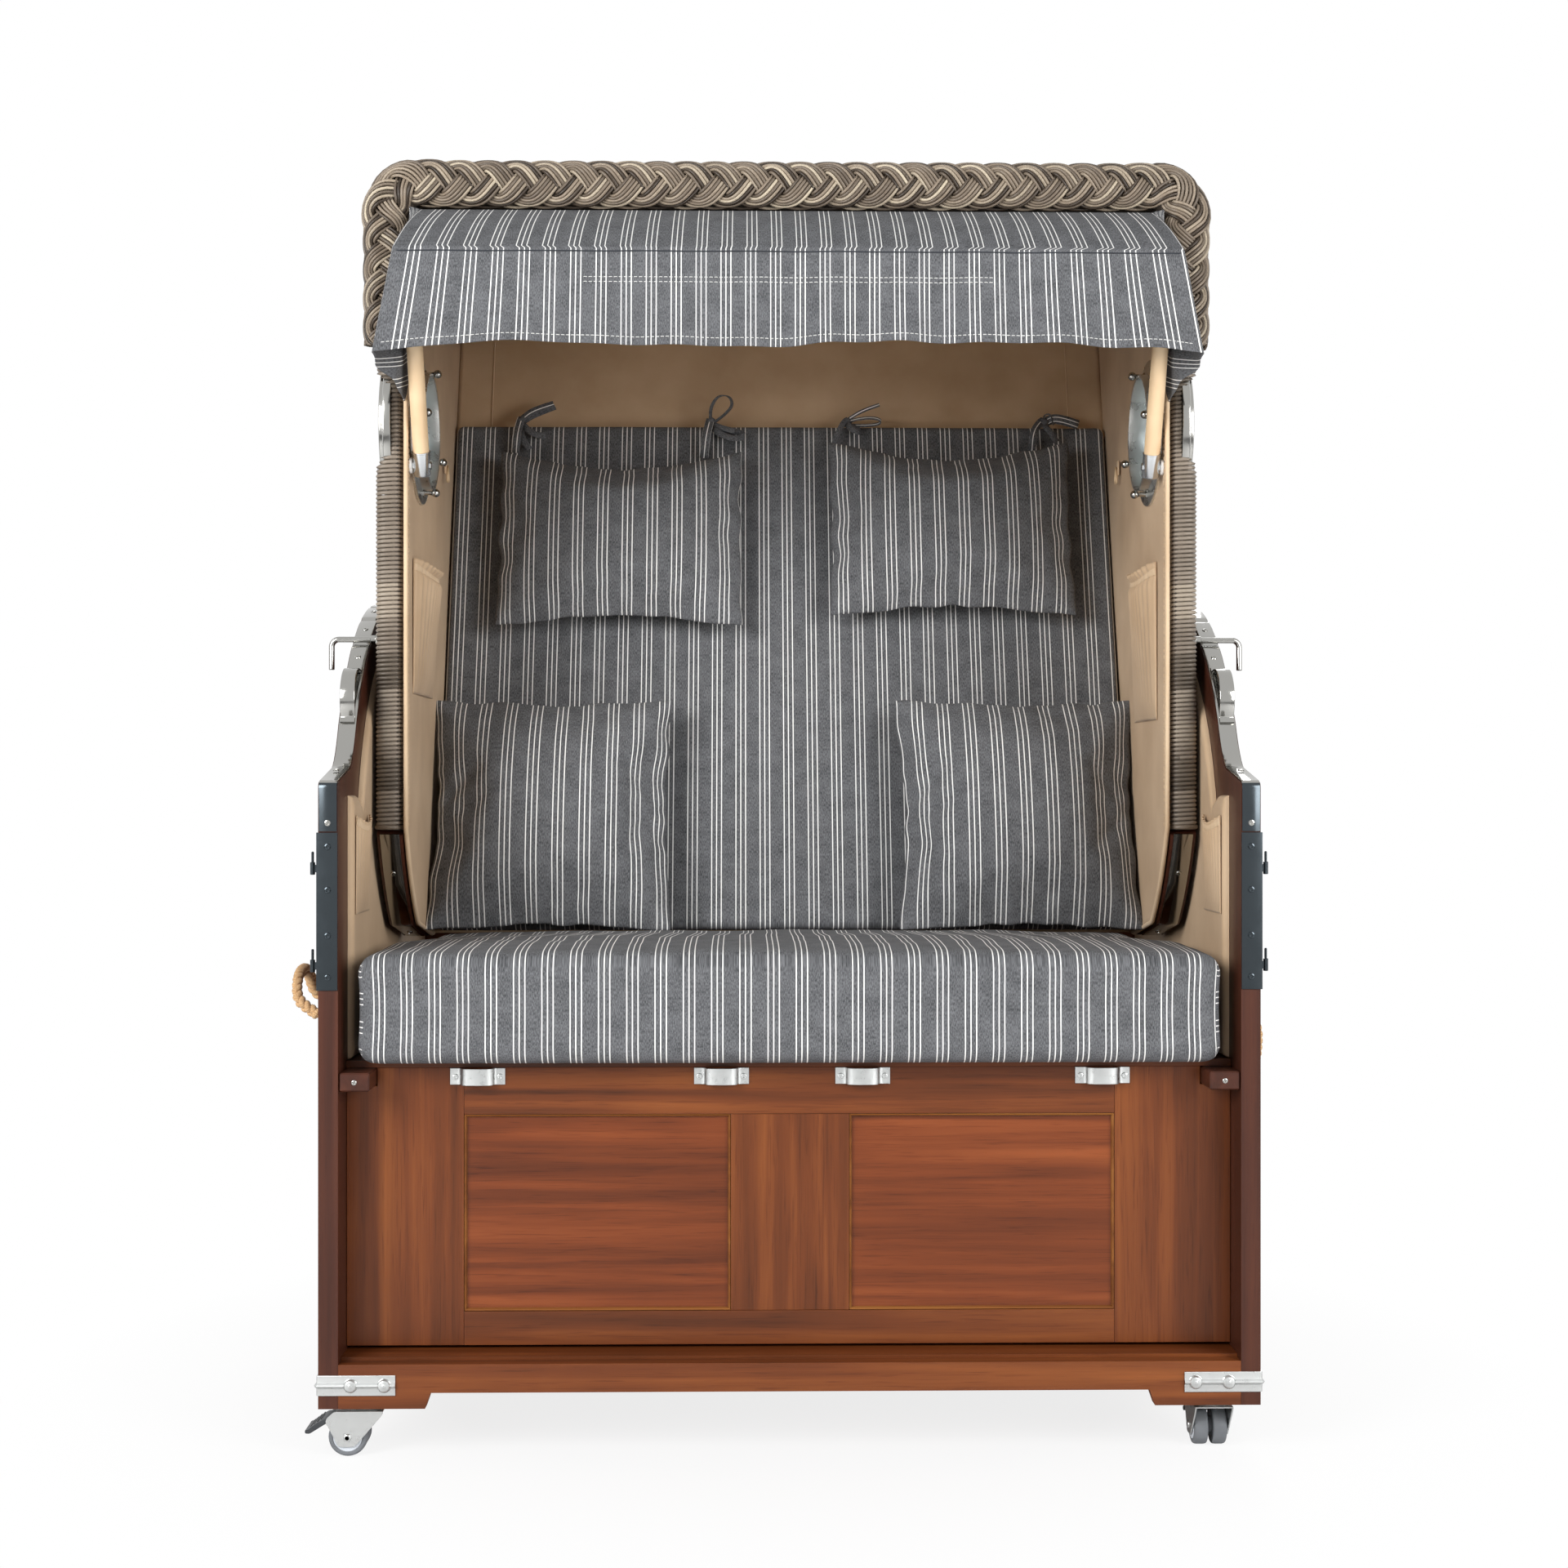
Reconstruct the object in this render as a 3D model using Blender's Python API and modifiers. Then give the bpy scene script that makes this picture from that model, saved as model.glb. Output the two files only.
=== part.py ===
"""Hooded beach chair: a wooden base on castors carries a reclining wicker hood with an awning and cushions.

X runs across the chair, Y runs back from its front and Z runs up, in metres.
While the pieces are made, Y = 0 is the front face of the base and Z = 0 the floor.
The last step centres the chair over the origin.
"""

from math import acos, atan2, ceil, cos, degrees, pi, radians, sin

import bmesh
import bpy
import numpy as np
from mathutils import Matrix, Vector
from mathutils.bvhtree import BVHTree

LEFT, RIGHT = -1, 1
SIDE_NAMES = {LEFT: "left", RIGHT: "right"}

# Fits shared by all pieces
seat_gap = 0.0003
cut_overrun = 0.004
weld_distance = 0.00001

# Base
base_width = 1.200
base_depth = 0.800
side_thickness = 0.025
base_half = base_width / 2
inner_half = base_half - side_thickness
foot_height = 0.067
foot_length = 0.110
foot_taper = 0.007
foot_cut = 0.020
arm_length = base_depth * 0.1225
arm_front_height = 0.863
arm_rise = 0.017
arm_back_height = arm_front_height + arm_rise
arm_corner_radius = 0.008
step_bend_run = 0.026
step_bend_rise = 0.010

# Hood pivot and the arc of the side panels about it
pivot_y = base_depth * 0.6125
pivot_drop = 0.167
pivot_z = arm_back_height - pivot_drop
arc_radius = base_depth * 0.509625
arc_front_angle = 146.0
notch_first_angle = 123.3
notch_pitch_angle = 11.0
notch_half_angle = 1.5
notch_count = 5
notch_depth = 0.003
notch_shares = (-1, -0.4, 0.4, 1)

# The battens that the seat lies on, and the front, floor, back and seat boards
seat_drop = 0.2204
batten_top = pivot_z - seat_drop
batten_width = 0.039
batten_height = 0.0236
batten_setback = 0.003
panel_setback = 0.065
panel_thickness = 0.024
panel_bottom = 0.132
side_stile = 0.152
centre_stile = 0.154
field_width = inner_half - side_stile - centre_stile / 2
field_centre = (centre_stile + field_width) / 2
field_bottom = 0.176
top_rail = 0.0616
field_top = batten_top - top_rail
field_depth = 0.006
plinth_top = 0.1233
plinth_thickness = 0.022
floor_thickness = 0.018
floor_drop = 0.004
back_thickness = 0.020
block_size = 0.070
block_height = 0.040
block_bite = 0.004
back_rise = 0.1674
back_top = batten_top + back_rise
seat_board_thickness = 0.0088
seat_board_front = 0.062
seat_board_tail = 0.030
seat_board_back = pivot_y + seat_board_tail

# Lining of the side panels
lining_thickness = 0.0085
lining_stile = 0.072
lining_step_run = 0.017
lining_step_drop = 0.018
lining_step_y = arm_length + lining_step_run
lining_step_z = arm_front_height - lining_step_drop
lining_arc_inset = 0.050
lining_back_inset = 0.030

# Chrome notch band, edge plates, table pintles, grab loops and corner straps
band_width = 0.023
band_thickness = 0.002
band_front_drop = 0.063
band_front_bottom = arm_front_height - band_front_drop
plate_gap = 0.0015
plate_top = band_front_bottom - plate_gap
plate_length = 0.2005
plate_bottom = plate_top - plate_length
plate_thickness = 0.0018
plate_flange = 0.020
plate_screw_drops = (0.018, 0.073, 0.131, 0.184)
screw_head_radius = 0.0042
screw_head_height = 0.0016
pintle_drops = (0.046, 0.170)
pintle_barrel_radius = 0.0032
pintle_barrel_height = 0.016
pintle_pin_radius = 0.0017
pintle_pin_height = 0.0135
pintle_standoff = 0.0065
loop_width = 0.020
loop_thickness = 0.003
loop_front_angle = 145.0
loop_back_angle = 133.5
loop_rise = 0.028
loop_foot_angle = 1.2
strap_length = 0.098
strap_height = 0.026
strap_thickness = 0.0018
strap_wrap = 0.060
strap_top = 0.110
strap_bead_radius = 0.0035
strap_bolt_shares = (0.43, 0.84)
strap_bolt_radius = 0.0065
strap_bolt_height = 0.005

# Footrest sockets
socket_shares = (-0.675, -0.148333, 0.1575, 0.678333)
socket_centres = [share * base_half for share in socket_shares]
socket_width = 0.071
socket_height = 0.022
socket_raised_width = 0.037
socket_rise = 0.013
socket_sheet = 0.002
socket_drop = 0.0006
socket_top = batten_top - socket_drop

# Hinge bolts and rope handles
bolt_radius = 0.008
bolt_clearance = 0.0003
bolt_head_radius = 0.014
bolt_head_height = 0.006
bolt_inner_length = 0.044
bolt_inner_reach = inner_half - bolt_inner_length
rope_radius = 0.0085
rope_hole_front = 0.115
rope_hole_back = 0.255
rope_hole_rise = 0.0654
rope_hole_z = batten_top + rope_hole_rise
rope_left_bulge = 0.052
rope_left_rise = 0.052
rope_right_drop = 0.075
rope_right_bulge = 0.024
rope_route_shares = ((0, 0, 0), (0.45, 0, 0), (0.9, 0.06, 0.35), (1, 0.22, 0.85), (1, 0.5, 1))
rope_steps = 2

# Castors
castor_side_inset = 0.055
castor_back_inset = 0.048
castor_x = base_half - castor_side_inset
castor_front_y = 0.045
castor_back_y = base_depth - castor_back_inset
castor_wheel_radius = 0.025
castor_wheel_width = 0.018
castor_wheel_gap = 0.007
castor_hub_radius = 0.010
castor_wheel_round = 0.004
castor_wheel_sides = 18
castor_trail = 0.0215
castor_leg_thickness = 0.002
castor_leg_gap = 0.0012
castor_bearing_radius = 0.019
castor_bearing_height = 0.008
castor_leg_top_length = 0.030
castor_axle_radius = 0.004
castor_axle_head = 0.0025
castor_headings = {"front_left": 180.0, "front_right": 90.0, "back_left": 110.0, "back_right": 70.0}
pedal_axle_run = 0.046
pedal_axle_height = 0.0455
pedal_axle_radius = 0.003
pedal_length = 0.030
pedal_drop = 0.016
pedal_thickness = 0.005

# Where the lock rods rest on the bands, which sets the front of the hood
lock_rod_radius = 0.004
lock_collar_radius = 0.0085
post_depth = 0.040
lock_clearance = 0.00104
lock_radius = arc_radius + band_thickness + 2 * seat_gap + lock_rod_radius
lock_y = pivot_y + lock_radius * cos(radians(notch_first_angle))
hood_front = lock_y - lock_collar_radius - lock_clearance - post_depth

# Hood walls
hood_side_gap = 0.015
hood_half_width = inner_half - hood_side_gap
hood_wall = 0.0362
hood_lining_wall = 0.006
hood_recline = 19.4
hood_heel_radius = 0.0765
hood_top_rise = 0.977
hood_top = pivot_z + hood_top_rise
hood_back_reach = 1.040
hood_corner_radius = 0.060
hood_inner_corner = 0.015
hood_back_wall = 0.030
hood_back_lining = 0.016
heel_clear_angle = 1.0
lining_edge_inset = 0.001
lining_foot_reach = 0.055
post_wrap = 0.002
post_half_outer = hood_half_width + post_wrap
post_bottom_rise = 0.084
post_bottom = pivot_z + post_bottom_rise
post_corner = 0.006
rail_arc_y_back = 0.343
rail_arc_y = hood_front + rail_arc_y_back
rail_arc_z_rise = 0.2685
rail_arc_z = pivot_z + rail_arc_z_rise
rail_arc_radius = 0.390
rail_end_z_drop = 0.051
rail_end_z = pivot_z - rail_end_z_drop
rail_thickness = 0.030

# Braided rim
braid_width = 0.064
braid_depth = 0.052
braid_side_inset = 0.016
braid_half_span = hood_half_width - braid_side_inset
braid_top_rise = 0.995
braid_top = pivot_z + braid_top_rise
braid_bottom_rise = 0.746
braid_bottom = pivot_z + braid_bottom_rise
braid_corner_radius = 0.045

# Portholes
port_y_back = 0.122
port_y = hood_front + port_y_back
port_z_rise = 0.644
port_z = pivot_z + port_z_rise
port_ring_radius = 0.130
port_ring_step_radius = 0.112
port_ring_inner_face_inset = 0.0205
port_ring_inner_face = hood_half_width - port_ring_inner_face_inset
port_ring_step_face_inset = 0.0090
port_ring_step_face = hood_half_width - port_ring_step_face_inset
port_ring_outer_face_inset = 0.0005
port_ring_outer_face = hood_half_width - port_ring_outer_face_inset
port_sleeve_outer = 0.0825
port_sleeve_inner = 0.0775
port_flange_radius = 0.1025
port_flange_thickness = 0.005
port_tube_face_inset = 0.0615
port_tube_face = hood_half_width - port_tube_face_inset
port_glass_thickness = 0.005
port_glass_face_inset = 0.034
port_glass_face = hood_half_width - port_glass_face_inset
glass_clearance = 0.0003

# Awning and its bow
bow_x_inset = 0.0595
bow_x = hood_half_width - bow_x_inset
bow_y_back = 0.022
bow_y = hood_front + bow_y_back
bow_z_rise = 0.583
bow_z = pivot_z + bow_z_rise
bow_radius = 0.0112
bow_bar_y_ahead = 0.098
bow_bar_y = hood_front - bow_bar_y_ahead
bow_bar_z_rise = 0.838
bow_bar_z = pivot_z + bow_bar_z_rise
bow_corner_radius = 0.040
cap_radius = 0.0120
cap_below = 0.015
cap_above = 0.020
cap_boss_radius = 0.008
awning_thickness = 0.0016
awning_top_half_inset = 0.060
awning_top_half = hood_half_width - awning_top_half_inset
awning_hem_half_inset = 0.012
awning_hem_half = hood_half_width - awning_hem_half_inset
awning_top_y_back = 0.012
awning_top_y = hood_front + awning_top_y_back
awning_hem_y_ahead = 0.115
awning_hem_y = hood_front - awning_hem_y_ahead
awning_hem_z_rise = 0.725
awning_hem_z = pivot_z + awning_hem_z_rise
awning_gusset_high_y_ahead = 0.0055
awning_gusset_high_y = hood_front - awning_gusset_high_y_ahead
awning_gusset_low_y_ahead = 0.0012
awning_gusset_low_y = hood_front - awning_gusset_low_y_ahead
awning_gusset_high_half_inset = 0.0465
awning_gusset_high_half = hood_half_width - awning_gusset_high_half_inset
awning_gusset_low_half_inset = 0.0395
awning_gusset_low_half = hood_half_width - awning_gusset_low_half_inset
awning_gusset_drop = 0.048
awning_corner_drop = 0.010
awning_ease = 0.0030
awning_fold_depth = 0.012
awning_folds = 5
awning_fold_lean = 0.3
awning_front_share = 0.84
awning_seam_share = 0.44
gusset_fold_share = 0.5
awning_columns = 38
awning_rows = 9

# Lock handles
lock_overhang = 0.028
lock_outer_x = base_half + lock_overhang
lock_leg = 0.042
lock_bend = 0.010
lock_collar_length = 0.014

# Cushions and pillows
seat_cushion_half_inset = 0.019
seat_cushion_half = inner_half - seat_cushion_half_inset
seat_cushion_front = 0.002
seat_cushion_back_ahead = 0.040
seat_cushion_back = pivot_y - seat_cushion_back_ahead
seat_cushion_height = 0.139
seat_cushion_crown = 0.010
seat_cushion_corner = 0.022
seat_cushion_back_half_inset = 0.049
seat_cushion_back_half = hood_half_width - seat_cushion_back_half_inset
taper_start_share = 0.55
taper_run_share = 0.15
cushion_draw = 0.004
cushion_cuts = 4
back_cushion_half_inset = 0.0455
back_cushion_half = hood_half_width - back_cushion_half_inset
back_cushion_bottom = -0.066
back_cushion_top = 0.762
back_cushion_thickness = 0.027
back_cushion_crown = 0.006
back_cushion_corner = 0.012
head_pillow_width = 0.374
head_pillow_height = 0.286
head_pillow_half_thickness = 0.046
head_pillow_sag = 0.022
head_pillow_left_x = -0.484 * back_cushion_half
head_pillow_right_x = 0.505345 * back_cushion_half
head_pillow_left_up = 0.541
head_pillow_right_up = 0.558
throw_pillow_size = 0.345
throw_pillow_half_thickness = 0.062
throw_pillow_x = back_cushion_half - throw_pillow_size / 2 + 0.0005
throw_pillow_up = 0.084
pillow_cells = 10
pillow_ear_pull = 0.055
settle_samples = 5
settle_reach = 0.020

ARC_STEP = 6.0

back_slope = radians(hood_recline)
pivot = (pivot_y, pivot_z)

bpy.context.scene.unit_settings.system = "METRIC"
for old in list(bpy.data.objects):
    bpy.data.objects.remove(old, do_unlink=True)

parts = bpy.data.collections.new("hooded_beach_chair")
cutters = bpy.data.collections.new("cutters")
for group in (parts, cutters):
    bpy.context.scene.collection.children.link(group)


def paint(name, colour, roughness, metallic=0.0, alpha=1.0):
    """A Principled material of one colour."""
    made = bpy.data.materials.new(name)
    made.use_nodes = True
    shader = made.node_tree.nodes["Principled BSDF"]
    shader.inputs["Base Color"].default_value = (*colour, 1.0)
    shader.inputs["Roughness"].default_value = roughness
    shader.inputs["Metallic"].default_value = metallic
    shader.inputs["Alpha"].default_value = alpha
    made.diffuse_color = (*colour, alpha)
    return made


mahogany = paint("mahogany", (0.23, 0.06, 0.022), 0.35)
dark_wood = paint("dark_wood", (0.06, 0.025, 0.015), 0.4)
chrome = paint("chrome", (0.75, 0.76, 0.77), 0.12, 1.0)
steel = paint("steel", (0.62, 0.61, 0.58), 0.3, 1.0)
wicker = paint("wicker", (0.20, 0.165, 0.125), 0.5)
beige_cloth = paint("beige_cloth", (0.48, 0.36, 0.25), 0.85)
striped_cloth = paint("striped_cloth", (0.065, 0.07, 0.085), 0.9)
beige_tube = paint("beige_tube", (0.60, 0.47, 0.34), 0.45)
hemp = paint("hemp", (0.45, 0.29, 0.14), 0.9)
grey_rubber = paint("grey_rubber", (0.17, 0.18, 0.20), 0.6)
dark_plastic = paint("dark_plastic", (0.03, 0.035, 0.04), 0.5)
clear_glass = paint("clear_glass", (0.75, 0.85, 0.88), 0.05, 0.0, 0.35)


def arc(centre, radius, start, end, step=ARC_STEP):
    """Points along an arc in a plane, from one angle to another, in degrees."""
    count = max(2, ceil(abs(end - start) / step) + 1)
    turns = np.radians(np.linspace(start, end, count))
    return [(centre[0] + radius * cos(t), centre[1] + radius * sin(t)) for t in turns]


def bend(first, corner, last, steps=6):
    """Points of the quadratic curve that leaves the first point towards the corner and ends at the last."""
    shares = np.linspace(0, 1, steps + 1)
    return [
        tuple((1 - s) ** 2 * a + 2 * s * (1 - s) * b + s * s * c for a, b, c in zip(first, corner, last))
        for s in shares
    ]


def shifted(path, distance):
    """The open path moved to its left by a distance, with its corners mitred."""
    points = [Vector(p) for p in path]
    ways = [(b - a).normalized() for a, b in zip(points, points[1:])]
    moved = []
    for index, point in enumerate(points):
        before = ways[max(index - 1, 0)]
        after = ways[min(index, len(ways) - 1)]
        across = (before + after).normalized()
        reach = distance / max(across.dot(after), 0.5)
        moved.append((point.x - across.y * reach, point.y + across.x * reach))
    return moved


def ribbon(path, near, far):
    """The outline between two shifted copies of a path."""
    return shifted(path, near) + shifted(path, far)[::-1]


def meshed(curve, name, matrix):
    """The curve's closed mesh, as an object of its own."""
    guide = bpy.data.objects.new(name + "_guide", curve)
    guide.matrix_world = matrix
    cutters.objects.link(guide)
    bpy.context.view_layer.update()
    graph = bpy.context.evaluated_depsgraph_get()
    mesh = bpy.data.meshes.new_from_object(guide.evaluated_get(graph))
    bpy.data.objects.remove(guide)
    shape = bmesh.new()
    shape.from_mesh(mesh)
    bmesh.ops.remove_doubles(shape, verts=shape.verts, dist=weld_distance)
    bmesh.ops.recalc_face_normals(shape, faces=shape.faces)
    shape.to_mesh(mesh)
    shape.free()
    made = bpy.data.objects.new(name, mesh)
    made.matrix_world = matrix
    return made


def placed(obj, material, smooth=35.0):
    """Puts the object with the parts, in its material."""
    parts.objects.link(obj)
    obj.data.materials.clear()
    obj.data.materials.append(material)
    obj.data.shade_smooth()
    obj.data.set_sharp_from_angle(angle=radians(smooth))
    return obj


def helper(obj):
    """Puts the object with the cutters, out of the render."""
    cutters.objects.link(obj)
    obj.hide_render = True
    obj.display_type = "WIRE"
    return obj


def plate(name, outline, low, high, axes="YZ"):
    """A flat outline in two axes, extruded from low to high along the third."""
    curve = bpy.data.curves.new(name, "CURVE")
    curve.dimensions = "2D"
    curve.fill_mode = "BOTH"
    curve.extrude = (high - low) / 2
    spline = curve.splines.new("POLY")
    spline.points.add(len(outline) - 1)
    for point, (a, b) in zip(spline.points, outline):
        point.co = (a, b, 0, 1)
    spline.use_cyclic_u = True
    first, second, third = {
        "YZ": ((0, 1, 0), (0, 0, 1), (1, 0, 0)),
        "XY": ((1, 0, 0), (0, 1, 0), (0, 0, 1)),
        "XZ": ((1, 0, 0), (0, 0, 1), (0, -1, 0)),
    }[axes]
    middle = Vector(third) * ((low + high) / 2 * (-1 if axes == "XZ" else 1))
    matrix = Matrix.Translation(middle) @ Matrix((first, second, third)).transposed().to_4x4()
    return meshed(curve, name, matrix)


def side_plate(name, outline, side, near, far):
    """A YZ outline between two distances from the middle plane, on one side of it."""
    low, high = sorted((side * near, side * far))
    return plate(name, outline, low, high)


def box(name, low, high, bevel=0):
    """A box between two corners, with its edges bevelled."""
    shape = bmesh.new()
    bmesh.ops.create_cube(shape, size=1)
    span = Vector(high) - Vector(low)
    bmesh.ops.scale(shape, vec=span, verts=shape.verts)
    mesh = bpy.data.meshes.new(name)
    shape.to_mesh(mesh)
    shape.free()
    made = bpy.data.objects.new(name, mesh)
    made.matrix_world = Matrix.Translation((Vector(low) + Vector(high)) / 2)
    if bevel:
        rounding = made.modifiers.new("rounding", "BEVEL")
        rounding.width = bevel
        rounding.segments = 1
    return made


def towards(axis):
    """The rotation that turns +Z to an axis."""
    return Vector(axis).to_track_quat("Z", "Y").to_matrix().to_4x4()


def rod(name, start, end, radius, sides=16):
    """A cylinder between two points."""
    start, end = Vector(start), Vector(end)
    shape = bmesh.new()
    bmesh.ops.create_cone(
        shape,
        cap_ends=True,
        segments=sides,
        radius1=radius,
        radius2=radius,
        depth=(end - start).length,
    )
    mesh = bpy.data.meshes.new(name)
    shape.to_mesh(mesh)
    shape.free()
    made = bpy.data.objects.new(name, mesh)
    made.matrix_world = Matrix.Translation((start + end) / 2) @ towards(end - start)
    return made


def tube(name, points, radius, detail=2):
    """A bent tube along points, with filled ends."""
    curve = bpy.data.curves.new(name, "CURVE")
    curve.dimensions = "3D"
    curve.bevel_depth = radius
    curve.bevel_resolution = detail
    curve.use_fill_caps = True
    spline = curve.splines.new("POLY")
    spline.points.add(len(points) - 1)
    for point, place in zip(spline.points, points):
        point.co = (*place, 1)
    return meshed(curve, name, Matrix.Identity(4))


def turned(name, profile, centre, axis, steps=32, closed=True):
    """A profile of (radius, height) points turned about an axis through the centre."""
    mesh = bpy.data.meshes.new(name)
    count = len(profile)
    edges = [(i, (i + 1) % count) for i in range(count if closed else count - 1)]
    mesh.from_pydata([(r, 0, h) for r, h in profile], edges, [])
    made = bpy.data.objects.new(name, mesh)
    made.matrix_world = Matrix.Translation(centre) @ towards(axis)
    screw = made.modifiers.new("turning", "SCREW")
    screw.steps = steps
    screw.render_steps = steps
    screw.use_merge_vertices = True
    screw.merge_threshold = weld_distance
    return made


def cut(obj, cutter):
    """Cuts the cutter out of the object."""
    trim = obj.modifiers.new("cut_" + cutter.name, "BOOLEAN")
    trim.operation = "DIFFERENCE"
    trim.object = cutter
    return obj


def join(obj, other):
    """Joins another shape to the object as one solid."""
    weld = obj.modifiers.new("join_" + other.name, "BOOLEAN")
    weld.operation = "UNION"
    weld.object = helper(other)
    return obj


def surface_tree(obj):
    """The object's surface in world space, ready for rays."""
    bpy.context.view_layer.update()
    shown = obj.evaluated_get(bpy.context.evaluated_depsgraph_get())
    corners = [shown.matrix_world @ vert.co for vert in shown.data.vertices]
    return corners, [tuple(face.vertices) for face in shown.data.polygons]


def rest_on(obj, carrier, way):
    """Moves the object along a direction until it lies the seat gap from its carrier."""
    way = Vector(way).normalized()
    corners, faces = surface_tree(obj)
    tree = BVHTree.FromPolygons(*surface_tree(carrier))
    shares = np.linspace(0, 1, settle_samples)
    drops = []
    for face in faces:
        a, b, c, d = (corners[i] for i in (*face[:3], face[-1]))
        for u in shares:
            for v in shares:
                point = a.lerp(b, u).lerp(d.lerp(c, u), v)
                hit = tree.ray_cast(point - way * settle_reach, way)
                if hit[0] is not None:
                    drops.append(hit[3] - settle_reach)
    obj.matrix_world = Matrix.Translation(way * (min(drops) - seat_gap)) @ obj.matrix_world


def joint_empty(name, place, parent=None):
    """An empty on a joint's axis, which carries the pieces that move about it."""
    empty = bpy.data.objects.new(name, None)
    empty.location = place
    empty.empty_display_size = screw_head_radius * 10
    parts.objects.link(empty)
    bpy.context.view_layer.update()
    if parent:
        carry(parent, empty)
    return empty


def carry(parent, *children):
    """Parents the children without moving them."""
    bpy.context.view_layer.update()
    for child in children:
        child.parent = parent
        child.matrix_parent_inverse = parent.matrix_world.inverted()


def notch(angle):
    """How deep the band dips at an angle about the pivot: each notch is a cosine dip."""
    depth = 0
    for index in range(notch_count):
        away = abs(angle - notch_first_angle + index * notch_pitch_angle)
        if away < notch_half_angle:
            depth = notch_depth * (1 + cos(pi * away / notch_half_angle)) / 2
    return depth


def arc_back_angle():
    """The angle about the pivot where the arc meets the rear edge of the side panel."""
    return degrees(acos((base_depth - pivot_y) / arc_radius))


def arm_path():
    """The top edge of a side panel, from its front corner over the arm and along the arc to the rear."""
    corner = arc(
        (arm_corner_radius, arm_front_height - arm_corner_radius), arm_corner_radius, 180, 100, 20
    )
    arm_end = (arm_length, arm_back_height)
    arc_start = (
        pivot_y + arc_radius * cos(radians(arc_front_angle)),
        pivot_z + arc_radius * sin(radians(arc_front_angle)),
    )
    step = bend(arm_end, (arm_length + step_bend_run, arm_back_height + step_bend_rise), arc_start)
    angles = list(np.arange(arc_front_angle, arc_back_angle(), -ARC_STEP)[1:])
    for index in range(notch_count):
        middle = notch_first_angle - index * notch_pitch_angle
        angles = [a for a in angles if abs(a - middle) > notch_half_angle]
        angles += [middle + share * notch_half_angle for share in notch_shares]
    angles = sorted(angles, reverse=True) + [arc_back_angle()]
    curve = []
    for angle in angles:
        radius = arc_radius - notch(angle)
        curve.append((pivot_y + radius * cos(radians(angle)), pivot_z + radius * sin(radians(angle))))
    return corner + step + curve


def feet_outline(length, low, high):
    """The lower edge of a board with a foot at each end, from its far end back to its start."""
    lift = low + foot_cut
    return [
        (length, high),
        (length, low),
        (length - foot_length, low),
        (length - foot_length - foot_taper, lift),
        (foot_length + foot_taper, lift),
        (foot_length, low),
        (0, low),
    ]


def hinge_bore(side, name):
    """The cutter for a running hole on the hood's pivot."""
    radius = bolt_radius + bolt_clearance
    inner = hood_half_width - hood_wall - cut_overrun
    return helper(
        rod(name, (side * inner, *pivot), (side * (base_half + cut_overrun), *pivot), radius, 24)
    )


def side_panel(side, bore):
    """A side wall of the base: arm in front, arc about the hood's pivot behind, a foot at each end."""
    feet = feet_outline(base_depth, foot_height, foot_height + foot_cut)[1:]
    panel = side_plate("side_panel_" + SIDE_NAMES[side], arm_path() + feet, side, inner_half, base_half)
    return placed(cut(panel, bore), dark_wood)


def side_lining(side, bore):
    """The padded lining inside a side panel, set back from its edges."""
    reach = arc_radius - lining_arc_inset
    rear = base_depth - lining_back_inset
    low = batten_top + 2 * seat_gap + seat_board_thickness
    start = degrees(atan2(lining_step_z - pivot_z, lining_step_y - pivot_y))
    outline = [(lining_stile, low), (lining_stile, lining_step_z), (lining_step_y, lining_step_z)]
    outline += arc(pivot, reach, start, degrees(acos((rear - pivot_y) / reach)), 8)
    outline.append((rear, low))
    far = inner_half - seat_gap
    lining = side_plate("side_lining_" + SIDE_NAMES[side], outline, side, far - lining_thickness, far)
    return placed(cut(lining, bore), beige_cloth)


def front_panel():
    """The front board with two recessed fields, notched round the battens."""
    half = inner_half - seat_gap
    top = batten_top
    low, high = (-half, panel_setback, panel_bottom), (half, panel_setback + panel_thickness, top)
    panel = box("front_panel", low, high)
    for side in (LEFT, RIGHT):
        middle = side * field_centre
        field = box(
            "field_" + SIDE_NAMES[side],
            (middle - field_width / 2, panel_setback - cut_overrun, field_bottom),
            (middle + field_width / 2, panel_setback + field_depth, field_top),
        )
        inner, outer = half - batten_width - seat_gap, inner_half + cut_overrun
        low, high = sorted((side * inner, side * outer))
        rebate = box(
            "rebate_" + SIDE_NAMES[side],
            (low, panel_setback - cut_overrun, batten_top - batten_height - seat_gap),
            (high, panel_setback + panel_thickness + cut_overrun, top + cut_overrun),
        )
        cut(panel, helper(field))
        cut(panel, helper(rebate))
    return placed(panel, mahogany)


def footed_board(name, y_low, y_high, top, material):
    """A board across the base on a foot at each end, with a glued corner block behind each foot."""
    half = inner_half - seat_gap
    length = 2 * half
    outline = [(a - half, b) for a, b in feet_outline(length, foot_height, top)] + [(-half, top)]
    board = plate(name, outline, y_low, y_high, "XZ")
    inward = 1 if y_low < base_depth / 2 else -1
    face = y_high if inward > 0 else y_low
    for side in (LEFT, RIGHT):
        across = sorted((side * (half - block_size), side * half))
        along = sorted((face - inward * block_bite, face + inward * block_size))
        block = box(
            f"{name}_block_{SIDE_NAMES[side]}",
            (across[0], along[0], foot_height),
            (across[1], along[1], foot_height + block_height),
        )
        join(board, block)
    return placed(board, material)


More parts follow.
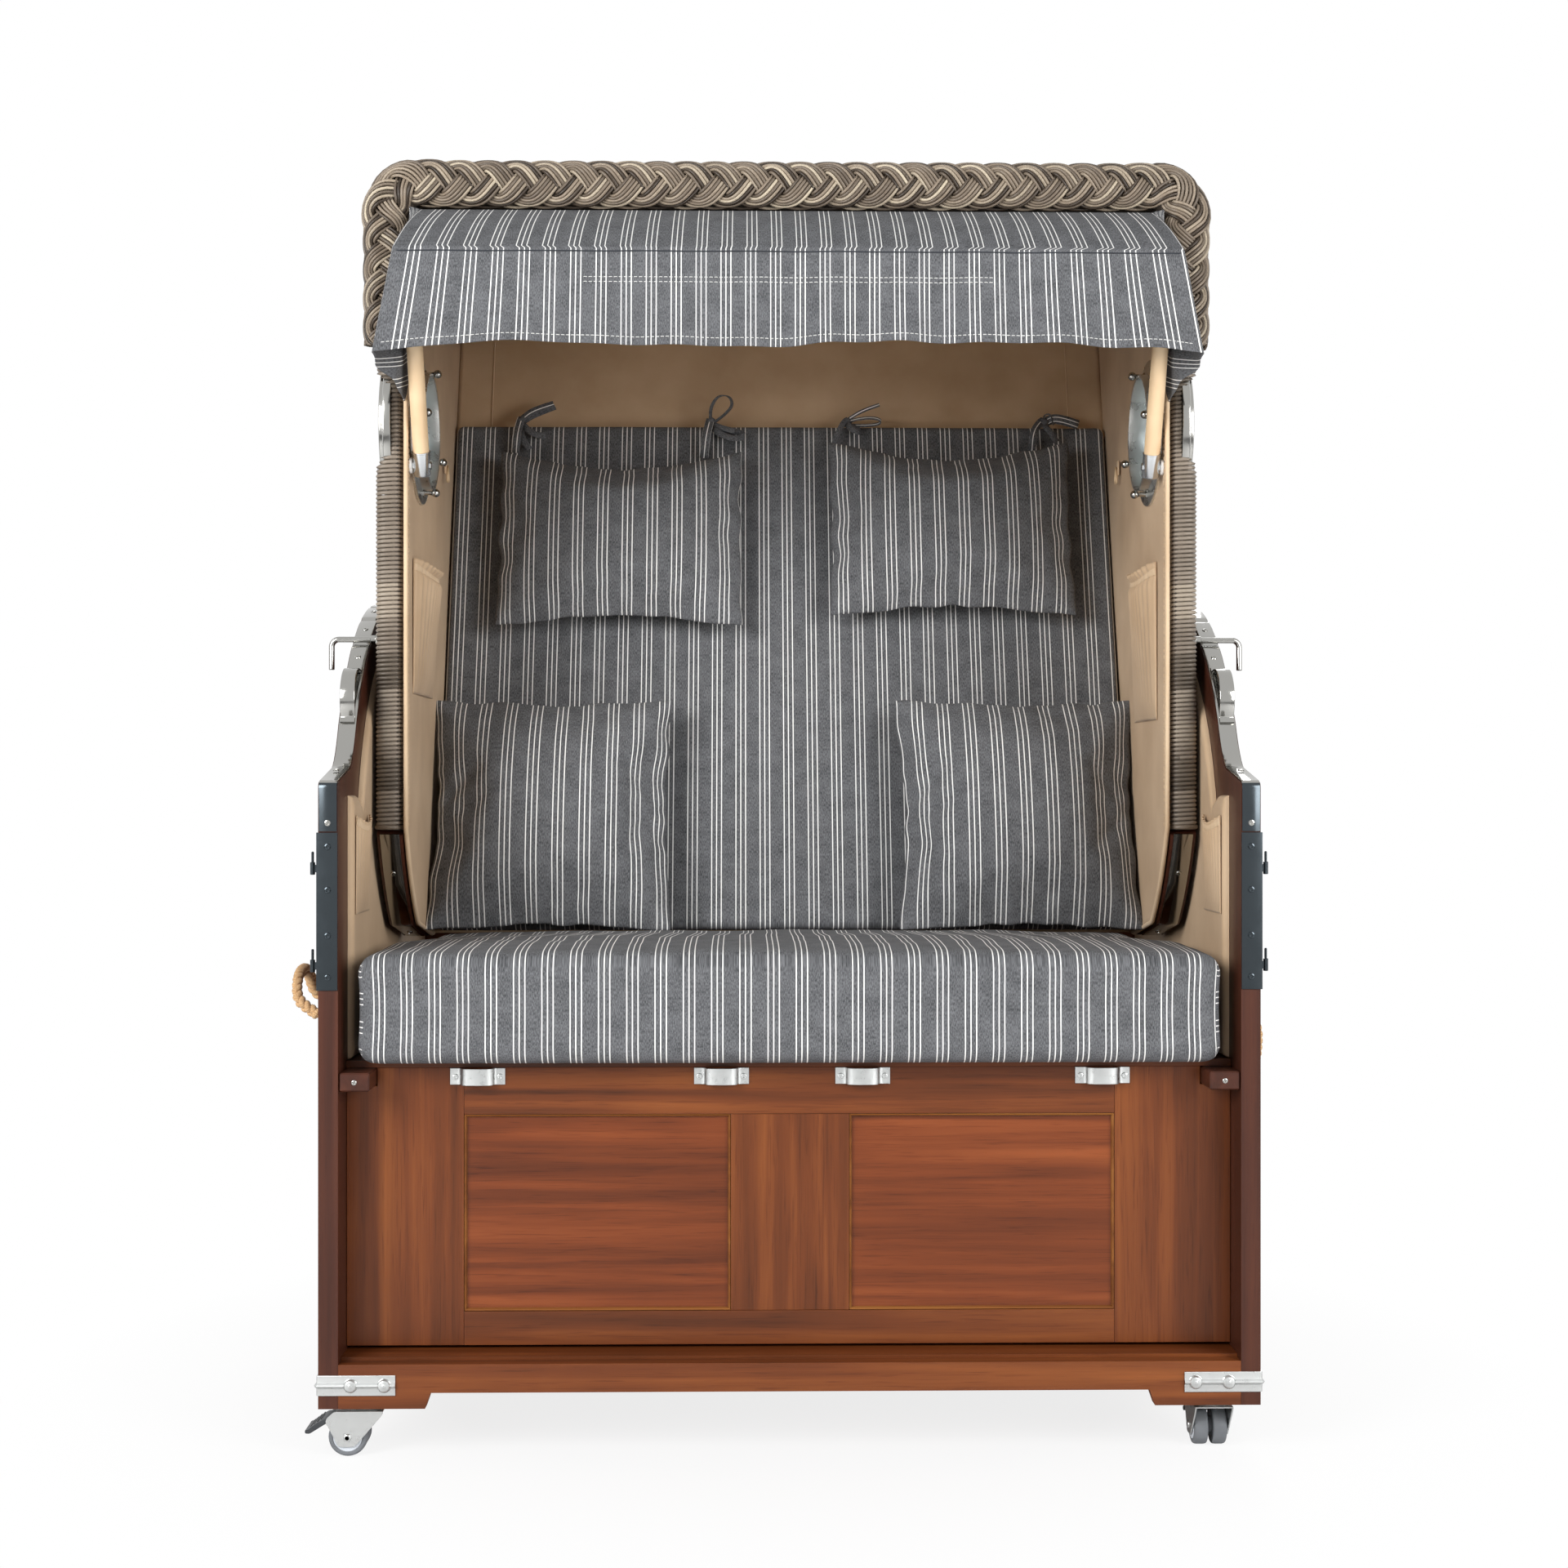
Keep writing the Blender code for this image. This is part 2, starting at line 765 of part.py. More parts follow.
def boards():
    """The plinth, floor, back and seat boards."""
    half = inner_half - seat_gap
    floor_top = plinth_top + floor_drop + seat_gap
    footed_board("front_plinth", 0, plinth_thickness, plinth_top, mahogany)
    footed_board("back_panel", base_depth - back_thickness, base_depth, back_top, mahogany)
    floor = box(
        "floor_board",
        (-half, plinth_thickness + seat_gap, floor_top - floor_thickness),
        (half, base_depth - back_thickness - seat_gap, floor_top),
    )
    seat = box(
        "seat_board",
        (-half, seat_board_front, batten_top + seat_gap),
        (half, seat_board_back, batten_top + seat_gap + seat_board_thickness),
    )
    return placed(floor, mahogany), placed(seat, mahogany)


def batten(side):
    """The rail inside a side panel that the seat board lies on; its end shows in front."""
    outer = inner_half - seat_gap
    low, high = sorted((side * (outer - batten_width), side * outer))
    rail = box(
        "seat_batten_" + SIDE_NAMES[side],
        (low, batten_setback, batten_top - batten_height),
        (high, base_depth - back_thickness - seat_gap, batten_top),
        strap_thickness,
    )
    return placed(rail, dark_wood)


def notch_band(side):
    """The chrome band along the top edge, turned down over the front corner."""
    path = [(0, band_front_bottom)] + arm_path()
    outline = ribbon(path, seat_gap, seat_gap + band_thickness)
    middle = base_half - side_thickness / 2
    band = side_plate(
        "notch_band_" + SIDE_NAMES[side], outline, side, middle - band_width / 2, middle + band_width / 2
    )
    height = band_front_bottom + screw_head_radius * 2.5
    seat, face = seat_gap + band_thickness / 2, seat_gap + band_thickness + screw_head_height
    start, end = (side * middle, -seat, height), (side * middle, -face, height)
    screw = rod("band_screw_" + SIDE_NAMES[side], start, end, screw_head_radius, 8)
    return placed(join(band, screw), chrome)


def edge_plate(side):
    """The chrome plate on a side panel's front edge, with the pintles that a side table hangs on."""
    name = SIDE_NAMES[side]
    inner, outer = inner_half + seat_gap, base_half + seat_gap + plate_thickness
    front = 0 - seat_gap - plate_thickness
    outline = [
        (inner, front),
        (outer, front),
        (outer, plate_flange),
        (base_half + seat_gap, plate_flange),
        (base_half + seat_gap, 0 - seat_gap),
        (inner, 0 - seat_gap),
    ]
    outline = [(side * a, b) for a, b in outline][::side]
    angle = placed(plate("edge_plate_" + name, outline, plate_bottom, plate_top, "XY"), chrome)
    middle = side * (inner_half + base_half) / 2
    for index, drop in enumerate(plate_screw_drops):
        height = plate_top - drop
        head = rod(
            f"plate_screw_{name}_{index}",
            (middle, front + plate_thickness / 2, height),
            (middle, front - screw_head_height, height),
            screw_head_radius,
            8,
        )
        join(angle, head)
    for index, drop in enumerate(pintle_drops):
        x = side * (outer + pintle_standoff)
        y = plate_flange / 2
        foot = plate_top - drop - pintle_barrel_height / 2
        barrel_top = foot + pintle_barrel_height
        barrel = turned(
            f"pintle_{name}_{index}",
            [
                (0, barrel_top + pintle_pin_height),
                (pintle_pin_radius, barrel_top + pintle_pin_height),
                (pintle_pin_radius, barrel_top),
                (pintle_barrel_radius, barrel_top),
                (pintle_barrel_radius, foot),
                (0, foot),
            ],
            (x, y, 0),
            (0, 0, 1),
            8,
            False,
        )
        reach = sorted((side * (outer - plate_thickness / 2), x))
        tab = box(
            f"pintle_tab_{name}_{index}",
            (reach[0], y - pintle_pin_radius, foot + pintle_barrel_radius),
            (reach[1], y + pintle_pin_radius, barrel_top - pintle_barrel_radius),
        )
        join(angle, tab)
        join(angle, barrel)
    return angle


def grab_loop(side):
    """The bent chrome strap that stands on the band as a handhold."""
    base = arc_radius + seat_gap + band_thickness + seat_gap
    middle = (loop_front_angle + loop_back_angle) / 2
    half = (loop_front_angle - loop_back_angle) / 2
    path = [(loop_front_angle + loop_foot_angle, base)]
    shares = np.linspace(1, -1, 9)
    for share in shares:
        path.append((middle + half * share, base + loop_rise * (1 - abs(share) ** 2.5)))
    path.append((loop_back_angle - loop_foot_angle, base))
    points = [(pivot_y + r * cos(radians(a)), pivot_z + r * sin(radians(a))) for a, r in path]
    centre = base_half - side_thickness / 2
    loop = side_plate(
        "grab_loop_" + SIDE_NAMES[side],
        ribbon(points, 0, loop_thickness),
        side,
        centre - loop_width / 2,
        centre + loop_width / 2,
    )
    return placed(loop, chrome)


def corner_strap(side):
    """The chrome strap round a front foot corner, with a bead along it and two bolts."""
    name = SIDE_NAMES[side]
    outer = base_half + seat_gap + strap_thickness
    front = 0 - seat_gap - strap_thickness
    outline = [
        (base_half - strap_length, front),
        (outer, front),
        (outer, strap_wrap),
        (base_half + seat_gap, strap_wrap),
        (base_half + seat_gap, 0 - seat_gap),
        (base_half - strap_length, 0 - seat_gap),
    ]
    outline = [(side * a, b) for a, b in outline][::side]
    low = strap_top - strap_height
    strap = placed(plate("corner_strap_" + name, outline, low, strap_top, "XY"), chrome)
    height = (low + strap_top) / 2
    bead = rod(
        "strap_bead_" + name,
        (side * (base_half - strap_length), front, height),
        (side * outer, front, height),
        strap_bead_radius,
        10,
    )
    bead_trim = box(
        "bead_trim_" + name,
        (-base_half - side_thickness, 0 - seat_gap - strap_thickness / 2, low),
        (base_half + side_thickness, side_thickness, strap_top),
    )
    join(strap, cut(bead, helper(bead_trim)))
    for index, share in enumerate(strap_bolt_shares):
        x = side * (base_half - strap_length * (1 - share) - strap_bolt_radius / 2)
        head = rod(
            f"strap_bolt_{name}_{index}",
            (x, front + strap_thickness / 2, height),
            (x, front - strap_bolt_height, height),
            strap_bolt_radius,
            6,
        )
        join(strap, head)
    return strap


def footrest_socket(index, centre):
    """A hat-shaped chrome clip on the front panel that a footrest hooks into from above."""
    face = panel_setback - seat_gap
    half, hat = socket_width / 2, socket_raised_width / 2
    lift = socket_rise + socket_sheet
    outline = [
        (-half, 0),
        (-hat, 0),
        (-hat, -socket_rise),
        (hat, -socket_rise),
        (hat, 0),
        (half, 0),
        (half, -socket_sheet),
        (hat + socket_sheet, -socket_sheet),
        (hat + socket_sheet, -lift),
        (-hat - socket_sheet, -lift),
        (-hat - socket_sheet, -socket_sheet),
        (-half, -socket_sheet),
    ]
    outline = [(centre + a, face + b) for a, b in outline]
    clip = plate(f"footrest_socket_{index + 1}", outline, socket_top - socket_height, socket_top, "XY")
    return placed(clip, steel)


def hinge_bolt(side):
    """The bolt that the hood turns on, its head outside the side panel."""
    face = base_half + seat_gap
    profile = [
        (0, face + bolt_head_height),
        (bolt_head_radius, face + bolt_head_height),
        (bolt_head_radius, face),
        (bolt_radius, face),
        (bolt_radius, bolt_inner_reach),
        (0, bolt_inner_reach),
    ]
    bolt = turned("hinge_bolt_" + SIDE_NAMES[side], profile, (0, *pivot), (side, 0, 0), 24, False)
    return placed(bolt, steel)


def smooth_route(route, steps):
    """Points of the Catmull-Rom curve through a route, some steps to each of its stretches."""
    ends = [2 * Vector(route[0]) - Vector(route[1]), 2 * Vector(route[-1]) - Vector(route[-2])]
    knots = [ends[0]] + [Vector(p) for p in route] + [ends[1]]
    points = []
    for a, b, c, d in zip(knots, knots[1:], knots[2:], knots[3:]):
        for t in np.linspace(0, 1, steps, endpoint=False):
            bow = (2 * a - 5 * b + 4 * c - d) * t * t + (3 * b - 3 * c + d - a) * t**3
            points.append((2 * b + (c - a) * t + bow) / 2)
    return points + [knots[-2]]


def rope_handle(side):
    """A rope loop from two holes of a side panel: it stands up on the left and hangs on the right."""
    out, lift = (rope_left_bulge, rope_left_rise) if side == LEFT else (rope_right_bulge, -rope_right_drop)
    run = rope_hole_back - rope_hole_front
    half = [(out * a, run * b, lift * c) for a, b, c in rope_route_shares]
    both = half + [(a, run - b, c) for a, b, c in half[-2::-1]]
    wall = base_half + seat_gap
    route = [(side * (wall + a), rope_hole_front + b, rope_hole_z + c) for a, b, c in both]
    points = route[:1] + smooth_route(route[1:-1], rope_steps) + route[-1:]
    return placed(tube("rope_handle_" + SIDE_NAMES[side], points, rope_radius), hemp)


def castor(corner):
    """A swivel castor: a fork on a bearing, a pair of wheels on one axle and, in front, a brake pedal."""
    y = castor_front_y if corner.startswith("front") else castor_back_y
    side = LEFT if corner.endswith("left") else RIGHT
    heading = radians(castor_headings[corner])
    spin = Matrix.Rotation(heading, 4, "Z")
    king = joint_empty(f"castor_{corner}_kingpin", (side * castor_x, y, foot_height))
    place = Matrix.Translation((side * castor_x, y, 0)) @ spin
    half = castor_wheel_width + castor_wheel_gap / 2
    leg_inner = half + castor_leg_gap
    leg_outer = leg_inner + castor_leg_thickness
    top = foot_height - seat_gap
    crown = top - castor_bearing_height
    over = castor_wheel_radius * 2 + castor_leg_gap
    outline = [
        (-castor_leg_top_length / 2, over),
        (-castor_leg_top_length / 2, crown),
        (castor_trail + castor_leg_top_length / 2, crown),
        (pedal_axle_run + pedal_axle_radius, pedal_axle_height + pedal_axle_radius),
        (pedal_axle_run + pedal_axle_radius, pedal_axle_height - pedal_axle_radius),
        (castor_trail + castor_axle_radius * 2, castor_wheel_radius),
        (castor_trail, castor_wheel_radius - castor_axle_radius * 1.5),
        (castor_trail - castor_axle_radius * 2, castor_wheel_radius),
    ]
    fork = plate(f"castor_{corner}_fork", outline, -leg_outer, leg_outer, "XZ")
    throat = box(
        f"castor_{corner}_throat",
        (-castor_leg_top_length, -leg_inner, 0),
        (pedal_axle_run * 2, leg_inner, over),
    )
    foot = (0, 0, crown - castor_leg_gap)
    bearing = rod(f"castor_{corner}_bearing", foot, (0, 0, top), castor_bearing_radius, 12)
    for piece in (fork, throat, bearing):
        piece.matrix_world = place @ piece.matrix_world
    cut(fork, helper(throat))
    placed(join(fork, bearing), steel)
    axle_hole = rod(
        f"castor_{corner}_axle_hole",
        (castor_trail, -leg_outer - cut_overrun, castor_wheel_radius),
        (castor_trail, leg_outer + cut_overrun, castor_wheel_radius),
        castor_axle_radius + bolt_clearance,
        10,
    )
    axle_hole.matrix_world = place @ axle_hole.matrix_world
    cut(fork, helper(axle_hole))
    rim = castor_wheel_radius / cos(pi / castor_wheel_sides)
    inner = castor_wheel_gap / 2
    ease = castor_wheel_round
    reach = leg_outer + castor_axle_head
    profile = [
        (0, reach),
        (castor_axle_radius, reach),
        (castor_axle_radius, half),
        (rim - ease, half),
        (rim, half - ease),
        (rim, inner),
        (castor_hub_radius, inner),
        (castor_hub_radius, -inner),
        (rim, -inner),
        (rim, -half + ease),
        (rim - ease, -half),
        (castor_axle_radius, -half),
        (castor_axle_radius, -reach),
        (0, -reach),
    ]
    wheels = turned(f"castor_{corner}_wheels", profile, (0, 0, 0), (0, 1, 0), castor_wheel_sides, False)
    hub = Matrix.Translation((castor_trail, 0, castor_wheel_radius))
    wheels.matrix_world = place @ hub @ towards((0, 1, 0))
    placed(wheels, grey_rubber)
    carry(king, fork, wheels)
    if not corner.startswith("front"):
        return
    run, height = pedal_axle_run, pedal_axle_height
    half_pedal = leg_inner - seat_gap
    outline = [
        (run - pedal_axle_radius, height + pedal_axle_radius),
        (run + pedal_axle_radius * 2, height + pedal_axle_radius),
        (run + pedal_length, height - pedal_drop + pedal_thickness),
        (run + pedal_length, height - pedal_drop),
        (run + pedal_axle_radius, height - pedal_axle_radius),
        (run - pedal_axle_radius, height - pedal_axle_radius),
    ]
    pedal = plate(f"castor_{corner}_brake_pedal", outline, -half_pedal, half_pedal, "XZ")
    pedal.matrix_world = place @ pedal.matrix_world
    placed(pedal, dark_plastic)
    axle = joint_empty(f"castor_{corner}_pedal_axle", place @ Vector((run, 0, height)), king)
    carry(axle, pedal)


def back_point(up, out):
    """A point (Y, Z) up along the reclined back from the pivot, and out in front of it."""
    return (
        pivot_y + up * sin(back_slope) - out * cos(back_slope),
        pivot_z + up * cos(back_slope) + out * sin(back_slope),
    )


def rail_path():
    """The hood's lower front edge: an arc down from the post's foot, then straight to the heel."""
    angles = []
    for height in (post_bottom, rail_end_z):
        rise = height - rail_arc_z
        angles.append(degrees(atan2(rise, -((rail_arc_radius**2 - rise**2) ** 0.5))))
    curve = arc((rail_arc_y, rail_arc_z), rail_arc_radius, *angles, 6)
    return curve + [heel_point(heel_start_angle(curve[-1]))]


def rail_inner(inset):
    """The rail's path moved inwards, starting level with the post's foot."""
    rise = post_bottom - rail_arc_z
    run = ((rail_arc_radius - inset) ** 2 - rise**2) ** 0.5
    low = [p for p in shifted(rail_path(), inset) if p[1] < post_bottom - seat_gap]
    return [(rail_arc_y - run, post_bottom)] + low


def heel_start_angle(point):
    """The angle about the pivot where the line from a point touches the heel from below."""
    away = Vector(point) - Vector(pivot)
    return degrees(atan2(away.y, away.x) + acos(hood_heel_radius / away.length))


def heel_point(angle):
    """A point of the heel circle about the pivot."""
    return (
        pivot_y + hood_heel_radius * cos(radians(angle)),
        pivot_z + hood_heel_radius * sin(radians(angle)),
    )


def part_way(start, end, length):
    """The point at a length from the start towards the end."""
    start, end = Vector(start), Vector(end)
    return tuple(start + (end - start).normalized() * length)


def hood_section(inset, front, lower):
    """The hood's side outline: its lower edge, then up the back and forward along the roof, inset."""
    ridge = back_point(hood_back_reach, -hood_heel_radius)
    foot, corner, brow = shifted([back_point(0, -hood_heel_radius), ridge, (0, hood_top)], inset)
    radius = max(hood_corner_radius - inset, hood_inner_corner)
    turn = bend(part_way(corner, foot, radius), corner, part_way(corner, brow, radius), 5)
    share = (corner[0] - front) / (corner[0] - brow[0])
    return lower + [foot] + turn + [(front, corner[1] + (brow[1] - corner[1]) * share)]


def hollow_section(inset):
    """The outline of the open space inside a layer of the hood, run out past its front and foot."""
    below = back_point(-hood_back_reach / 2, inset - hood_heel_radius)
    front = hood_front - post_depth
    return hood_section(inset, front, [(front, below[1]), below])


def hood_basket(bores, port_bores):
    """The woven shell: two sides, back and roof, open in front and below."""
    front = hood_front + post_depth + seat_gap
    rail = rail_path()
    above = [p for p in rail_inner(rail_thickness + seat_gap) if p[0] > front]
    heel_start = heel_start_angle(rail[-2]) + heel_clear_angle
    heel = arc(pivot, hood_heel_radius, heel_start, -hood_recline, 10)
    lower = [(front, post_bottom)] + above + heel[:-1]
    shell = plate("hood_basket", hood_section(0, front, lower), -hood_half_width, hood_half_width)
    inner = hood_half_width - hood_wall
    cut(shell, helper(plate("hood_cavity", hollow_section(hood_back_wall), -inner, inner)))
    for cutter in bores + port_bores:
        cut(shell, cutter)
    return placed(shell, wicker)


def hood_lining(port_bores):
    """The beige lining inside the basket, out to the posts' front face."""
    outer = hood_back_wall + seat_gap
    half = hood_half_width - hood_wall - seat_gap
    lower = shifted(rail_path(), lining_edge_inset)
    lower.append(back_point(-lining_foot_reach, outer - hood_heel_radius))
    behind = hood_front + post_depth + seat_gap
    below = braid_bottom - seat_gap
    outline = hood_section(outer, behind, lower) + [(behind, below), (hood_front, below)]
    lining = plate("hood_lining", outline, -half, half)
    inner = half - hood_lining_wall
    cavity = plate("lining_cavity", hollow_section(outer + hood_back_lining), -inner, inner)
    cut(lining, helper(cavity))
    for cutter in port_bores:
        cut(lining, cutter)
    return placed(lining, beige_cloth)


def port_cutter(name, radius, side, near, far):
    """A round cutter on a porthole's axis, whose flats lie at the radius."""
    sides = 32
    start = (side * near, port_y, port_z)
    return helper(rod(name, start, (side * far, port_y, port_z), radius / cos(pi / sides), sides))


def hood_post(side, port_cutters):
    """The wound front post, cut round the porthole's outer ring and sleeve."""
    inner = hood_half_width - hood_wall
    low, high = sorted((side * inner, side * post_half_outer))
    post = box(
        "hood_post_" + SIDE_NAMES[side],
        (low, hood_front, post_bottom + seat_gap),
        (high, hood_front + post_depth, braid_bottom - seat_gap),
        post_corner,
    )
    for cutter in port_cutters:
        cut(post, cutter)
    return placed(post, wicker)


def hood_rail(side):
    """The curved wooden rail under the post, down to the heel."""
    outline = rail_path() + rail_inner(rail_thickness)[::-1]
    inner = hood_half_width - hood_wall
    rail = side_plate("hood_rail_" + SIDE_NAMES[side], outline, side, inner, hood_half_width)
    return placed(rail, dark_wood)


def braid_rim():
    """The plaited rim over the hood's front, as one thick tube bent round both corners."""
    rise = braid_top - braid_width / 2
    run = braid_half_span - braid_corner_radius
    middle = hood_front + post_depth - braid_depth / 2
    turn = arc((run, rise - braid_corner_radius), braid_corner_radius, 0, 90, 18)
    half = [(braid_half_span, braid_bottom)] + turn
    points = [(x, 0, z) for x, z in half] + [(-x, 0, z) for x, z in half[::-1]]
    rim = tube("braid_rim", points, braid_width / 2, 4)
    flatten = Matrix.Diagonal((1, braid_depth / braid_width, 1, 1))
    rim.data.transform(Matrix.Translation((0, middle, 0)) @ flatten)
    return placed(rim, wicker)


def porthole(side):
    """A porthole: a stepped ring outside, a sleeve through the wall and a flange inside, with its glass."""
    lining_face = hood_half_width - hood_wall - hood_lining_wall - 2 * seat_gap
    flange_face = lining_face - port_flange_thickness
    profile = [
        (port_sleeve_inner, port_ring_outer_face),
        (port_ring_step_radius, port_ring_outer_face),
        (port_ring_step_radius, port_ring_step_face),
        (port_ring_radius, port_ring_step_face),
        (port_ring_radius, port_ring_inner_face),
        (port_sleeve_outer, port_ring_inner_face),
        (port_sleeve_outer, lining_face),
        (port_flange_radius, lining_face),
        (port_flange_radius, flange_face),
        (port_sleeve_outer, flange_face),
        (port_sleeve_outer, port_tube_face),
        (port_sleeve_inner, port_tube_face),
    ]
    centre = (0, port_y, port_z)
    ring = turned("porthole_ring_" + SIDE_NAMES[side], profile, centre, (side, 0, 0), 32)
    glass = rod(
        "porthole_glass_" + SIDE_NAMES[side],
        (side * port_glass_face, port_y, port_z),
        (side * (port_glass_face + port_glass_thickness), port_y, port_z),
        port_sleeve_inner - glass_clearance,
        32,
    )
    return placed(ring, chrome), placed(glass, clear_glass)


def bow_reach():
    """The bow's length from its pivots to the middle of its bar, and its lean as a unit vector."""
    lean = Vector((0, bow_bar_y - bow_y, bow_bar_z - bow_z))
    return lean.length, lean.normalized()


def bow_point(x, along):
    """A point of the bow's plane: across the chair, and along its arms from the pivots."""
    lean = bow_reach()[1]
    return Vector((x, bow_y, bow_z)) + along * lean


def awning_bow():
    """The bent tube that carries the awning, with an aluminium cap and pivot boss on each end."""
    length = bow_reach()[0]
    run = bow_x - bow_corner_radius
    turn = arc((run, length - bow_corner_radius), bow_corner_radius, 0, 90, 18)
    half = [(bow_x, cap_above + seat_gap)] + turn
    plan = half + [(-x, along) for x, along in half[::-1]]
    axis = joint_empty("awning_bow_axis", (0, bow_y, bow_z))
    bow = placed(tube("awning_bow", [bow_point(x, along) for x, along in plan], bow_radius), beige_tube)
    carry(axis, bow)
    lining_face = hood_half_width - hood_wall - hood_lining_wall - 2 * seat_gap
    for side in (LEFT, RIGHT):
        x = side * bow_x
        name, ends = SIDE_NAMES[side], (bow_point(x, -cap_below), bow_point(x, cap_above))
        cap = rod("bow_cap_" + name, *ends, cap_radius, 14)
        middle, wall = (x, bow_y, bow_z), (side * lining_face, bow_y, bow_z)
        boss = rod("bow_boss_" + name, middle, wall, cap_boss_radius, 12)
        carry(axis, placed(join(cap, boss), steel))
    return axis


def awning_surface(across, down):
    """A point of the awning: across from -1 to 1 with a gusset at each end, and down from 0 to 1."""
    seam_y = bow_bar_y - bow_radius - awning_ease
    seam_z = bow_bar_z + bow_radius + awning_ease
    top_z = braid_top - braid_width - seat_gap
    side = 1 if across > 0 else -1
    front = min(abs(across) / awning_front_share, 1)
    back = max((abs(across) - awning_front_share) / (1 - awning_front_share), 0)
    if down < awning_seam_share:
        share = down / awning_seam_share
        y = awning_top_y + (seam_y - awning_top_y) * share
        z = top_z + (seam_z - top_z) * share
        hang = 0
    else:
        hang = (down - awning_seam_share) / (1 - awning_seam_share)
        y = seam_y + (awning_hem_y - seam_y) * hang
        z = seam_z + (awning_hem_z - seam_z) * hang
    half = awning_top_half + (awning_hem_half - awning_top_half) * down
    x = half * front
    fold = (1 - cos(2 * pi * awning_folds * front)) / 2 * (1 + side * awning_fold_lean)
    y -= awning_fold_depth * fold * hang**2
    z -= awning_corner_drop * front**8 * hang
    if back:
        low = hang**8
        end_half = awning_gusset_high_half + (awning_gusset_low_half - awning_gusset_high_half) * low
        end_y = awning_gusset_high_y + (awning_gusset_low_y - awning_gusset_high_y) * low
        x += (end_half - half) * back
        y += (end_y - y) * back
        z -= awning_gusset_drop * back * hang
        x += awning_fold_depth * sin(pi * back) * sin(2 * pi * back) * hang * gusset_fold_share
    return side * x, y, z


def awning_cloth():
    """The awning: over the bow, down to its hem, and round to the posts with a gusset on each side."""
    columns, rows = awning_columns, awning_rows
    shape = bmesh.new()
    bmesh.ops.create_grid(shape, x_segments=columns, y_segments=rows, size=1)
    for vert in shape.verts:
        vert.co = awning_surface(vert.co.x, (1 - vert.co.y) / 2)
    bmesh.ops.recalc_face_normals(shape, faces=shape.faces)
    mesh = bpy.data.meshes.new("awning_cloth")
    shape.to_mesh(mesh)
    shape.free()
    cloth = placed(bpy.data.objects.new("awning_cloth", mesh), striped_cloth)
    thick = cloth.modifiers.new("thickness", "SOLIDIFY")
    thick.thickness = awning_thickness
    thick.offset = 0
    return cloth


def lock_handle(side):
    """The L-shaped rod that locks the hood: it lies over the band and lifts out along its own radius."""
    y, z = lock_y, pivot_z + lock_radius * sin(radians(notch_first_angle))
    turn = arc((lock_outer_x - lock_bend, z - lock_bend), lock_bend, 90, 0, 30)
    near = hood_half_width + seat_gap
    points = [(near, z)] + turn + [(lock_outer_x, z - lock_leg)]
    handle = tube("lock_handle_" + SIDE_NAMES[side], [(side * a, y, b) for a, b in points], lock_rod_radius)
    collar = rod(
        "lock_collar_" + SIDE_NAMES[side],
        (side * near, y, z),
        (side * (near + lock_collar_length), y, z),
        lock_collar_radius,
        16,
    )
    return placed(join(handle, collar), chrome)


def crown_share(u, v):
    """How much of a cushion's crown stands at a place from -1 to 1 across and along it."""
    return (1 - u**4) * (1 - v**6)


def cushion(name, size, corner, crown, draw, centre, tilt, taper=None):
    """A boxed cushion: its faces rise to a crown, its sides draw in between the seams."""
    shape = bmesh.new()
    bmesh.ops.create_cube(shape, size=2)
    bmesh.ops.subdivide_edges(shape, edges=shape.edges, cuts=cushion_cuts, use_grid_fill=True)
    cells = cushion_cuts + 1
    for vert in shape.verts:
        place = []
        for share, length in zip(vert.co, size):
            edge = min(corner, length / 4)
            step = round((share + 1) / 2 * cells)
            inner = -length / 2 + edge + (step - 1) * (length - 2 * edge) / (cells - 2)
            place.append({0: -length / 2, cells: length / 2}.get(step, inner))
        u, v, w = (2 * a / length for a, length in zip(place, size))
        x, y, z = place
        z += crown * crown_share(u, v) * (w if w > 0 else 0)
        x -= draw * u * abs(u) ** 7 * (1 - w * w)
        y -= draw * v * abs(v) ** 7 * (1 - w * w)
        if taper:
            x *= taper((v + 1) / 2)
        vert.co = (x, y, z)
    mesh = bpy.data.meshes.new(name)
    shape.to_mesh(mesh)
    shape.free()
    made = bpy.data.objects.new(name, mesh)
    made.matrix_world = Matrix.Translation(centre) @ Matrix.Rotation(tilt, 4, "X")
    soft = made.modifiers.new("softness", "SUBSURF")
    soft.levels = 1
    soft.render_levels = 1
    return placed(made, striped_cloth, 180.0)


def pillow(name, width, height, half_thickness, sag, centre, tilt):
    """A pillow of two joined faces: full in the middle, thin at its drawn-in edges, with pointed corners."""
    shape = bmesh.new()
    for face in (1, -1):
        made = bmesh.ops.create_grid(shape, x_segments=pillow_cells, y_segments=pillow_cells, size=1)
        for vert in made["verts"]:
            u, v = vert.co.x, vert.co.y
            full = max((1 - u**4) * (1 - v**4), 0) ** 0.55
            x = u * width / 2 * (1 - pillow_ear_pull * (1 - v * v))
            y = v * height / 2 * (1 - pillow_ear_pull * (1 - u * u))
            y -= sag * (1 - u * u) * max(v, 0) ** 2
            vert.co = (x, y, face * half_thickness * full)
        if face < 0:
            faces = list({f for vert in made["verts"] for f in vert.link_faces})
            bmesh.ops.reverse_faces(shape, faces=faces)
    bmesh.ops.remove_doubles(shape, verts=shape.verts, dist=weld_distance)
    mesh = bpy.data.meshes.new(name)
    shape.to_mesh(mesh)
    shape.free()
    made = bpy.data.objects.new(name, mesh)
    made.matrix_world = Matrix.Translation(centre) @ Matrix.Rotation(tilt, 4, "X")
    return placed(made, striped_cloth, 180.0)


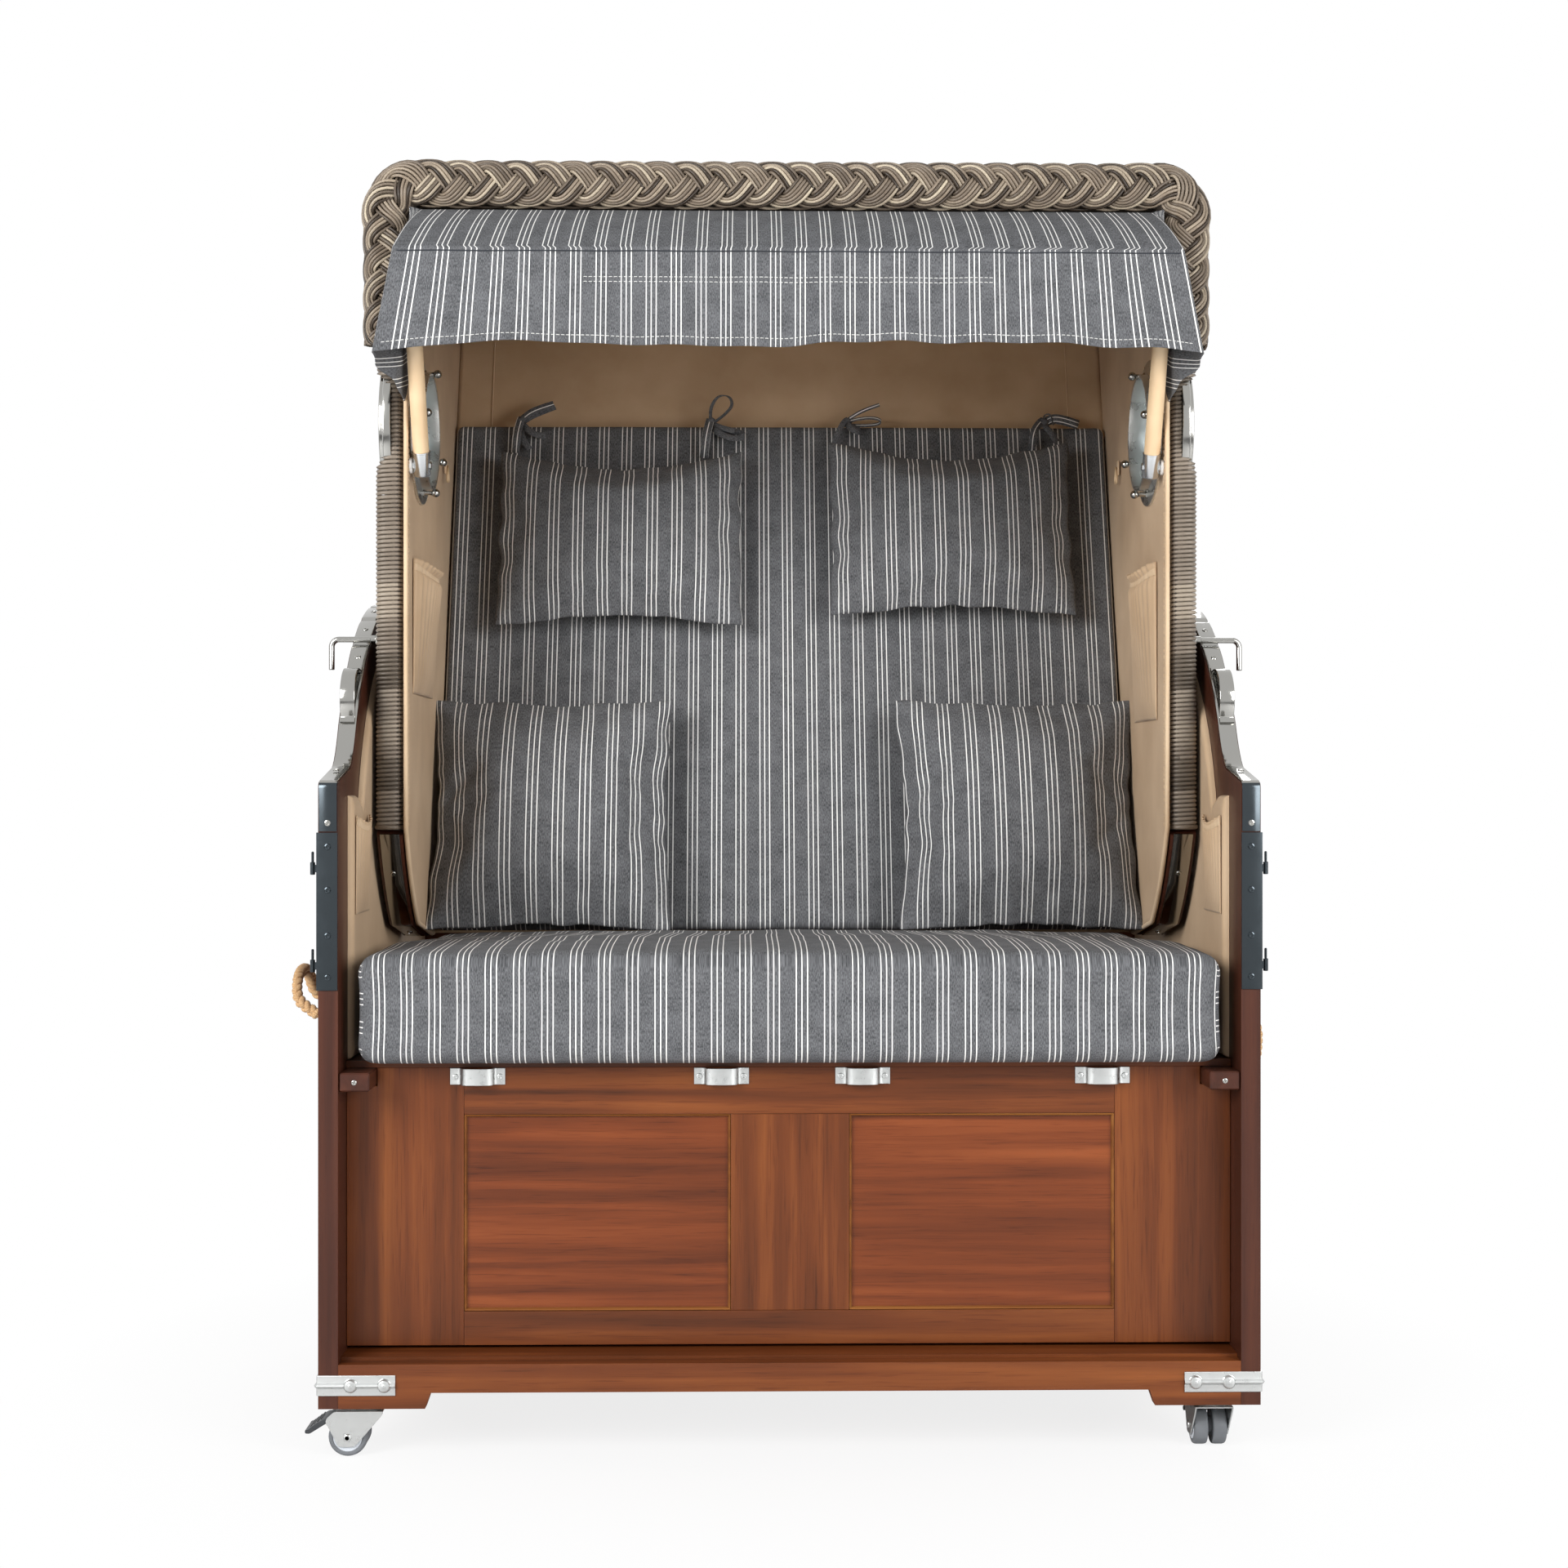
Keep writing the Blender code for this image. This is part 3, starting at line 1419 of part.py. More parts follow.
def soft_parts():
    """The seat and back cushions, the head pillows and the throw pillows."""
    seat_low = batten_top + 2 * seat_gap + seat_board_thickness
    depth = seat_cushion_back - seat_cushion_front
    centre = (0, seat_cushion_front + depth / 2, seat_low + seat_cushion_height / 2)
    size = (2 * seat_cushion_half, depth, seat_cushion_height)
    narrow = 1 - seat_cushion_back_half / seat_cushion_half

    def taper(share):
        return 1 - narrow * min(max((share - taper_start_share) / taper_run_share, 0), 1)

    corner, crown = seat_cushion_corner, seat_cushion_crown
    seat = cushion("seat_cushion", size, corner, crown, cushion_draw, centre, 0, taper)
    tilt = pi / 2 - back_slope
    rear = hood_back_wall + hood_back_lining + 2 * seat_gap - hood_heel_radius
    height = back_cushion_top - back_cushion_bottom
    y, z = back_point((back_cushion_top + back_cushion_bottom) / 2, rear + back_cushion_thickness / 2)
    size = (2 * back_cushion_half, height, back_cushion_thickness)
    back = cushion("back_cushion", size, back_cushion_corner, back_cushion_crown, 0, (0, y, z), tilt)
    face = rear + back_cushion_thickness + back_cushion_crown
    backwards = (0, cos(back_slope), -sin(back_slope))
    downwards = (0, -sin(back_slope), -cos(back_slope))
    half = head_pillow_half_thickness
    for side, x, up in (
        (LEFT, head_pillow_left_x, head_pillow_left_up),
        (RIGHT, head_pillow_right_x, head_pillow_right_up),
    ):
        name, place = "head_pillow_" + SIDE_NAMES[side], (x, *back_point(up, face + half))
        head = pillow(name, head_pillow_width, head_pillow_height, half, head_pillow_sag, place, tilt)
        rest_on(head, back, backwards)
    size, half = throw_pillow_size, throw_pillow_half_thickness
    for side in (LEFT, RIGHT):
        place = (side * throw_pillow_x, *back_point(throw_pillow_up, face + half))
        throw = pillow("throw_pillow_" + SIDE_NAMES[side], size, size, half, 0, place, tilt)
        rest_on(throw, back, backwards)
        rest_on(throw, seat, downwards)


def centre_over_origin():
    """Moves the chair so that the origin lies under the middle of its bounding box."""
    bpy.context.view_layer.update()
    graph = bpy.context.evaluated_depsgraph_get()
    lows, highs = [], []
    for obj in parts.objects:
        if obj.type != "MESH" or obj.name.startswith("rope_handle"):
            continue
        shown = obj.evaluated_get(graph)
        corners = np.array([shown.matrix_world @ vert.co for vert in shown.data.vertices])
        lows.append(corners.min(axis=0))
        highs.append(corners.max(axis=0))
    low, high = np.min(lows, axis=0), np.max(highs, axis=0)
    shift = Vector((-(low[0] + high[0]) / 2, -(low[1] + high[1]) / 2, -low[2]))
    for obj in list(parts.objects) + list(cutters.objects):
        if obj.parent is None:
            obj.matrix_world = Matrix.Translation(shift) @ obj.matrix_world
    print("size", [round(float(v), 4) for v in high - low], "shift", [round(v, 4) for v in shift])


def build():
    sides = (LEFT, RIGHT)
    bores = {side: hinge_bore(side, "pivot_bore_" + SIDE_NAMES[side]) for side in sides}
    for side in sides:
        side_panel(side, bores[side])
        side_lining(side, bores[side])
        batten(side)
        notch_band(side)
        edge_plate(side)
        grab_loop(side)
        corner_strap(side)
        hinge_bolt(side)
        rope_handle(side)
    front_panel()
    boards()
    for index, centre in enumerate(socket_centres):
        footrest_socket(index, centre)
    for corner in castor_headings:
        castor(corner)
    sleeve_bores, ring_cuts = [], []
    for side in sides:
        name = SIDE_NAMES[side]
        inside = hood_half_width - hood_wall - hood_lining_wall - cut_overrun
        outside = hood_half_width + cut_overrun
        radius = port_sleeve_outer + seat_gap
        sleeve_bores.append(port_cutter("sleeve_bore_" + name, radius, side, inside, outside))
        face, radius = port_ring_inner_face - seat_gap, port_ring_radius + seat_gap
        ring_cuts.append(port_cutter("ring_cut_" + name, radius, side, face, outside))
        hood_post(side, (ring_cuts[-1], sleeve_bores[-1]))
        hood_rail(side)
        porthole(side)
        lock_handle(side)
    hood_basket(list(bores.values()), sleeve_bores + ring_cuts)
    hood_lining(sleeve_bores)
    braid_rim()
    awning_bow()
    awning_cloth()
    soft_parts()
    hood_axis = joint_empty("hood_axis", (0, *pivot))
    names = ("hood_", "porthole_", "braid_", "awning_cloth", "awning_bow_axis", "lock_")
    names += ("head_", "throw_", "back_cushion")
    riders = [obj for obj in parts.objects if obj.name.startswith(names) and obj is not hood_axis]
    carry(hood_axis, *riders)
    centre_over_origin()


build()
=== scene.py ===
# %% [markdown]
# # A hooded beach chair
#
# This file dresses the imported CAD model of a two-seat hooded beach chair. The CAD pieces are the fixed frame:
# their places, sizes and joints are right already. Here each piece that shows gets the shape and the finish
# that the real one has: willow-coloured strands wound and plaited, striped cotton cushions, a canvas awning,
# red-brown varnished boards and polished metal.
#
# X runs across the chair, Y runs back and Z up, all in metres. Most shapes are worked out with numpy as a grid
# of points and then put into a mesh in one go.

import bmesh
import bpy
import numpy as np
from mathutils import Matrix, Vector
from numpy import cos, cross, pi, sin

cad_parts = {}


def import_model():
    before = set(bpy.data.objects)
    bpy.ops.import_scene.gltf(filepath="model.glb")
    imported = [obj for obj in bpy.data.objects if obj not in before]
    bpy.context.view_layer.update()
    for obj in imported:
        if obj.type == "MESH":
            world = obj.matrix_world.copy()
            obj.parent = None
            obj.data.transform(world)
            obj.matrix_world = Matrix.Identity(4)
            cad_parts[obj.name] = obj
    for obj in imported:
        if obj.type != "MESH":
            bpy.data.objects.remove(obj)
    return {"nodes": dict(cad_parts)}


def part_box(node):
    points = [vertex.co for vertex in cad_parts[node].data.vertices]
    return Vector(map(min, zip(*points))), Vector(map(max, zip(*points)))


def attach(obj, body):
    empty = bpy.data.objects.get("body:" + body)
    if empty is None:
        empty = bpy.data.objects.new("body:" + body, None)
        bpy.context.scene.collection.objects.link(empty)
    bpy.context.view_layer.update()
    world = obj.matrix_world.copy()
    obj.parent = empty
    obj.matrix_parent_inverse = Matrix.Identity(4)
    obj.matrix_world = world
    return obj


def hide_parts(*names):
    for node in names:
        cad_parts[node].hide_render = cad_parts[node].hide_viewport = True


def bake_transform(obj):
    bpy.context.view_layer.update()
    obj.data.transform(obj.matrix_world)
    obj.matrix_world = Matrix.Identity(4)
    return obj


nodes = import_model()["nodes"]
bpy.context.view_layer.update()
print("frame:", len(nodes), "pieces")

# %% [markdown]
# ## Sizes that several pieces share
#
# They are the ones of the CAD model. `front` is the Y of the base's front face; a depth measured from that face
# becomes a Y by adding it.

# %% Shared sizes
front = -0.442675
wall_outside = 0.6003
pivot = np.array((0.490 + front, 0.713))
arc_radius, heel_radius = 0.4077, 0.0765
hood_half, roof_top = 0.560, 1.690
post_front, post_back = 0.213 + front, 0.253 + front
post_low, post_high = 0.797, 1.459
port = np.array((0.335 + front, 1.357))
slope = np.radians(19.4)
sides = {"left": -1, "right": 1}
print("pivot of the hood at", pivot.round(4))

# %% [markdown]
# ## Helpers for shapes
#
# A surface is a grid of points. Neighbouring points join into four-cornered faces, and a grid that closes on
# itself, such as a tube, joins its last column to its first. A shape is its points, its faces and a UV place for
# each point, or None.


# %% Grids
def quads(rows, cols, wrap_rows=False, wrap_cols=False):
    """The corners of every face of a grid of rows by cols points: (r, c), (r, c+1), (r+1, c+1), (r+1, c)."""
    r, c = np.meshgrid(
        np.arange(rows if wrap_rows else rows - 1), np.arange(cols if wrap_cols else cols - 1), indexing="ij"
    )
    below, beside = (r + 1) % rows, (c + 1) % cols
    return np.stack((r * cols + c, r * cols + beside, below * cols + beside, below * cols + c), -1).reshape(-1, 4)


def capped(rows, cols, closed=False):
    """The faces of a tube: rows of rings, with a flat face on each end or with the last ring joined to the first."""
    ends = [] if closed else [list(range(cols))[::-1], list(range((rows - 1) * cols, rows * cols))]
    return quads(rows, cols, wrap_rows=closed, wrap_cols=True).tolist() + ends


def unit(vectors):
    """The same directions with length 1."""
    return vectors / np.maximum(np.linalg.norm(vectors, axis=-1, keepdims=True), 1e-12)


def around(angles):
    """Points on a circle of radius 1: (cos a, sin a)."""
    return np.stack((cos(angles), sin(angles)), -1)


def at_x(x, yz):
    """Points (n, 2) in the plane of Y and Z, given an X."""
    return np.concatenate((np.full((len(yz), 1), x), yz), 1)


def ripple(seed, *coords, count=6, low=3.0, high=20.0):
    """A gentle random relief between about -1 and 1: the mean of a few sine waves of fixed random directions."""
    chance = np.random.default_rng(seed)
    total = 0
    for _ in range(count):
        ways = chance.normal(size=len(coords))
        ways *= chance.uniform(low, high) / np.linalg.norm(ways)
        total = total + sin(sum(w * c for w, c in zip(ways, coords)) * 2 * pi + chance.uniform(0, 2 * pi))
    return total / count * 1.6


print("a grid of 3 by 4 points has", len(quads(3, 4)), "faces")


# %% Pieces
def edited(made, change):
    """Lets a change work on a piece's mesh while it is opened as a BMesh."""
    shape = bmesh.new()
    shape.from_mesh(made.data)
    change(shape)
    shape.to_mesh(made.data)
    shape.free()
    return made


def turn_outwards(shape):
    """Turns all faces of a closed shape outwards."""
    bmesh.ops.recalc_face_normals(shape, faces=shape.faces)


def piece(name, shape, body, material, stands_for=(), crisp=None, smooth=True):
    """A mesh object with its finish, its body and the CAD node that it stands for. Where an angle is given for
    crisp, its faces are turned outwards and its edges stay crisp where they turn by more degrees than that. A piece
    without a body is left unattached."""
    points, faces, uv = shape
    mesh = bpy.data.meshes.new(name)
    mesh.from_pydata(np.asarray(points, float).reshape(-1, 3).tolist(), [], [list(map(int, f)) for f in faces])
    if uv is not None:
        corners = np.zeros(len(mesh.loops), np.int64)
        mesh.loops.foreach_get("vertex_index", corners)
        layer = mesh.uv_layers.new(name="UVMap")
        layer.data.foreach_set("uv", np.asarray(uv, np.float32).reshape(-1, 2)[corners].ravel())
    mesh.update()
    mesh.shade_smooth() if smooth else mesh.shade_flat()
    mesh.materials.append(material)
    made = bpy.data.objects.new(name, mesh)
    bpy.context.scene.collection.objects.link(made)
    if crisp is not None:
        edited(made, turn_outwards)
        mesh.shade_smooth()
        mesh.set_sharp_from_angle(angle=np.radians(crisp))
    if body:
        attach(made, body)
    if stands_for:
        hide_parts(stands_for)
    return made


def bevelled(made, width, segments=2):
    """Rounds the edges of a finished piece with a Bevel modifier."""
    rounding = made.modifiers.new("rounding", "BEVEL")
    rounding.width, rounding.segments, rounding.limit_method = width, segments, "ANGLE"
    return made


def face_values(made, name):
    """A value of three numbers, such as center or normal, of every face."""
    found = np.empty(len(made.data.polygons) * 3, np.float32)
    made.data.polygons.foreach_get(name, found)
    return found.reshape(-1, 3)


def second_finish(made, material, chosen):
    """Gives the chosen faces another finish than the piece's own."""
    made.data.materials.append(material)
    made.data.polygons.foreach_set("material_index", chosen.astype(np.int32))


def merged(parts):
    """Several shapes as one. It has a UV where each of them has one."""
    points, faces = [], []
    for p, f, _ in parts:
        shift = sum(map(len, points))
        points.append(np.asarray(p).reshape(-1, 3))
        faces += [[int(i) + shift for i in one] for one in f]
    uv = None if any(t is None for _, _, t in parts) else np.concatenate([t for _, _, t in parts])
    return np.concatenate(points), faces, uv


print("pieces can be made")


# %% Paths
def run_of(path):
    """How far along its path each point lies, with the first at 0."""
    return np.concatenate(([0], np.cumsum(np.linalg.norm(np.diff(path, axis=0), axis=1))))


def sample(path, run, at):
    """Points at given lengths along a path whose own points lie at the lengths run."""
    return np.stack([np.interp(at, run, path[:, k]) for k in range(path.shape[1])], -1)


def even(path, step_length):
    """The path drawn again with points an even step apart."""
    path = np.asarray(path, float)
    run = run_of(path)
    return sample(path, run, np.linspace(0, run[-1], max(2, round(run[-1] / step_length) + 1)))


def rounded(path, steps=2):
    """Chaikin's rule: each inner corner is cut at a quarter and three quarters of its stretches, some times."""
    path = np.asarray(path, float)
    for _ in range(steps):
        near = path[:-1] * 0.75 + path[1:] * 0.25
        far = path[:-1] * 0.25 + path[1:] * 0.75
        middle = np.stack((near, far), 1).reshape(-1, path.shape[1])
        path = np.concatenate((path[:1], middle[1:-1], path[-1:]))
    return path


def bend(start, corner, end, count):
    """A quadratic bend of count points: (1 - t)^2 start + 2 t (1 - t) corner + t^2 end."""
    t = np.linspace(0, 1, count)[:, None]
    return (1 - t) ** 2 * start + 2 * t * (1 - t) * corner + t**2 * end


def eased(profile, radius, count=3):
    """A closed profile with each corner rounded by a small quadratic bend."""
    profile = np.asarray(profile, float)
    bends = []
    for before, here, after in zip(np.roll(profile, 1, 0), profile, np.roll(profile, -1, 0)):
        ends = [here + unit(way) * min(radius, np.linalg.norm(way) / 2) for way in (before - here, after - here)]
        bends.append(bend(ends[0], here, ends[1], count + 1))
    return np.concatenate(bends)


print("a rounded corner has", len(rounded([(0, 0), (1, 0), (1, 1)])), "points")


# %% Profiles and bars
def circle(radius, count=12, flat=1.0):
    """A round profile, or an oval one where flat isn't 1."""
    return radius * around(np.arange(count) / count * 2 * pi) * (1, flat)


def oblong(width, height, corner, count=4):
    """A rectangle with round corners, as a profile of (across, over) points."""
    points = []
    for quarter, signs in enumerate(((1, 1), (-1, 1), (-1, -1), (1, -1))):
        middle = np.array(signs) * (width / 2 - corner, height / 2 - corner)
        points.append(middle + corner * around(np.linspace(0, pi / 2, count) + quarter * pi / 2))
    return np.concatenate(points)


def frames(path, up, closed=False):
    """Two directions square to each point of a path: across = path x up, and over, which is up squared to it."""
    ways = np.roll(path, -1, -2) - np.roll(path, 1, -2) if closed else np.gradient(path, axis=-2)
    across = unit(cross(unit(ways), np.broadcast_to(up, path.shape)))
    return across, cross(across, unit(ways))


def bar(path, profile, up, closed=False):
    """A bar, strip or tube: a profile of (across, over) points carried along a path, with flat ends. Its UV is how
    far along a point lies."""
    path = np.asarray(path, float)
    across, over = frames(path, up, closed)
    points = path[:, None] + profile[:, :1] * across[:, None] + profile[:, 1:] * over[:, None]
    run = np.repeat(run_of(path), len(profile))
    return points.reshape(-1, 3), capped(len(path), len(profile), closed), np.stack((run, 0 * run), -1)


def strands(paths, radius, corners, up):
    """Round strands along several paths (k, n, 3) at once. Their UV is how far along the strand a point lies, and
    the number of the strand."""
    count, length = paths.shape[:2]
    across, over = frames(paths, up)
    turn = np.arange(corners) / corners * 2 * pi
    ways = cos(turn)[:, None] * across[:, :, None] + sin(turn)[:, None] * over[:, :, None]
    points = paths[:, :, None] + radius * ways
    one = quads(length, corners, wrap_cols=True)[:, ::-1]
    faces = (one[None] + (np.arange(count) * length * corners)[:, None, None]).reshape(-1, 4)
    run = np.cumsum(np.linalg.norm(np.diff(paths, axis=1, prepend=paths[:, :1]), axis=-1), axis=1)
    uv = np.stack(np.broadcast_arrays(run[:, :, None], np.arange(count)[:, None, None], turn * 0)[:2], -1)
    return points.reshape(-1, 3), faces, uv.reshape(-1, 2)


print("an oblong profile has", len(oblong(0.02, 0.01, 0.002)), "points")


# %% Turned shapes, boards and screws
def turned(profile, centre, axis, count=48, closed=False):
    """A profile of (radius, height) points turned about an axis through the centre."""
    axis = unit(np.asarray(axis, float))
    side = unit(cross(axis, (0.0, 0.31, 1.0) if abs(axis[2]) < 0.9 else (1.0, 0.2, 0.0)))
    ring = around(np.arange(count) / count * 2 * pi) @ np.array((side, cross(axis, side)))
    profile = np.asarray(profile, float)
    points = np.asarray(centre, float) + profile[:, None, :1] * ring + profile[:, None, 1:] * axis
    return points.reshape(-1, 3), capped(len(profile), count, closed), None


def block(low, high, chamfer=0.0015):
    """A board with its edges chamfered: four stacked outlines of a box, the first and last drawn in."""
    low, high = np.asarray(low, float), np.asarray(high, float)
    c = min(chamfer, min(high - low) / 3)
    rings = []
    for z, inset in ((low[2], c), (low[2] + c, 0), (high[2] - c, 0), (high[2], c)):
        x0, x1, y0, y1 = low[0] + inset, high[0] - inset, low[1] + inset, high[1] - inset
        rings += [(x0 + c, y0, z), (x1 - c, y0, z), (x1, y0 + c, z), (x1, y1 - c, z)]
        rings += [(x1 - c, y1, z), (x0 + c, y1, z), (x0, y1 - c, z), (x0, y0 + c, z)]
    return np.array(rings), capped(4, 8), None


def screw(centre, axis, radius=0.004, rise=0.0016):
    """A screw's domed head with a round socket in it, standing on a surface."""
    dome = [(0.98, 0), (1, 0), (1, 0.45), (0.9, 0.8), (0.62, 1), (0.5, 1), (0.42, 0.35), (0, 0.3)]
    profile = np.array(dome) * (radius, rise)
    profile[0, 1], profile[-1, 0] = -0.0004, 0.0001
    return turned(profile, centre, axis, 14)


print("a screw has", len(screw((0, 0, 0), (0, 0, 1))[1]), "faces")

# %% [markdown]
# ## Camera, light and floor
#
# The photograph was taken level with the middle of the hood, from 3 m in front of the base and a little to the
# left. A lens of 54 mm on a 36 mm sensor gives the same perspective. Three large soft lamps and a plain pale sky
# light the chair; the background shows pure white, as in a product photograph, while the floor keeps a shadow.

# %% Camera
camera = bpy.data.objects.new("camera", bpy.data.cameras.new("camera"))
bpy.context.scene.collection.objects.link(camera)
camera.data.lens, camera.data.sensor_width = 54.13, 36.0
camera.location = (-0.064, -3.0 + front, 0.86)
camera.rotation_euler = (pi / 2, 0, np.radians(-1.05))
bpy.context.scene.camera = camera
print("camera at", tuple(round(v, 3) for v in camera.location))


# %% Nodes and colours
def linear(code):
    """A colour written as sRGB hex, such as 8a6b4f, as the linear values that Blender computes with."""
    parts = np.array([int(code[i : i + 2], 16) / 255 for i in (0, 2, 4)])
    return (*np.where(parts <= 0.04045, parts / 12.92, ((parts + 0.055) / 1.055) ** 2.4), 1.0)


def add(tree, kind, links=(), stops=(), **settings):
    """Adds a node, or takes one that is there, and sets it up. Settings name its properties or its input sockets,
    and _1 is socket 1. Links pair a socket with an output, or with a node for its first output. Stops are the
    (place, hex colour) pairs of a colour ramp."""
    made = tree.nodes.new("ShaderNode" + kind) if isinstance(kind, str) else kind
    for key, value in settings.items():
        if hasattr(made, key):
            setattr(made, key, value)
        else:
            made.inputs[int(key[1:]) if key[0] == "_" else key.replace("_", " ")].default_value = value
    for socket, source in dict(links).items():
        tree.links.new(getattr(source, "outputs", [source])[0], made.inputs[socket])
    while stops and len(made.color_ramp.elements) < len(stops):
        made.color_ramp.elements.new(0.5)
    for number, (place, code) in enumerate(stops):
        element = made.color_ramp.elements[number]
        element.position, element.color = place, linear(code)
    return made


def surface(name, colour="808080", **sockets):
    """A material with one Principled BSDF. Returns it with its tree, its shader, and two places to read a pattern
    from: Object coordinates and the UV map."""
    made = bpy.data.materials.new(name)
    made.use_nodes = True
    tree = made.node_tree
    shader = add(tree, tree.nodes["Principled BSDF"], Base_Color=linear(colour), **sockets)
    return made, tree, shader, add(tree, "TexCoord").outputs["Object"], add(tree, "UVMap", uv_map="UVMap")


# %% World and lamps
world = bpy.data.worlds.new("studio")
bpy.context.scene.world = world
world.use_nodes = True
sky = world.node_tree
sky.nodes.clear()
rays = add(sky, "LightPath").outputs
seen = add(sky, "Math", {0: rays["Is Camera Ray"], 1: rays["Is Transmission Ray"]}, operation="MAXIMUM")
seen = add(sky, "Math", {0: seen, 1: rays["Is Glossy Ray"]}, operation="MAXIMUM")
soft = add(sky, "Background", Color=linear("f6f6f6"), Strength=0.18)
white = add(sky, "Background", Color=(1, 1, 1, 1), Strength=1.0)
add(sky, "OutputWorld", {"Surface": add(sky, "MixShader", {0: seen, 1: soft, 2: white})})


def lamp(name, place, target, size, power):
    """A square soft lamp that looks at a target."""
    made = bpy.data.objects.new(name, bpy.data.lights.new(name, "AREA"))
    bpy.context.scene.collection.objects.link(made)
    made.data.shape, made.data.size, made.data.energy = "SQUARE", size, power
    made.location = place
    made.rotation_euler = (Vector(target) - Vector(place)).to_track_quat("-Z", "Y").to_euler()


lamp("key_lamp", (-2.4, -2.9, 2.0), (0, 0, 0.9), 1.8, 148)
lamp("fill_lamp", (2.5, -2.8, 1.7), (0, 0, 0.8), 1.8, 106)
lamp("rear_lamp", (0.4, 3.4, 2.4), (0, 0, 1.0), 2.2, 70)

# %% Floor
ground, tree, shader, place, _ = surface("pale_floor", "f2f2f2", Roughness=0.6)
rays = add(tree, "LightPath").outputs
glow = add(tree, "Emission", Color=(1, 1, 1, 1), Strength=1.0)
away = add(tree, "VectorMath", {0: place}, operation="LENGTH").outputs["Value"]
edge = add(tree, "MapRange", {"Value": away}, From_Min=0.5, From_Max=1.1, To_Min=0.82)
shown = add(tree, "Math", {0: rays["Is Camera Ray"], 1: edge}, operation="MULTIPLY")
blend = add(tree, "MixShader", {0: shown, 1: shader, 2: glow})
add(tree, tree.nodes["Material Output"], {"Surface": blend})
floor_mesh = bpy.data.meshes.new("floor")
floor_mesh.from_pydata([(-6, -6, 0), (6, -6, 0), (6, 6, 0), (-6, 6, 0)], [], [(0, 1, 2, 3)])
floor_mesh.materials.append(ground)
floor = bpy.data.objects.new("floor", floor_mesh)
bpy.context.scene.collection.objects.link(floor)

# %% [markdown]
# ## Woven strands
#
# The real strands are polyethylene, extruded as round rods with a lengthwise grain and dyed in streaks, so each
# strand drifts between cream, taupe and brown. Here the UV map of a strand says how far along it a point lies and
# which strand it is on. Noise along the strand and a random shade for its number give the drift.


# %% Strand finish
def strand_finish(name, stops, gloss=0.38, own=1.0, drift_length=0.2, stakes=0.0):
    """Polyethylene strand: a tone for each strand number, a slow drift along it and fine lengthwise streaks. Where
    a strand passes behind stakes a pitch apart, painted shade darkens it there and towards its edges."""
    made, tree, shader, body, flat = surface(name, Roughness=gloss, Specular_IOR_Level=0.3)
    parts = add(tree, "SeparateXYZ", {0: flat}).outputs
    number = add(tree, "Math", {0: parts["Y"]}, operation="FLOOR")
    along = add(tree, "Math", {0: parts["X"]}, _1=1 / drift_length, operation="MULTIPLY")
    spread = add(tree, "Math", {0: number}, _1=7.31, operation="MULTIPLY")
    place = add(tree, "CombineXYZ", {0: along, 1: spread})
    drift = add(tree, "TexNoise", {"Vector": place}, Scale=1.0, Detail=2.0)
    chance = add(tree, "TexWhiteNoise", {"W": number}, noise_dimensions="1D")
    streak = add(tree, "TexNoise", {"Vector": body}, Scale=420.0, Detail=1.0)
    shade_of_own = add(tree, "MapRange", {"Value": chance}, To_Min=0.5 - own / 2, To_Max=0.5 + own / 2)
    total = add(tree, "Math", {0: drift, 1: shade_of_own}, operation="ADD")
    total = add(tree, "Math", {0: streak, 2: total}, _1=0.22, operation="MULTIPLY_ADD")
    share = add(tree, "MapRange", {"Value": total}, From_Min=0.35, From_Max=1.75)
    colour = add(tree, "ValToRGB", {0: share}, stops)
    # Painted shade: darker where the strand passes behind a stake and towards its edges
    if stakes:
        place = add(tree, "Math", {0: parts["X"], 2: number}, _1=1 / stakes, operation="MULTIPLY_ADD")
        place = add(tree, "Math", {0: place}, _1=pi, operation="MULTIPLY")
        swing_of_row = add(tree, "Math", {0: place}, operation="COSINE")
        ahead = add(tree, "MapRange", {"Value": swing_of_row}, From_Min=-1.0, From_Max=0.3, To_Min=0.30)
        away = add(tree, "Math", {0: parts["Y"]}, operation="FRACT")
        away = add(tree, "Math", {0: away}, _1=0.5, operation="SUBTRACT")
        away = add(tree, "Math", {0: away}, operation="ABSOLUTE")
        painted_edge_shade = add(tree, "MapRange", {"Value": away}, From_Min=0.5, From_Max=0.26, To_Min=0.25)
        dark = add(tree, "Math", {0: ahead, 1: painted_edge_shade}, operation="MULTIPLY")
        colour = add(tree, "VectorMath", {0: colour, "Scale": dark}, operation="SCALE")
    relief = add(tree, "Bump", {"Height": streak}, Distance=0.0003, Strength=0.5)
    add(tree, shader, {"Base Color": colour, "Normal": relief})
    return made


# Willow-coloured polyethylene: cream to umber, satin, so each round strand shows a soft light line
wicker = strand_finish(
    "woven_polyethylene_strand",
    [(0.0, "1b150f"), (0.28, "392f26"), (0.5, "5c5146"), (0.74, "897b6b"), (1.0, "cabda6")],
)
# The same on the posts, where it is wound tightly: paler and more even
wound = strand_finish(
    "wound_polyethylene_strand",
    [(0.0, "433b32"), (0.4, "675d52"), (0.7, "81766a"), (1.0, "a49888")],
    0.33,
)
# The same strands woven over the shell, seen between their stakes 38 mm apart, with painted shade behind the stakes and
# at the strands' edges
woven_wicker = strand_finish(
    "woven_shell_strand_painted_shade",
    [(0.0, "4a3e33"), (0.3, "76695b"), (0.55, "9a8d7d"), (0.8, "bfb19c"), (1.0, "dacdb8")],
    0.4, 0.55, 0.11, 0.038,
)
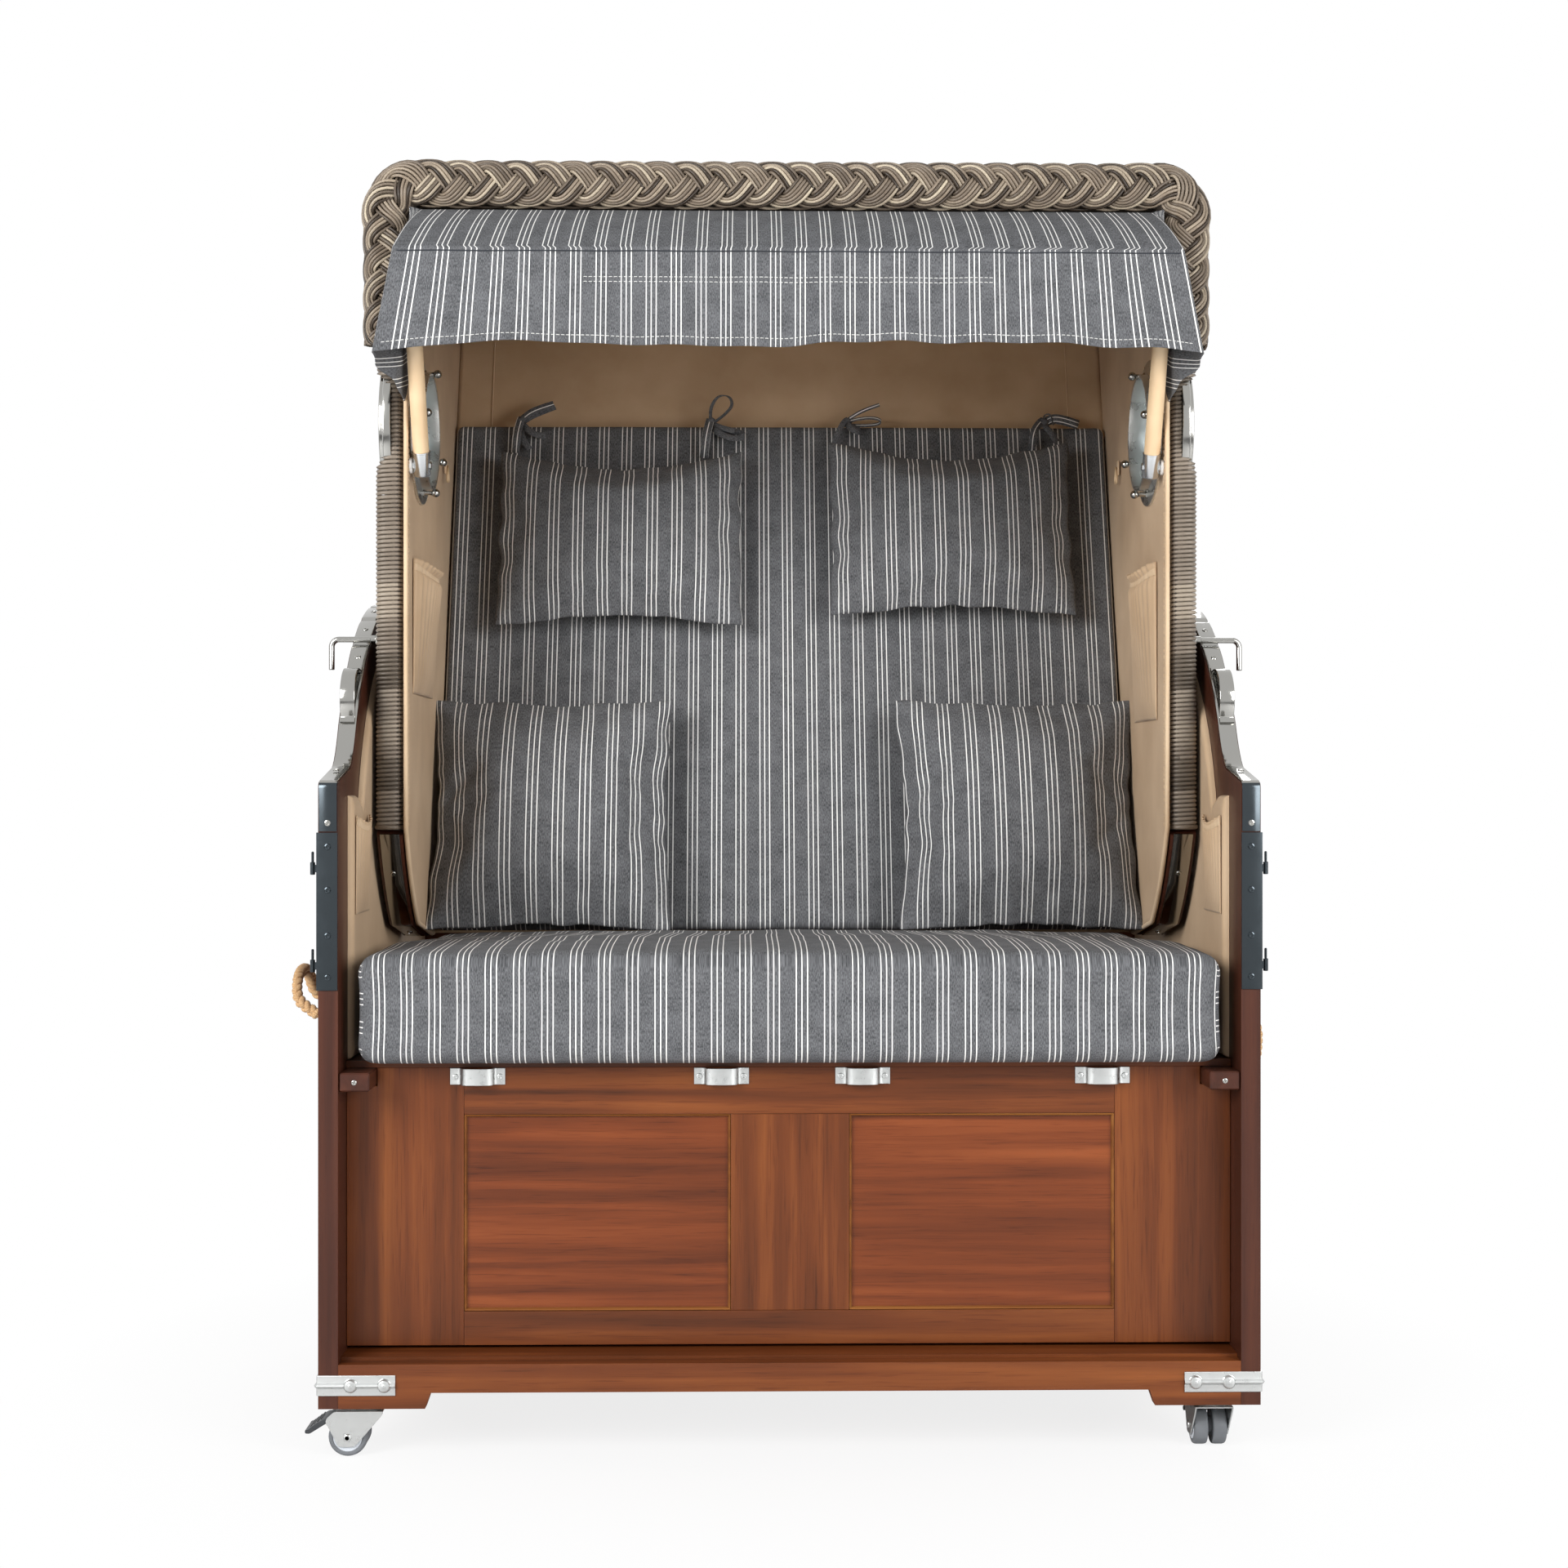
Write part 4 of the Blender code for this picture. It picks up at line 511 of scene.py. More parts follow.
# The shadowed gaps between strands: the same plastic, but nothing of it lies in the light
shade, tree, shader, body, _ = surface("shadowed_weave_ground", "2c241c", Roughness=0.8)
grit = add(tree, "TexNoise", {"Vector": body}, Scale=160.0, Detail=2.0)
add(tree, shader, {"Base Color": add(tree, "ValToRGB", {0: grit}, [(0.3, "1f1913"), (0.7, "3a3026")])})
print("strands:", wicker.name, wound.name)

# %% [markdown]
# ## Varnished wood
#
# The boards are mahogany with a satin red-brown varnish. Grain is what a saw leaves of the growth rings: long
# streaks a few millimetres wide, and pores as fine dark dashes. Both are noise that is stretched along the
# board, so there is one finish for each direction that boards run in. The number of a board, kept in its UV map,
# shifts the pattern so that no two boards show the same grain.


# %% Wood finish
def wood_finish(name, axis, dark, middle, light, gloss=0.32):
    """Varnished hardwood with its grain along axis 0, 1 or 2: rings some 20 mm apart and pores 2 mm wide."""
    made, tree, shader, body, flat = surface(
        name, Roughness=gloss, Coat_Weight=0.03, Coat_Roughness=0.2, Specular_IOR_Level=0.25
    )
    shift = add(tree, "VectorMath", {0: flat}, _1=(13.7, 5.1, 0), operation="MULTIPLY")
    place = add(tree, "VectorMath", {0: body, 1: shift}, operation="ADD")
    grain = []
    for along, across, detail in ((1.4, 44.0, 7.0), (16.0, 520.0, 2.0), (2.0, 6.0, 3.0)):
        scale = [across] * 3
        scale[axis] = along
        stretched = add(tree, "Mapping", {"Vector": place}, Scale=scale)
        grain.append(add(tree, "TexNoise", {"Vector": stretched}, Scale=1.0, Detail=detail, Distortion=0.6))
    rings, pores, cloud = grain
    part = add(tree, "Math", {0: rings}, _1=0.62, operation="MULTIPLY")
    half = add(tree, "Math", {0: cloud, 2: part}, _1=0.38, operation="MULTIPLY_ADD")
    fine = add(tree, "MapRange", {"Value": pores}, From_Min=0.55, From_Max=0.75, To_Max=-0.10)
    share = add(tree, "Math", {0: half, 1: fine}, operation="ADD")
    colour = add(tree, "ValToRGB", {0: share}, [(0.26, dark), (0.5, middle), (0.74, light)])
    relief = add(tree, "Bump", {"Height": share}, Distance=0.0004, Strength=0.25)
    add(tree, shader, {"Base Color": colour, "Normal": relief})
    return made


# Mahogany under satin varnish, sawn flat: warm red-brown with dark streaks
mahogany = {k: wood_finish("varnished_mahogany_" + k, a, "391c0c", "643317", "884d24") for a, k in enumerate("xyz")}
# The recessed fields are cut from redder boards
mahogany["field"] = wood_finish("varnished_red_mahogany", 0, "3b1a0b", "6d3518", "914d27")
# The thin mouldings are a lighter golden brown: partly the wood's own colour, partly a painted highlight
moulding_wood = wood_finish("golden_mahogany_moulding", 0, "54301a", "7d4d26", "9c6a36")
# The same wood stained darker, on the side panels and rails
stained = {}
for axis, k in ((1, "y"), (2, "z")):
    stained[k] = wood_finish("stained_mahogany_" + k, axis, "25120b", "412116", "552e1e", 0.36)
print("woods:", [m.name for m in (*mahogany.values(), *stained.values())])

# %% [markdown]
# ## Metals
#
# The bands, plates and loops are polished stainless steel: a nearly clear mirror whose colour comes from what
# stands round it, with faint polishing haze. Aluminium is greyer and softer, zinc plating is dull and blotchy.


# %% Metal finishes
def metal_finish(name, colour, gloss, haze, size, bumpy=0.0):
    """A metal whose roughness wanders between gloss and gloss + haze in patches of a size in metres."""
    made, tree, shader, body, _ = surface(name, colour, Roughness=gloss, Metallic=1.0)
    patch = add(tree, "TexNoise", {"Vector": body}, Scale=1 / size, Detail=3.0)
    spread = {"From_Min": 0.3, "From_Max": 0.7, "To_Min": gloss, "To_Max": gloss + haze}
    add(tree, shader, {"Roughness": add(tree, "MapRange", {"Value": patch}, **spread)})
    if bumpy:
        add(tree, shader, {"Normal": add(tree, "Bump", {"Height": patch}, Distance=bumpy, Strength=0.4)})
    return made


# Polished stainless steel: mirror with a trace of polishing haze
chrome = metal_finish("polished_stainless_steel", "a3a29e", 0.08, 0.08, 0.02, 0.0001)
# Brushed stainless steel on the portholes' inner faces: softer than a mirror, and brighter as painted light from the
# glass
satin = metal_finish("brushed_steel_with_painted_light", "dcdcd9", 0.24, 0.1, 0.02)
# Stainless steel on the plates, darker and bluer than the polished bands: a painted reflection of the dark room in
# front
dark_reflection_steel = metal_finish("steel_with_painted_dark_reflection", "43494d", 0.16, 0.08, 0.03)
# Turned and polished aluminium: softer and a little bluer
aluminium = metal_finish("polished_aluminium", "cfd2d4", 0.17, 0.1, 0.015)
# Bright zinc plating on pressed steel: pale, a little dull, faintly blotchy
zinc = metal_finish("zinc_plated_steel", "c6c8c7", 0.26, 0.12, 0.006, 0.0001)
print("metals ready")


# %% Plastics, rubber and glass
def moulded(name, light, dark, gloss, grain=0.0006):
    """Moulded plastic or rubber: a fine satin grain in its relief, and a slight drift of colour."""
    made, tree, shader, body, _ = surface(name, Roughness=gloss)
    fine = add(tree, "TexNoise", {"Vector": body}, Scale=1 / grain / 3, Detail=2.0)
    drift = add(tree, "TexNoise", {"Vector": body}, Scale=30.0, Detail=1.0)
    colour = add(tree, "ValToRGB", {0: drift}, [(0.3, dark), (0.7, light)])
    relief = add(tree, "Bump", {"Height": fine}, Distance=0.0001, Strength=0.3)
    add(tree, shader, {"Base Color": colour, "Normal": relief})
    return made


# Thermoplastic rubber tread: mid grey, matt
tread = moulded("moulded_grey_rubber", "6f7276", "5f6266", 0.62)
# Pale grey polypropylene wheel centres
hub_plastic = moulded("moulded_grey_polypropylene", "c9ced4", "b9bfc6", 0.42)
# Glass-filled nylon pedal: near black, satin
nylon = moulded("moulded_black_nylon", "33373a", "2a2d30", 0.45)
# White polyamide spacers
polyamide = moulded("moulded_white_polyamide", "f0efec", "e2e0dc", 0.4)
# Powder-coated steel tube in beige: smooth, softly shining
powder = moulded("beige_powder_coat", "dcc09b", "d2b48e", 0.38, 0.0008)
# Clear float glass, seen against the pale sky
glass, tree, shader, body, _ = surface("clear_glass", "d3dfe2", Roughness=0.06, Transmission_Weight=0.6, IOR=1.45)
smear = add(tree, "TexNoise", {"Vector": body}, Scale=25.0, Detail=2.0)
add(tree, shader, {"Roughness": add(tree, "MapRange", {"Value": smear}, To_Min=0.02, To_Max=0.07)})
print("plastics and glass ready")

# %% [markdown]
# ## Cloth
#
# The cushions and the awning are cotton canvas, charcoal with flecks, woven with groups of three white lines.
# A group repeats every 36 mm; its lines are 1.4 mm wide and 7 mm apart. The cloth's UV map is its flat pattern in
# metres, so the lines follow every fold as they do on the real cloth. The threads are about 0.6 mm apart on the
# real cloth; here they are drawn 1.4 mm apart so that they show.

# %% Striped canvas
stripe_repeat, stripe_gap, stripe_width, thread_pitch = 0.036, 0.0072, 0.0014, 0.0014


def canvas_finish(name, ground, fleck, line):
    """Canvas with three lines per repeat: |x - n * gap| < width / 2 for n = -1, 0, 1 about a group's middle."""
    made, tree, shader, _, flat = surface(
        name, Roughness=0.88, Sheen_Weight=0.03, Sheen_Roughness=0.5, Specular_IOR_Level=0.15
    )
    parts = add(tree, "SeparateXYZ", {0: flat}).outputs
    off = add(tree, "Math", {0: parts["X"]}, _1=1 / stripe_repeat, operation="MULTIPLY")
    off = add(tree, "Math", {0: off}, operation="FRACT")
    off = add(tree, "Math", {0: off}, _1=0.5, operation="SUBTRACT")
    off = add(tree, "Math", {0: off}, _1=stripe_repeat, operation="MULTIPLY")
    off = add(tree, "Math", {0: off}, operation="ABSOLUTE")
    side = add(tree, "Math", {0: off}, _1=stripe_gap, operation="SUBTRACT")
    side = add(tree, "Math", {0: side}, operation="ABSOLUTE")
    nearest = add(tree, "Math", {0: off, 1: side}, operation="MINIMUM")
    threads = []
    for axis in ("X", "Y"):
        count = add(tree, "Math", {0: parts[axis]}, _1=2 * pi / thread_pitch, operation="MULTIPLY")
        threads.append(add(tree, "Math", {0: count}, operation="SINE"))
    weave = add(tree, "Math", dict(enumerate(threads)), operation="MULTIPLY")
    stretched = add(tree, "Mapping", {"Vector": flat}, Scale=(900, 260, 1))
    speck = add(tree, "TexNoise", {"Vector": stretched}, Scale=1.0, Detail=2.0)
    cloud = add(tree, "TexNoise", {"Vector": flat}, Scale=40.0, Detail=2.0)
    tone = add(tree, "Math", {0: cloud, 2: speck}, _1=0.3, operation="MULTIPLY_ADD")
    tone = add(tree, "Math", {0: tone}, _1=0.77, operation="MULTIPLY")
    base = add(tree, "ValToRGB", {0: tone}, [(0.36, ground), (0.62, fleck)])
    edge = {"From_Min": stripe_width / 2 + 0.0002, "From_Max": stripe_width / 2 - 0.0002}
    inside = add(tree, "MapRange", {"Value": nearest}, **edge)
    mix = add(tree, "Mix", {0: inside, 6: base}, data_type="RGBA", _7=linear(line))
    relief = add(tree, "Bump", {"Height": weave}, Distance=0.0002, Strength=0.5)
    add(tree, shader, {"Base Color": mix.outputs[2], "Normal": relief})
    return made


# Cotton canvas in charcoal with white lines: matt, with a slight nap
canvas = canvas_finish("striped_cotton_canvas", "414244", "6f7073", "f0efec")
print("lines", stripe_gap * 1000, "mm apart")


# %% Plain cloths
def plain_cloth(name, light, dark, gloss, thread=0.0012):
    """A plain woven or grained cover: cells of a thread's size for its relief, slow clouds for its colour."""
    made, tree, shader, body, _ = surface(
        name, Roughness=gloss, Sheen_Weight=0.1, Sheen_Roughness=0.5, Specular_IOR_Level=0.2
    )
    cells = add(tree, "TexVoronoi", {"Vector": body}, Scale=1 / thread)
    cloud = add(tree, "TexNoise", {"Vector": body}, Scale=9.0, Detail=4.0)
    colour = add(tree, "ValToRGB", {0: cloud}, [(0.32, dark), (0.68, light)])
    relief = add(tree, "Bump", {"Height": cells}, Distance=0.0002, Strength=0.35)
    add(tree, shader, {"Base Color": colour, "Normal": relief})
    return made


# Beige awning cloth with a coated, fine-grained face, on the inner walls and the base's sides
lining_cloth = plain_cloth("beige_coated_lining", "c9ae8f", "b89c7d", 0.5)
# Beige webbing of the piping and the seams
piping_cloth = plain_cloth("beige_piping", "d6bd9e", "c6ab8b", 0.7, 0.0008)
# White polyester sewing thread
thread_white = plain_cloth("white_sewing_thread", "d9d9d6", "c8c8c4", 0.6, 0.0006)
# Darker charcoal canvas without lines, for the seam over the bow: a painted shadow line along its fold
fold_shadow_canvas = plain_cloth("charcoal_canvas_painted_fold_shadow", "34373d", "282b30", 0.88)


def rope_finish(name, dark, light):
    """Twisted yarn along a strand: slanting lines 1.6 mm apart across its UV length, and fluff in its colour."""
    made, tree, shader, body, flat = surface(
        name, Roughness=0.85, Sheen_Weight=0.15, Sheen_Roughness=0.5, Specular_IOR_Level=0.25
    )
    length = add(tree, "SeparateXYZ", {0: flat})
    turns = add(tree, "Math", {0: length}, _1=2 * pi / 0.0016, operation="MULTIPLY")
    yarn = add(tree, "Math", {0: turns}, operation="SINE")
    fluff = add(tree, "TexNoise", {"Vector": body}, Scale=700.0, Detail=3.0)
    share = add(tree, "Math", {0: yarn, 2: fluff}, _1=0.12, operation="MULTIPLY_ADD")
    colour = add(tree, "ValToRGB", {0: share}, [(0.3, dark), (0.7, light)])
    relief = add(tree, "Bump", {"Height": share}, Distance=0.0006, Strength=0.5)
    add(tree, shader, {"Base Color": colour, "Normal": relief})
    return made


# Hemp rope, plaited from three strands of yarn: tan, matt and slightly hairy
hemp = rope_finish("plaited_hemp", "a97f55", "d9b68a")
print("cloths:", canvas.name, lining_cloth.name, fold_shadow_canvas.name, hemp.name)

# %% [markdown]
# ## The hood's woven shell
#
# The real shell is a wooden frame with strands woven round upright stakes: each row runs in front of one stake and
# behind the next, and the row above it does the opposite. The solid shell of the CAD model stays behind the gaps,
# in a dark painted shade colour. On it lies a sheet of relief: rows 7 mm high with a round back, which swing out
# and in once every two stakes of 38 mm. Four points to a row are fine enough, and far lighter than a thousand strands.

# %% Weave
row_pitch, stake_pitch, strand_rise, rim_sink = 0.0070, 0.038, 0.0030, 0.0012
points_of_a_row = np.array((0.02, 0.2, 0.5, 0.8))


def weave(u, v):
    """The height of plain weave at u metres along the rows and v rows across them, with the number of the row. A
    row's back is a half circle over its pitch; its middle line swings as cos(pi * u / stake pitch), turned round
    from row to row. Where the row is behind, the stake shows: a ridge with its own round back."""
    row = np.floor(v + 1e-6)
    back = np.sqrt(np.maximum(1 - (2 * (v - row) - 1) ** 2, 0.0))
    swing = cos(pi * (u / stake_pitch + row))
    stake = np.maximum(1 - ((u / stake_pitch + 0.5) % 1 - 0.5) ** 2 * 36, 0)
    return strand_rise * np.maximum(back * (0.55 + 0.45 * swing), 0.38 * stake), row


def woven(name, place, width, length, width_samples, seed):
    """A sheet of weave. place(a, b) gives the ground's points and outward directions at shares a across and b
    along. There are four points to a row: at the seam, then up, over and down the strand's round back. The sheet's
    rim sinks into the ground, so that its edge is closed."""
    count = int(length / row_pitch)
    share = (np.arange(count)[:, None] + points_of_a_row).ravel() / count
    a, b = np.meshgrid(np.linspace(0, 1, width_samples), np.append(share, 1.0))
    ground, out = place(a, b)
    across = width(b)
    u, v = (a - 0.5) * across, b * count
    height, row = weave(u, v)
    height = height + 0.0004 * ripple(seed, u * 3, b * length * 3)
    rim = np.minimum(np.minimum(a, 1 - a) * across, np.minimum(b, 1 - b) * length)
    height = np.where(rim < 1e-6, -rim_sink, height * np.clip(rim / 0.006, 0.2, 1))
    uv = np.stack((u, row + np.clip(v - row, 0.02, 0.98)), -1)
    faces = quads(*a.shape)
    middle = faces[len(faces) // 2]
    corners = ground.reshape(-1, 3)[middle]
    if (cross(corners[1] - corners[0], corners[2] - corners[0]) * out.reshape(-1, 3)[middle[0]]).sum() < 0:
        faces = faces[:, ::-1]
    return piece(name, (ground + out * height[..., None], faces, uv), "hood", woven_wicker)


print("weave:", round(1 / row_pitch), "rows to a metre")

# %% Outline of the shell
roof_fall, roof_run = 0.0214, 0.9077


def roof_height(y):
    """The height of the sloping roof line, which falls by roof_fall in roof_run behind the base's front face."""
    return roof_top - roof_fall * (y - front) / roof_run


def back_point(up, out):
    """A point up along the reclined back from the pivot and out in front of it, as (Y, Z)."""
    return np.array((pivot[0] + up * sin(slope) - out * cos(slope), pivot[1] + up * cos(slope) + out * sin(slope)))


# From its heel up the back, round the top corner and forward along the roof
ridge = back_point(1.040, -heel_radius)
turn_start = ridge + unit(back_point(0, -heel_radius) - ridge) * 0.060
turn_end = ridge + unit(np.array((front, roof_top)) - ridge) * 0.060
top_turn = bend(turn_start, ridge, turn_end, 13)
heel = pivot + heel_radius * around(np.append(np.radians((-70, -58, -46, -33)), -slope))
brow = np.array((post_back + 0.0005, roof_height(post_back)))
outline = even(at_x(0, np.concatenate((heel, top_turn, [brow]))), 0.004)
outline_run = run_of(outline)
outline_out = unit(cross(np.gradient(outline, axis=0), (-1.0, 0, 0)))
outline_out = outline_out if outline_out[-1, 2] > 0 else -outline_out
corner_run = outline_run[np.argmax(outline[:, 1])]


def strip(start, end):
    """Places on the strip over the back and roof, between two lengths along the outline."""

    def place(a, b):
        run = start + (end - start) * b
        ground, out = sample(outline, outline_run, run), unit(sample(outline_out, outline_run, run))
        ground[..., 0] = (a - 0.5) * 2 * (hood_half - 0.002)
        return ground, out

    return place


# Four strips, to keep each piece under 200,000 triangles
strip_ends = (0, corner_run / 2, corner_run, (corner_run + outline_run[-1]) / 2, outline_run[-1])
for number, name in enumerate(("back_low", "back_high", "roof_rear", "roof_front")):
    start, end = strip_ends[number : number + 2]
    made = woven("basket_weave_" + name, strip(start, end), lambda b: 1.116, end - start, 289, number + 1)
    print(made.name, 2 * len(made.data.polygons), "triangles")

# %% [markdown]
# The side walls are not rectangles: their front edge follows the post and the curved rail, their rear edge the
# heel and the sloping back. Each row runs from the one to the other, and the rows share the height under the roof.

# %% Side walls
rail_centre, rail_radius = np.array((0.556 + front, 0.9815)), 0.390
rail_inner = rail_centre + (rail_radius - 0.0303) * around(np.radians(np.linspace(207.9, 235.0, 16)))
rail_inner = rail_inner[(rail_inner[:, 1] < post_low) & (rail_inner[:, 1] > 0.668)]
low_heel = pivot + heel_radius * around(np.radians(np.linspace(236, 270, 6)))
fore = np.concatenate((low_heel[::-1], rail_inner[::-1], [(post_back + 0.0006, post_low)], [brow]))
rear = np.concatenate((pivot + heel_radius * around(np.radians(np.linspace(270, 340.6, 10))), top_turn))
bottom = pivot[1] - heel_radius


def height_share(chain):
    """How high each point of an edge lies between the bottom and the roof over it, from 0 to 1."""
    return np.maximum.accumulate((chain[:, 1] - bottom) / (roof_height(chain[:, 0]) - bottom))


def wall_ends(b):
    """The Y of a side wall's front edge and of its rear edge, at shares of its height."""
    return np.interp(b, height_share(fore), fore[:, 0]), np.interp(b, height_share(rear), rear[:, 0])


def wall_width(b):
    """How long the rows of a side wall are."""
    near, far = wall_ends(b)
    return far - near + 1e-4


def wall(side):
    """Places on a side wall: share a from its front edge to its rear edge, share b from the bottom to the roof."""

    def place(a, b):
        near, far = wall_ends(b)
        y = near + (far - near) * (a if side > 0 else 1 - a)
        ground = np.stack((np.full_like(y, side * hood_half), y, bottom + (roof_height(y) - bottom) * b), -1)
        return ground, np.broadcast_to(np.array((side, 0.0, 0.0)), ground.shape)

    return place


def without_port(shape):
    """Cuts out the faces inside the porthole's ring."""
    gone = [f for f in shape.faces if (f.calc_center_median().yz - Vector(port)).length < 0.1275]
    bmesh.ops.delete(shape, geom=gone, context="FACES")


for name, side in sides.items():
    edited(woven("basket_weave_" + name, wall(side), wall_width, 1.04, 141, 5 + side), without_port)

# %% [markdown]
# ## Wound posts
#
# The two front posts are wrapped tightly: one strand runs round and round, 6 mm further down with each turn. It is
# a helix whose turns are drawn from a circle towards a rounded square: r = (|cos|^n + |sin|^n)^(-1/n) with n = 3.4.

# %% Posts
wind_pitch, wind_radius, square, points_per_turn = 0.0060, 0.0028, 3.4, 22
port_wall, ring_reach = 0.5389, 0.1312


def helix(centre, half_x, half_y, low, high):
    """A strand wound round a post: the turn grows evenly with height, the radius follows a rounded square."""
    turns = (high - low) / wind_pitch
    turn = np.linspace(0, turns * 2 * pi, int(turns * points_per_turn))
    reach = (np.abs(cos(turn)) ** square + np.abs(sin(turn)) ** square) ** (-1 / square)
    x, y = centre[0] + half_x * reach * cos(turn), centre[1] + half_y * reach * sin(turn)
    return np.stack((x, y, low + wind_pitch * turn / (2 * pi)), -1)


for name, side in sides.items():
    middle = (side * (0.5238 + 0.5622) / 2, (post_front + post_back) / 2)
    path = helix(middle, 0.0192 - wind_radius, 0.0200 - wind_radius, post_low + 0.005, post_high + 0.004)
    points, faces, uv = strands(path[None], wind_radius, 5, (0.0, 0.0, 1.0))
    # Where the porthole's ring is let into the post, the strand lies behind the ring
    inside = np.hypot(*(points[:, 1:] - port).T) < ring_reach
    points[:, 0] = side * np.where(inside, np.minimum(side * points[:, 0], port_wall), side * points[:, 0])
    uv = np.stack((uv[:, 0] * 0.35, np.floor(uv[:, 0] / 0.9)), -1)
    piece("post_winding_" + name, (points, faces, uv), "hood", wound, "hood_post_" + name)
    ends = ((*middle, post_low + 0.0004), (*middle, post_high))
    points, faces, _ = bar(ends, oblong(0.0338, 0.0352, 0.009), (0.0, 1.0, 0.0))
    points[:, 0] = side * np.minimum(side * points[:, 0], port_wall)
    # The core behind the winding has the painted shade colour
    core = piece("post_core_" + name, (points, faces, None), "hood", shade, smooth=False)
    edited(core, turn_outwards)
    # The lowest turn ends in a thicker wrapped collar
    collar = circle(1.0, 40) * (0.0182, 0.0190) + middle
    collar = bar(np.insert(collar, 2, post_low + 0.0040, axis=1), circle(0.0034, 8), (0.0, 0.0, 1.0), closed=True)
    piece("post_collar_" + name, collar, "hood", wicker, (), 180)
print("posts wound with", round((post_high - post_low) / wind_pitch), "turns each")

# %% [markdown]
# ## The plaited rim
#
# A plait of three bundles, each of six strands, runs over the front of the hood. In a flat plait each bundle
# swings from edge to edge, v = A sin t, and dips under the next one twice a swing, w = -B sin 2t. The three
# bundles are a third of a swing apart. The plait is bent round the rim's thickness, and a second one closes its
# rear. The middle line runs up the left post, over the top and down the right one.

# %% Middle line of the rim
rim_y = post_back - 0.026
rim_x, rim_top, rim_turn = 0.5440, 1.676, 0.045
quarter = np.linspace(0, pi / 2, 13)
left_turn = np.array((rim_turn - rim_x, rim_top - rim_turn)) + rim_turn * around(quarter) * (-1, 1)
half_rim = np.concatenate(([(-rim_x, post_high)], left_turn))
rim_line = even(np.insert(np.concatenate((half_rim, half_rim[::-1] * (-1, 1))), 1, rim_y, axis=1), 0.002)
rim_run = run_of(rim_line)
rim_out = unit(cross(unit(np.gradient(rim_line, axis=0)), (0.0, 1.0, 0.0)))
rim_out = rim_out if rim_out[len(rim_out) // 2, 2] > 0 else -rim_out
first_bend = rim_top - rim_turn - post_high + rim_turn * pi / 4
print("rim:", round(rim_run[-1], 3), "m long")

# %% Plait
swing, dip, lobe, strand_radius, strand_pitch = 0.0262, 0.0050, 0.1160, 0.0022, 0.00460
plait_half, plait_depth = 0.0325, 0.0176


def plait(face, start):
    """The strands of one plait, as paths. Each strand keeps its place across its bundle, squared to the way the
    bundle runs: (s, v) + offset * (-v', 1) / |(1, v')|. Across the rim it bends round an ellipse, half height * sin
    a and depth * cos a, where a is the place across divided by the half height. The corners swell by 4.5 mm."""
    s = np.linspace(0, rim_run[-1], int(rim_run[-1] / 0.0038))
    swell = sum(np.exp(-(((s - place) / 0.04) ** 2)) for place in (first_bend, rim_run[-1] - first_bend))
    paths = []
    for bundle in range(3):
        t = 2 * pi * (s / lobe + bundle / 3) + start
        v, w = swing * sin(t), -dip * sin(2 * t)
        lean = swing * cos(t) * 2 * pi / lobe
        long = np.hypot(1, lean)
        for number in range(6):
            offset = (number - 2.5) * strand_pitch
            along, across = np.clip(s - offset * lean / long, 0, rim_run[-1]), v + offset / long
            lift = (plait_depth + w) * cos(across / plait_half) - 0.0004 * (number - 2.5) ** 2
            across = plait_half * sin(across / plait_half) + 0.003 + 0.0045 * swell
            middle, out = sample(rim_line, rim_run, along), unit(sample(rim_out, rim_run, along))
            paths.append(middle + out * across[:, None] + np.array((0, face, 0)) * lift[:, None])
    return np.array(paths)


for name, face, start, node in (("front", -1.0, 0.4, "braid_rim"), ("rear", 1.0, 1.5, ())):
    shape = strands(plait(face, start), strand_radius, 6, (0.0, face, 0.0))
    made = piece("rim_plait_" + name, shape, "hood", wicker, node)
    print(made.name, len(made.data.polygons), "faces")
# The core between the two plaits has the painted shade colour
core = bar((rim_line + rim_out * 0.003)[::6], circle(0.0285, 14, 0.40), (0.0, 1.0, 0.0))
piece("rim_core", core, "hood", shade, (), 180)

# %% [markdown]
# ## Cushions
#
# The seat cushion is foam in a canvas cover: one length of cloth runs over the top and down the front, and a
# narrow panel closes each side. Its shape is a box with round edges. A point on the box is pulled to the nearest
# point of a smaller box and pushed out again by the edge radius. Then the top is crowned, the sides draw in, and
# a slow ripple makes the cloth look sewn and sat on.


# %% Box of cloth
def ticks(half, edge, cells):
    """Places along one side of a box: close together on its round edges, even between them."""
    rise = edge * (1 - cos(np.linspace(0, pi / 2, 6)))[:-1]
    return np.concatenate((-half + rise, np.linspace(-half + edge, half - edge, cells), (half - rise)[::-1]))


def soft_box(half, edge, cells):
    """A closed box with round edges: points p = q + edge * (p0 - q) / |p0 - q|, where q is p0 clipped to the inner
    box. Returns points, faces, and for each point the side (0 to 5) that it was drawn on."""
    points, faces, drawn = [], [], []
    for axis in range(3):
        first, second = [k for k in range(3) if k != axis]
        places = [ticks(half[k], edge, cells[k]) for k in (first, second)]
        a, b = np.meshgrid(*places, indexing="ij")
        for sign in (-1, 1):
            p = np.empty((*a.shape, 3))
            p[..., axis], p[..., first], p[..., second] = sign * half[axis], a, b
            q = np.clip(p, -half + edge, half - edge)
            grid = quads(*a.shape) + sum(map(len, points))
            points.append((q + edge * unit(p - q)).reshape(-1, 3))
            faces.append(grid if (sign > 0) == (axis != 1) else grid[:, ::-1])
            drawn.append(np.full(a.size, axis * 2 + (sign > 0)))
    return np.concatenate(points), np.concatenate(faces), np.concatenate(drawn)


def tilted(points, tilt):
    """Points turned about X by a tilt."""
    y, z = points[:, 1], points[:, 2]
    return np.stack((points[:, 0], y * cos(tilt) - z * sin(tilt), y * sin(tilt) + z * cos(tilt)), -1)


def closed_up(shape):
    """Joins the sides of a box at their shared rims and turns all faces outwards."""
    bmesh.ops.remove_doubles(shape, verts=shape.verts, dist=1e-5)
    turn_outwards(shape)


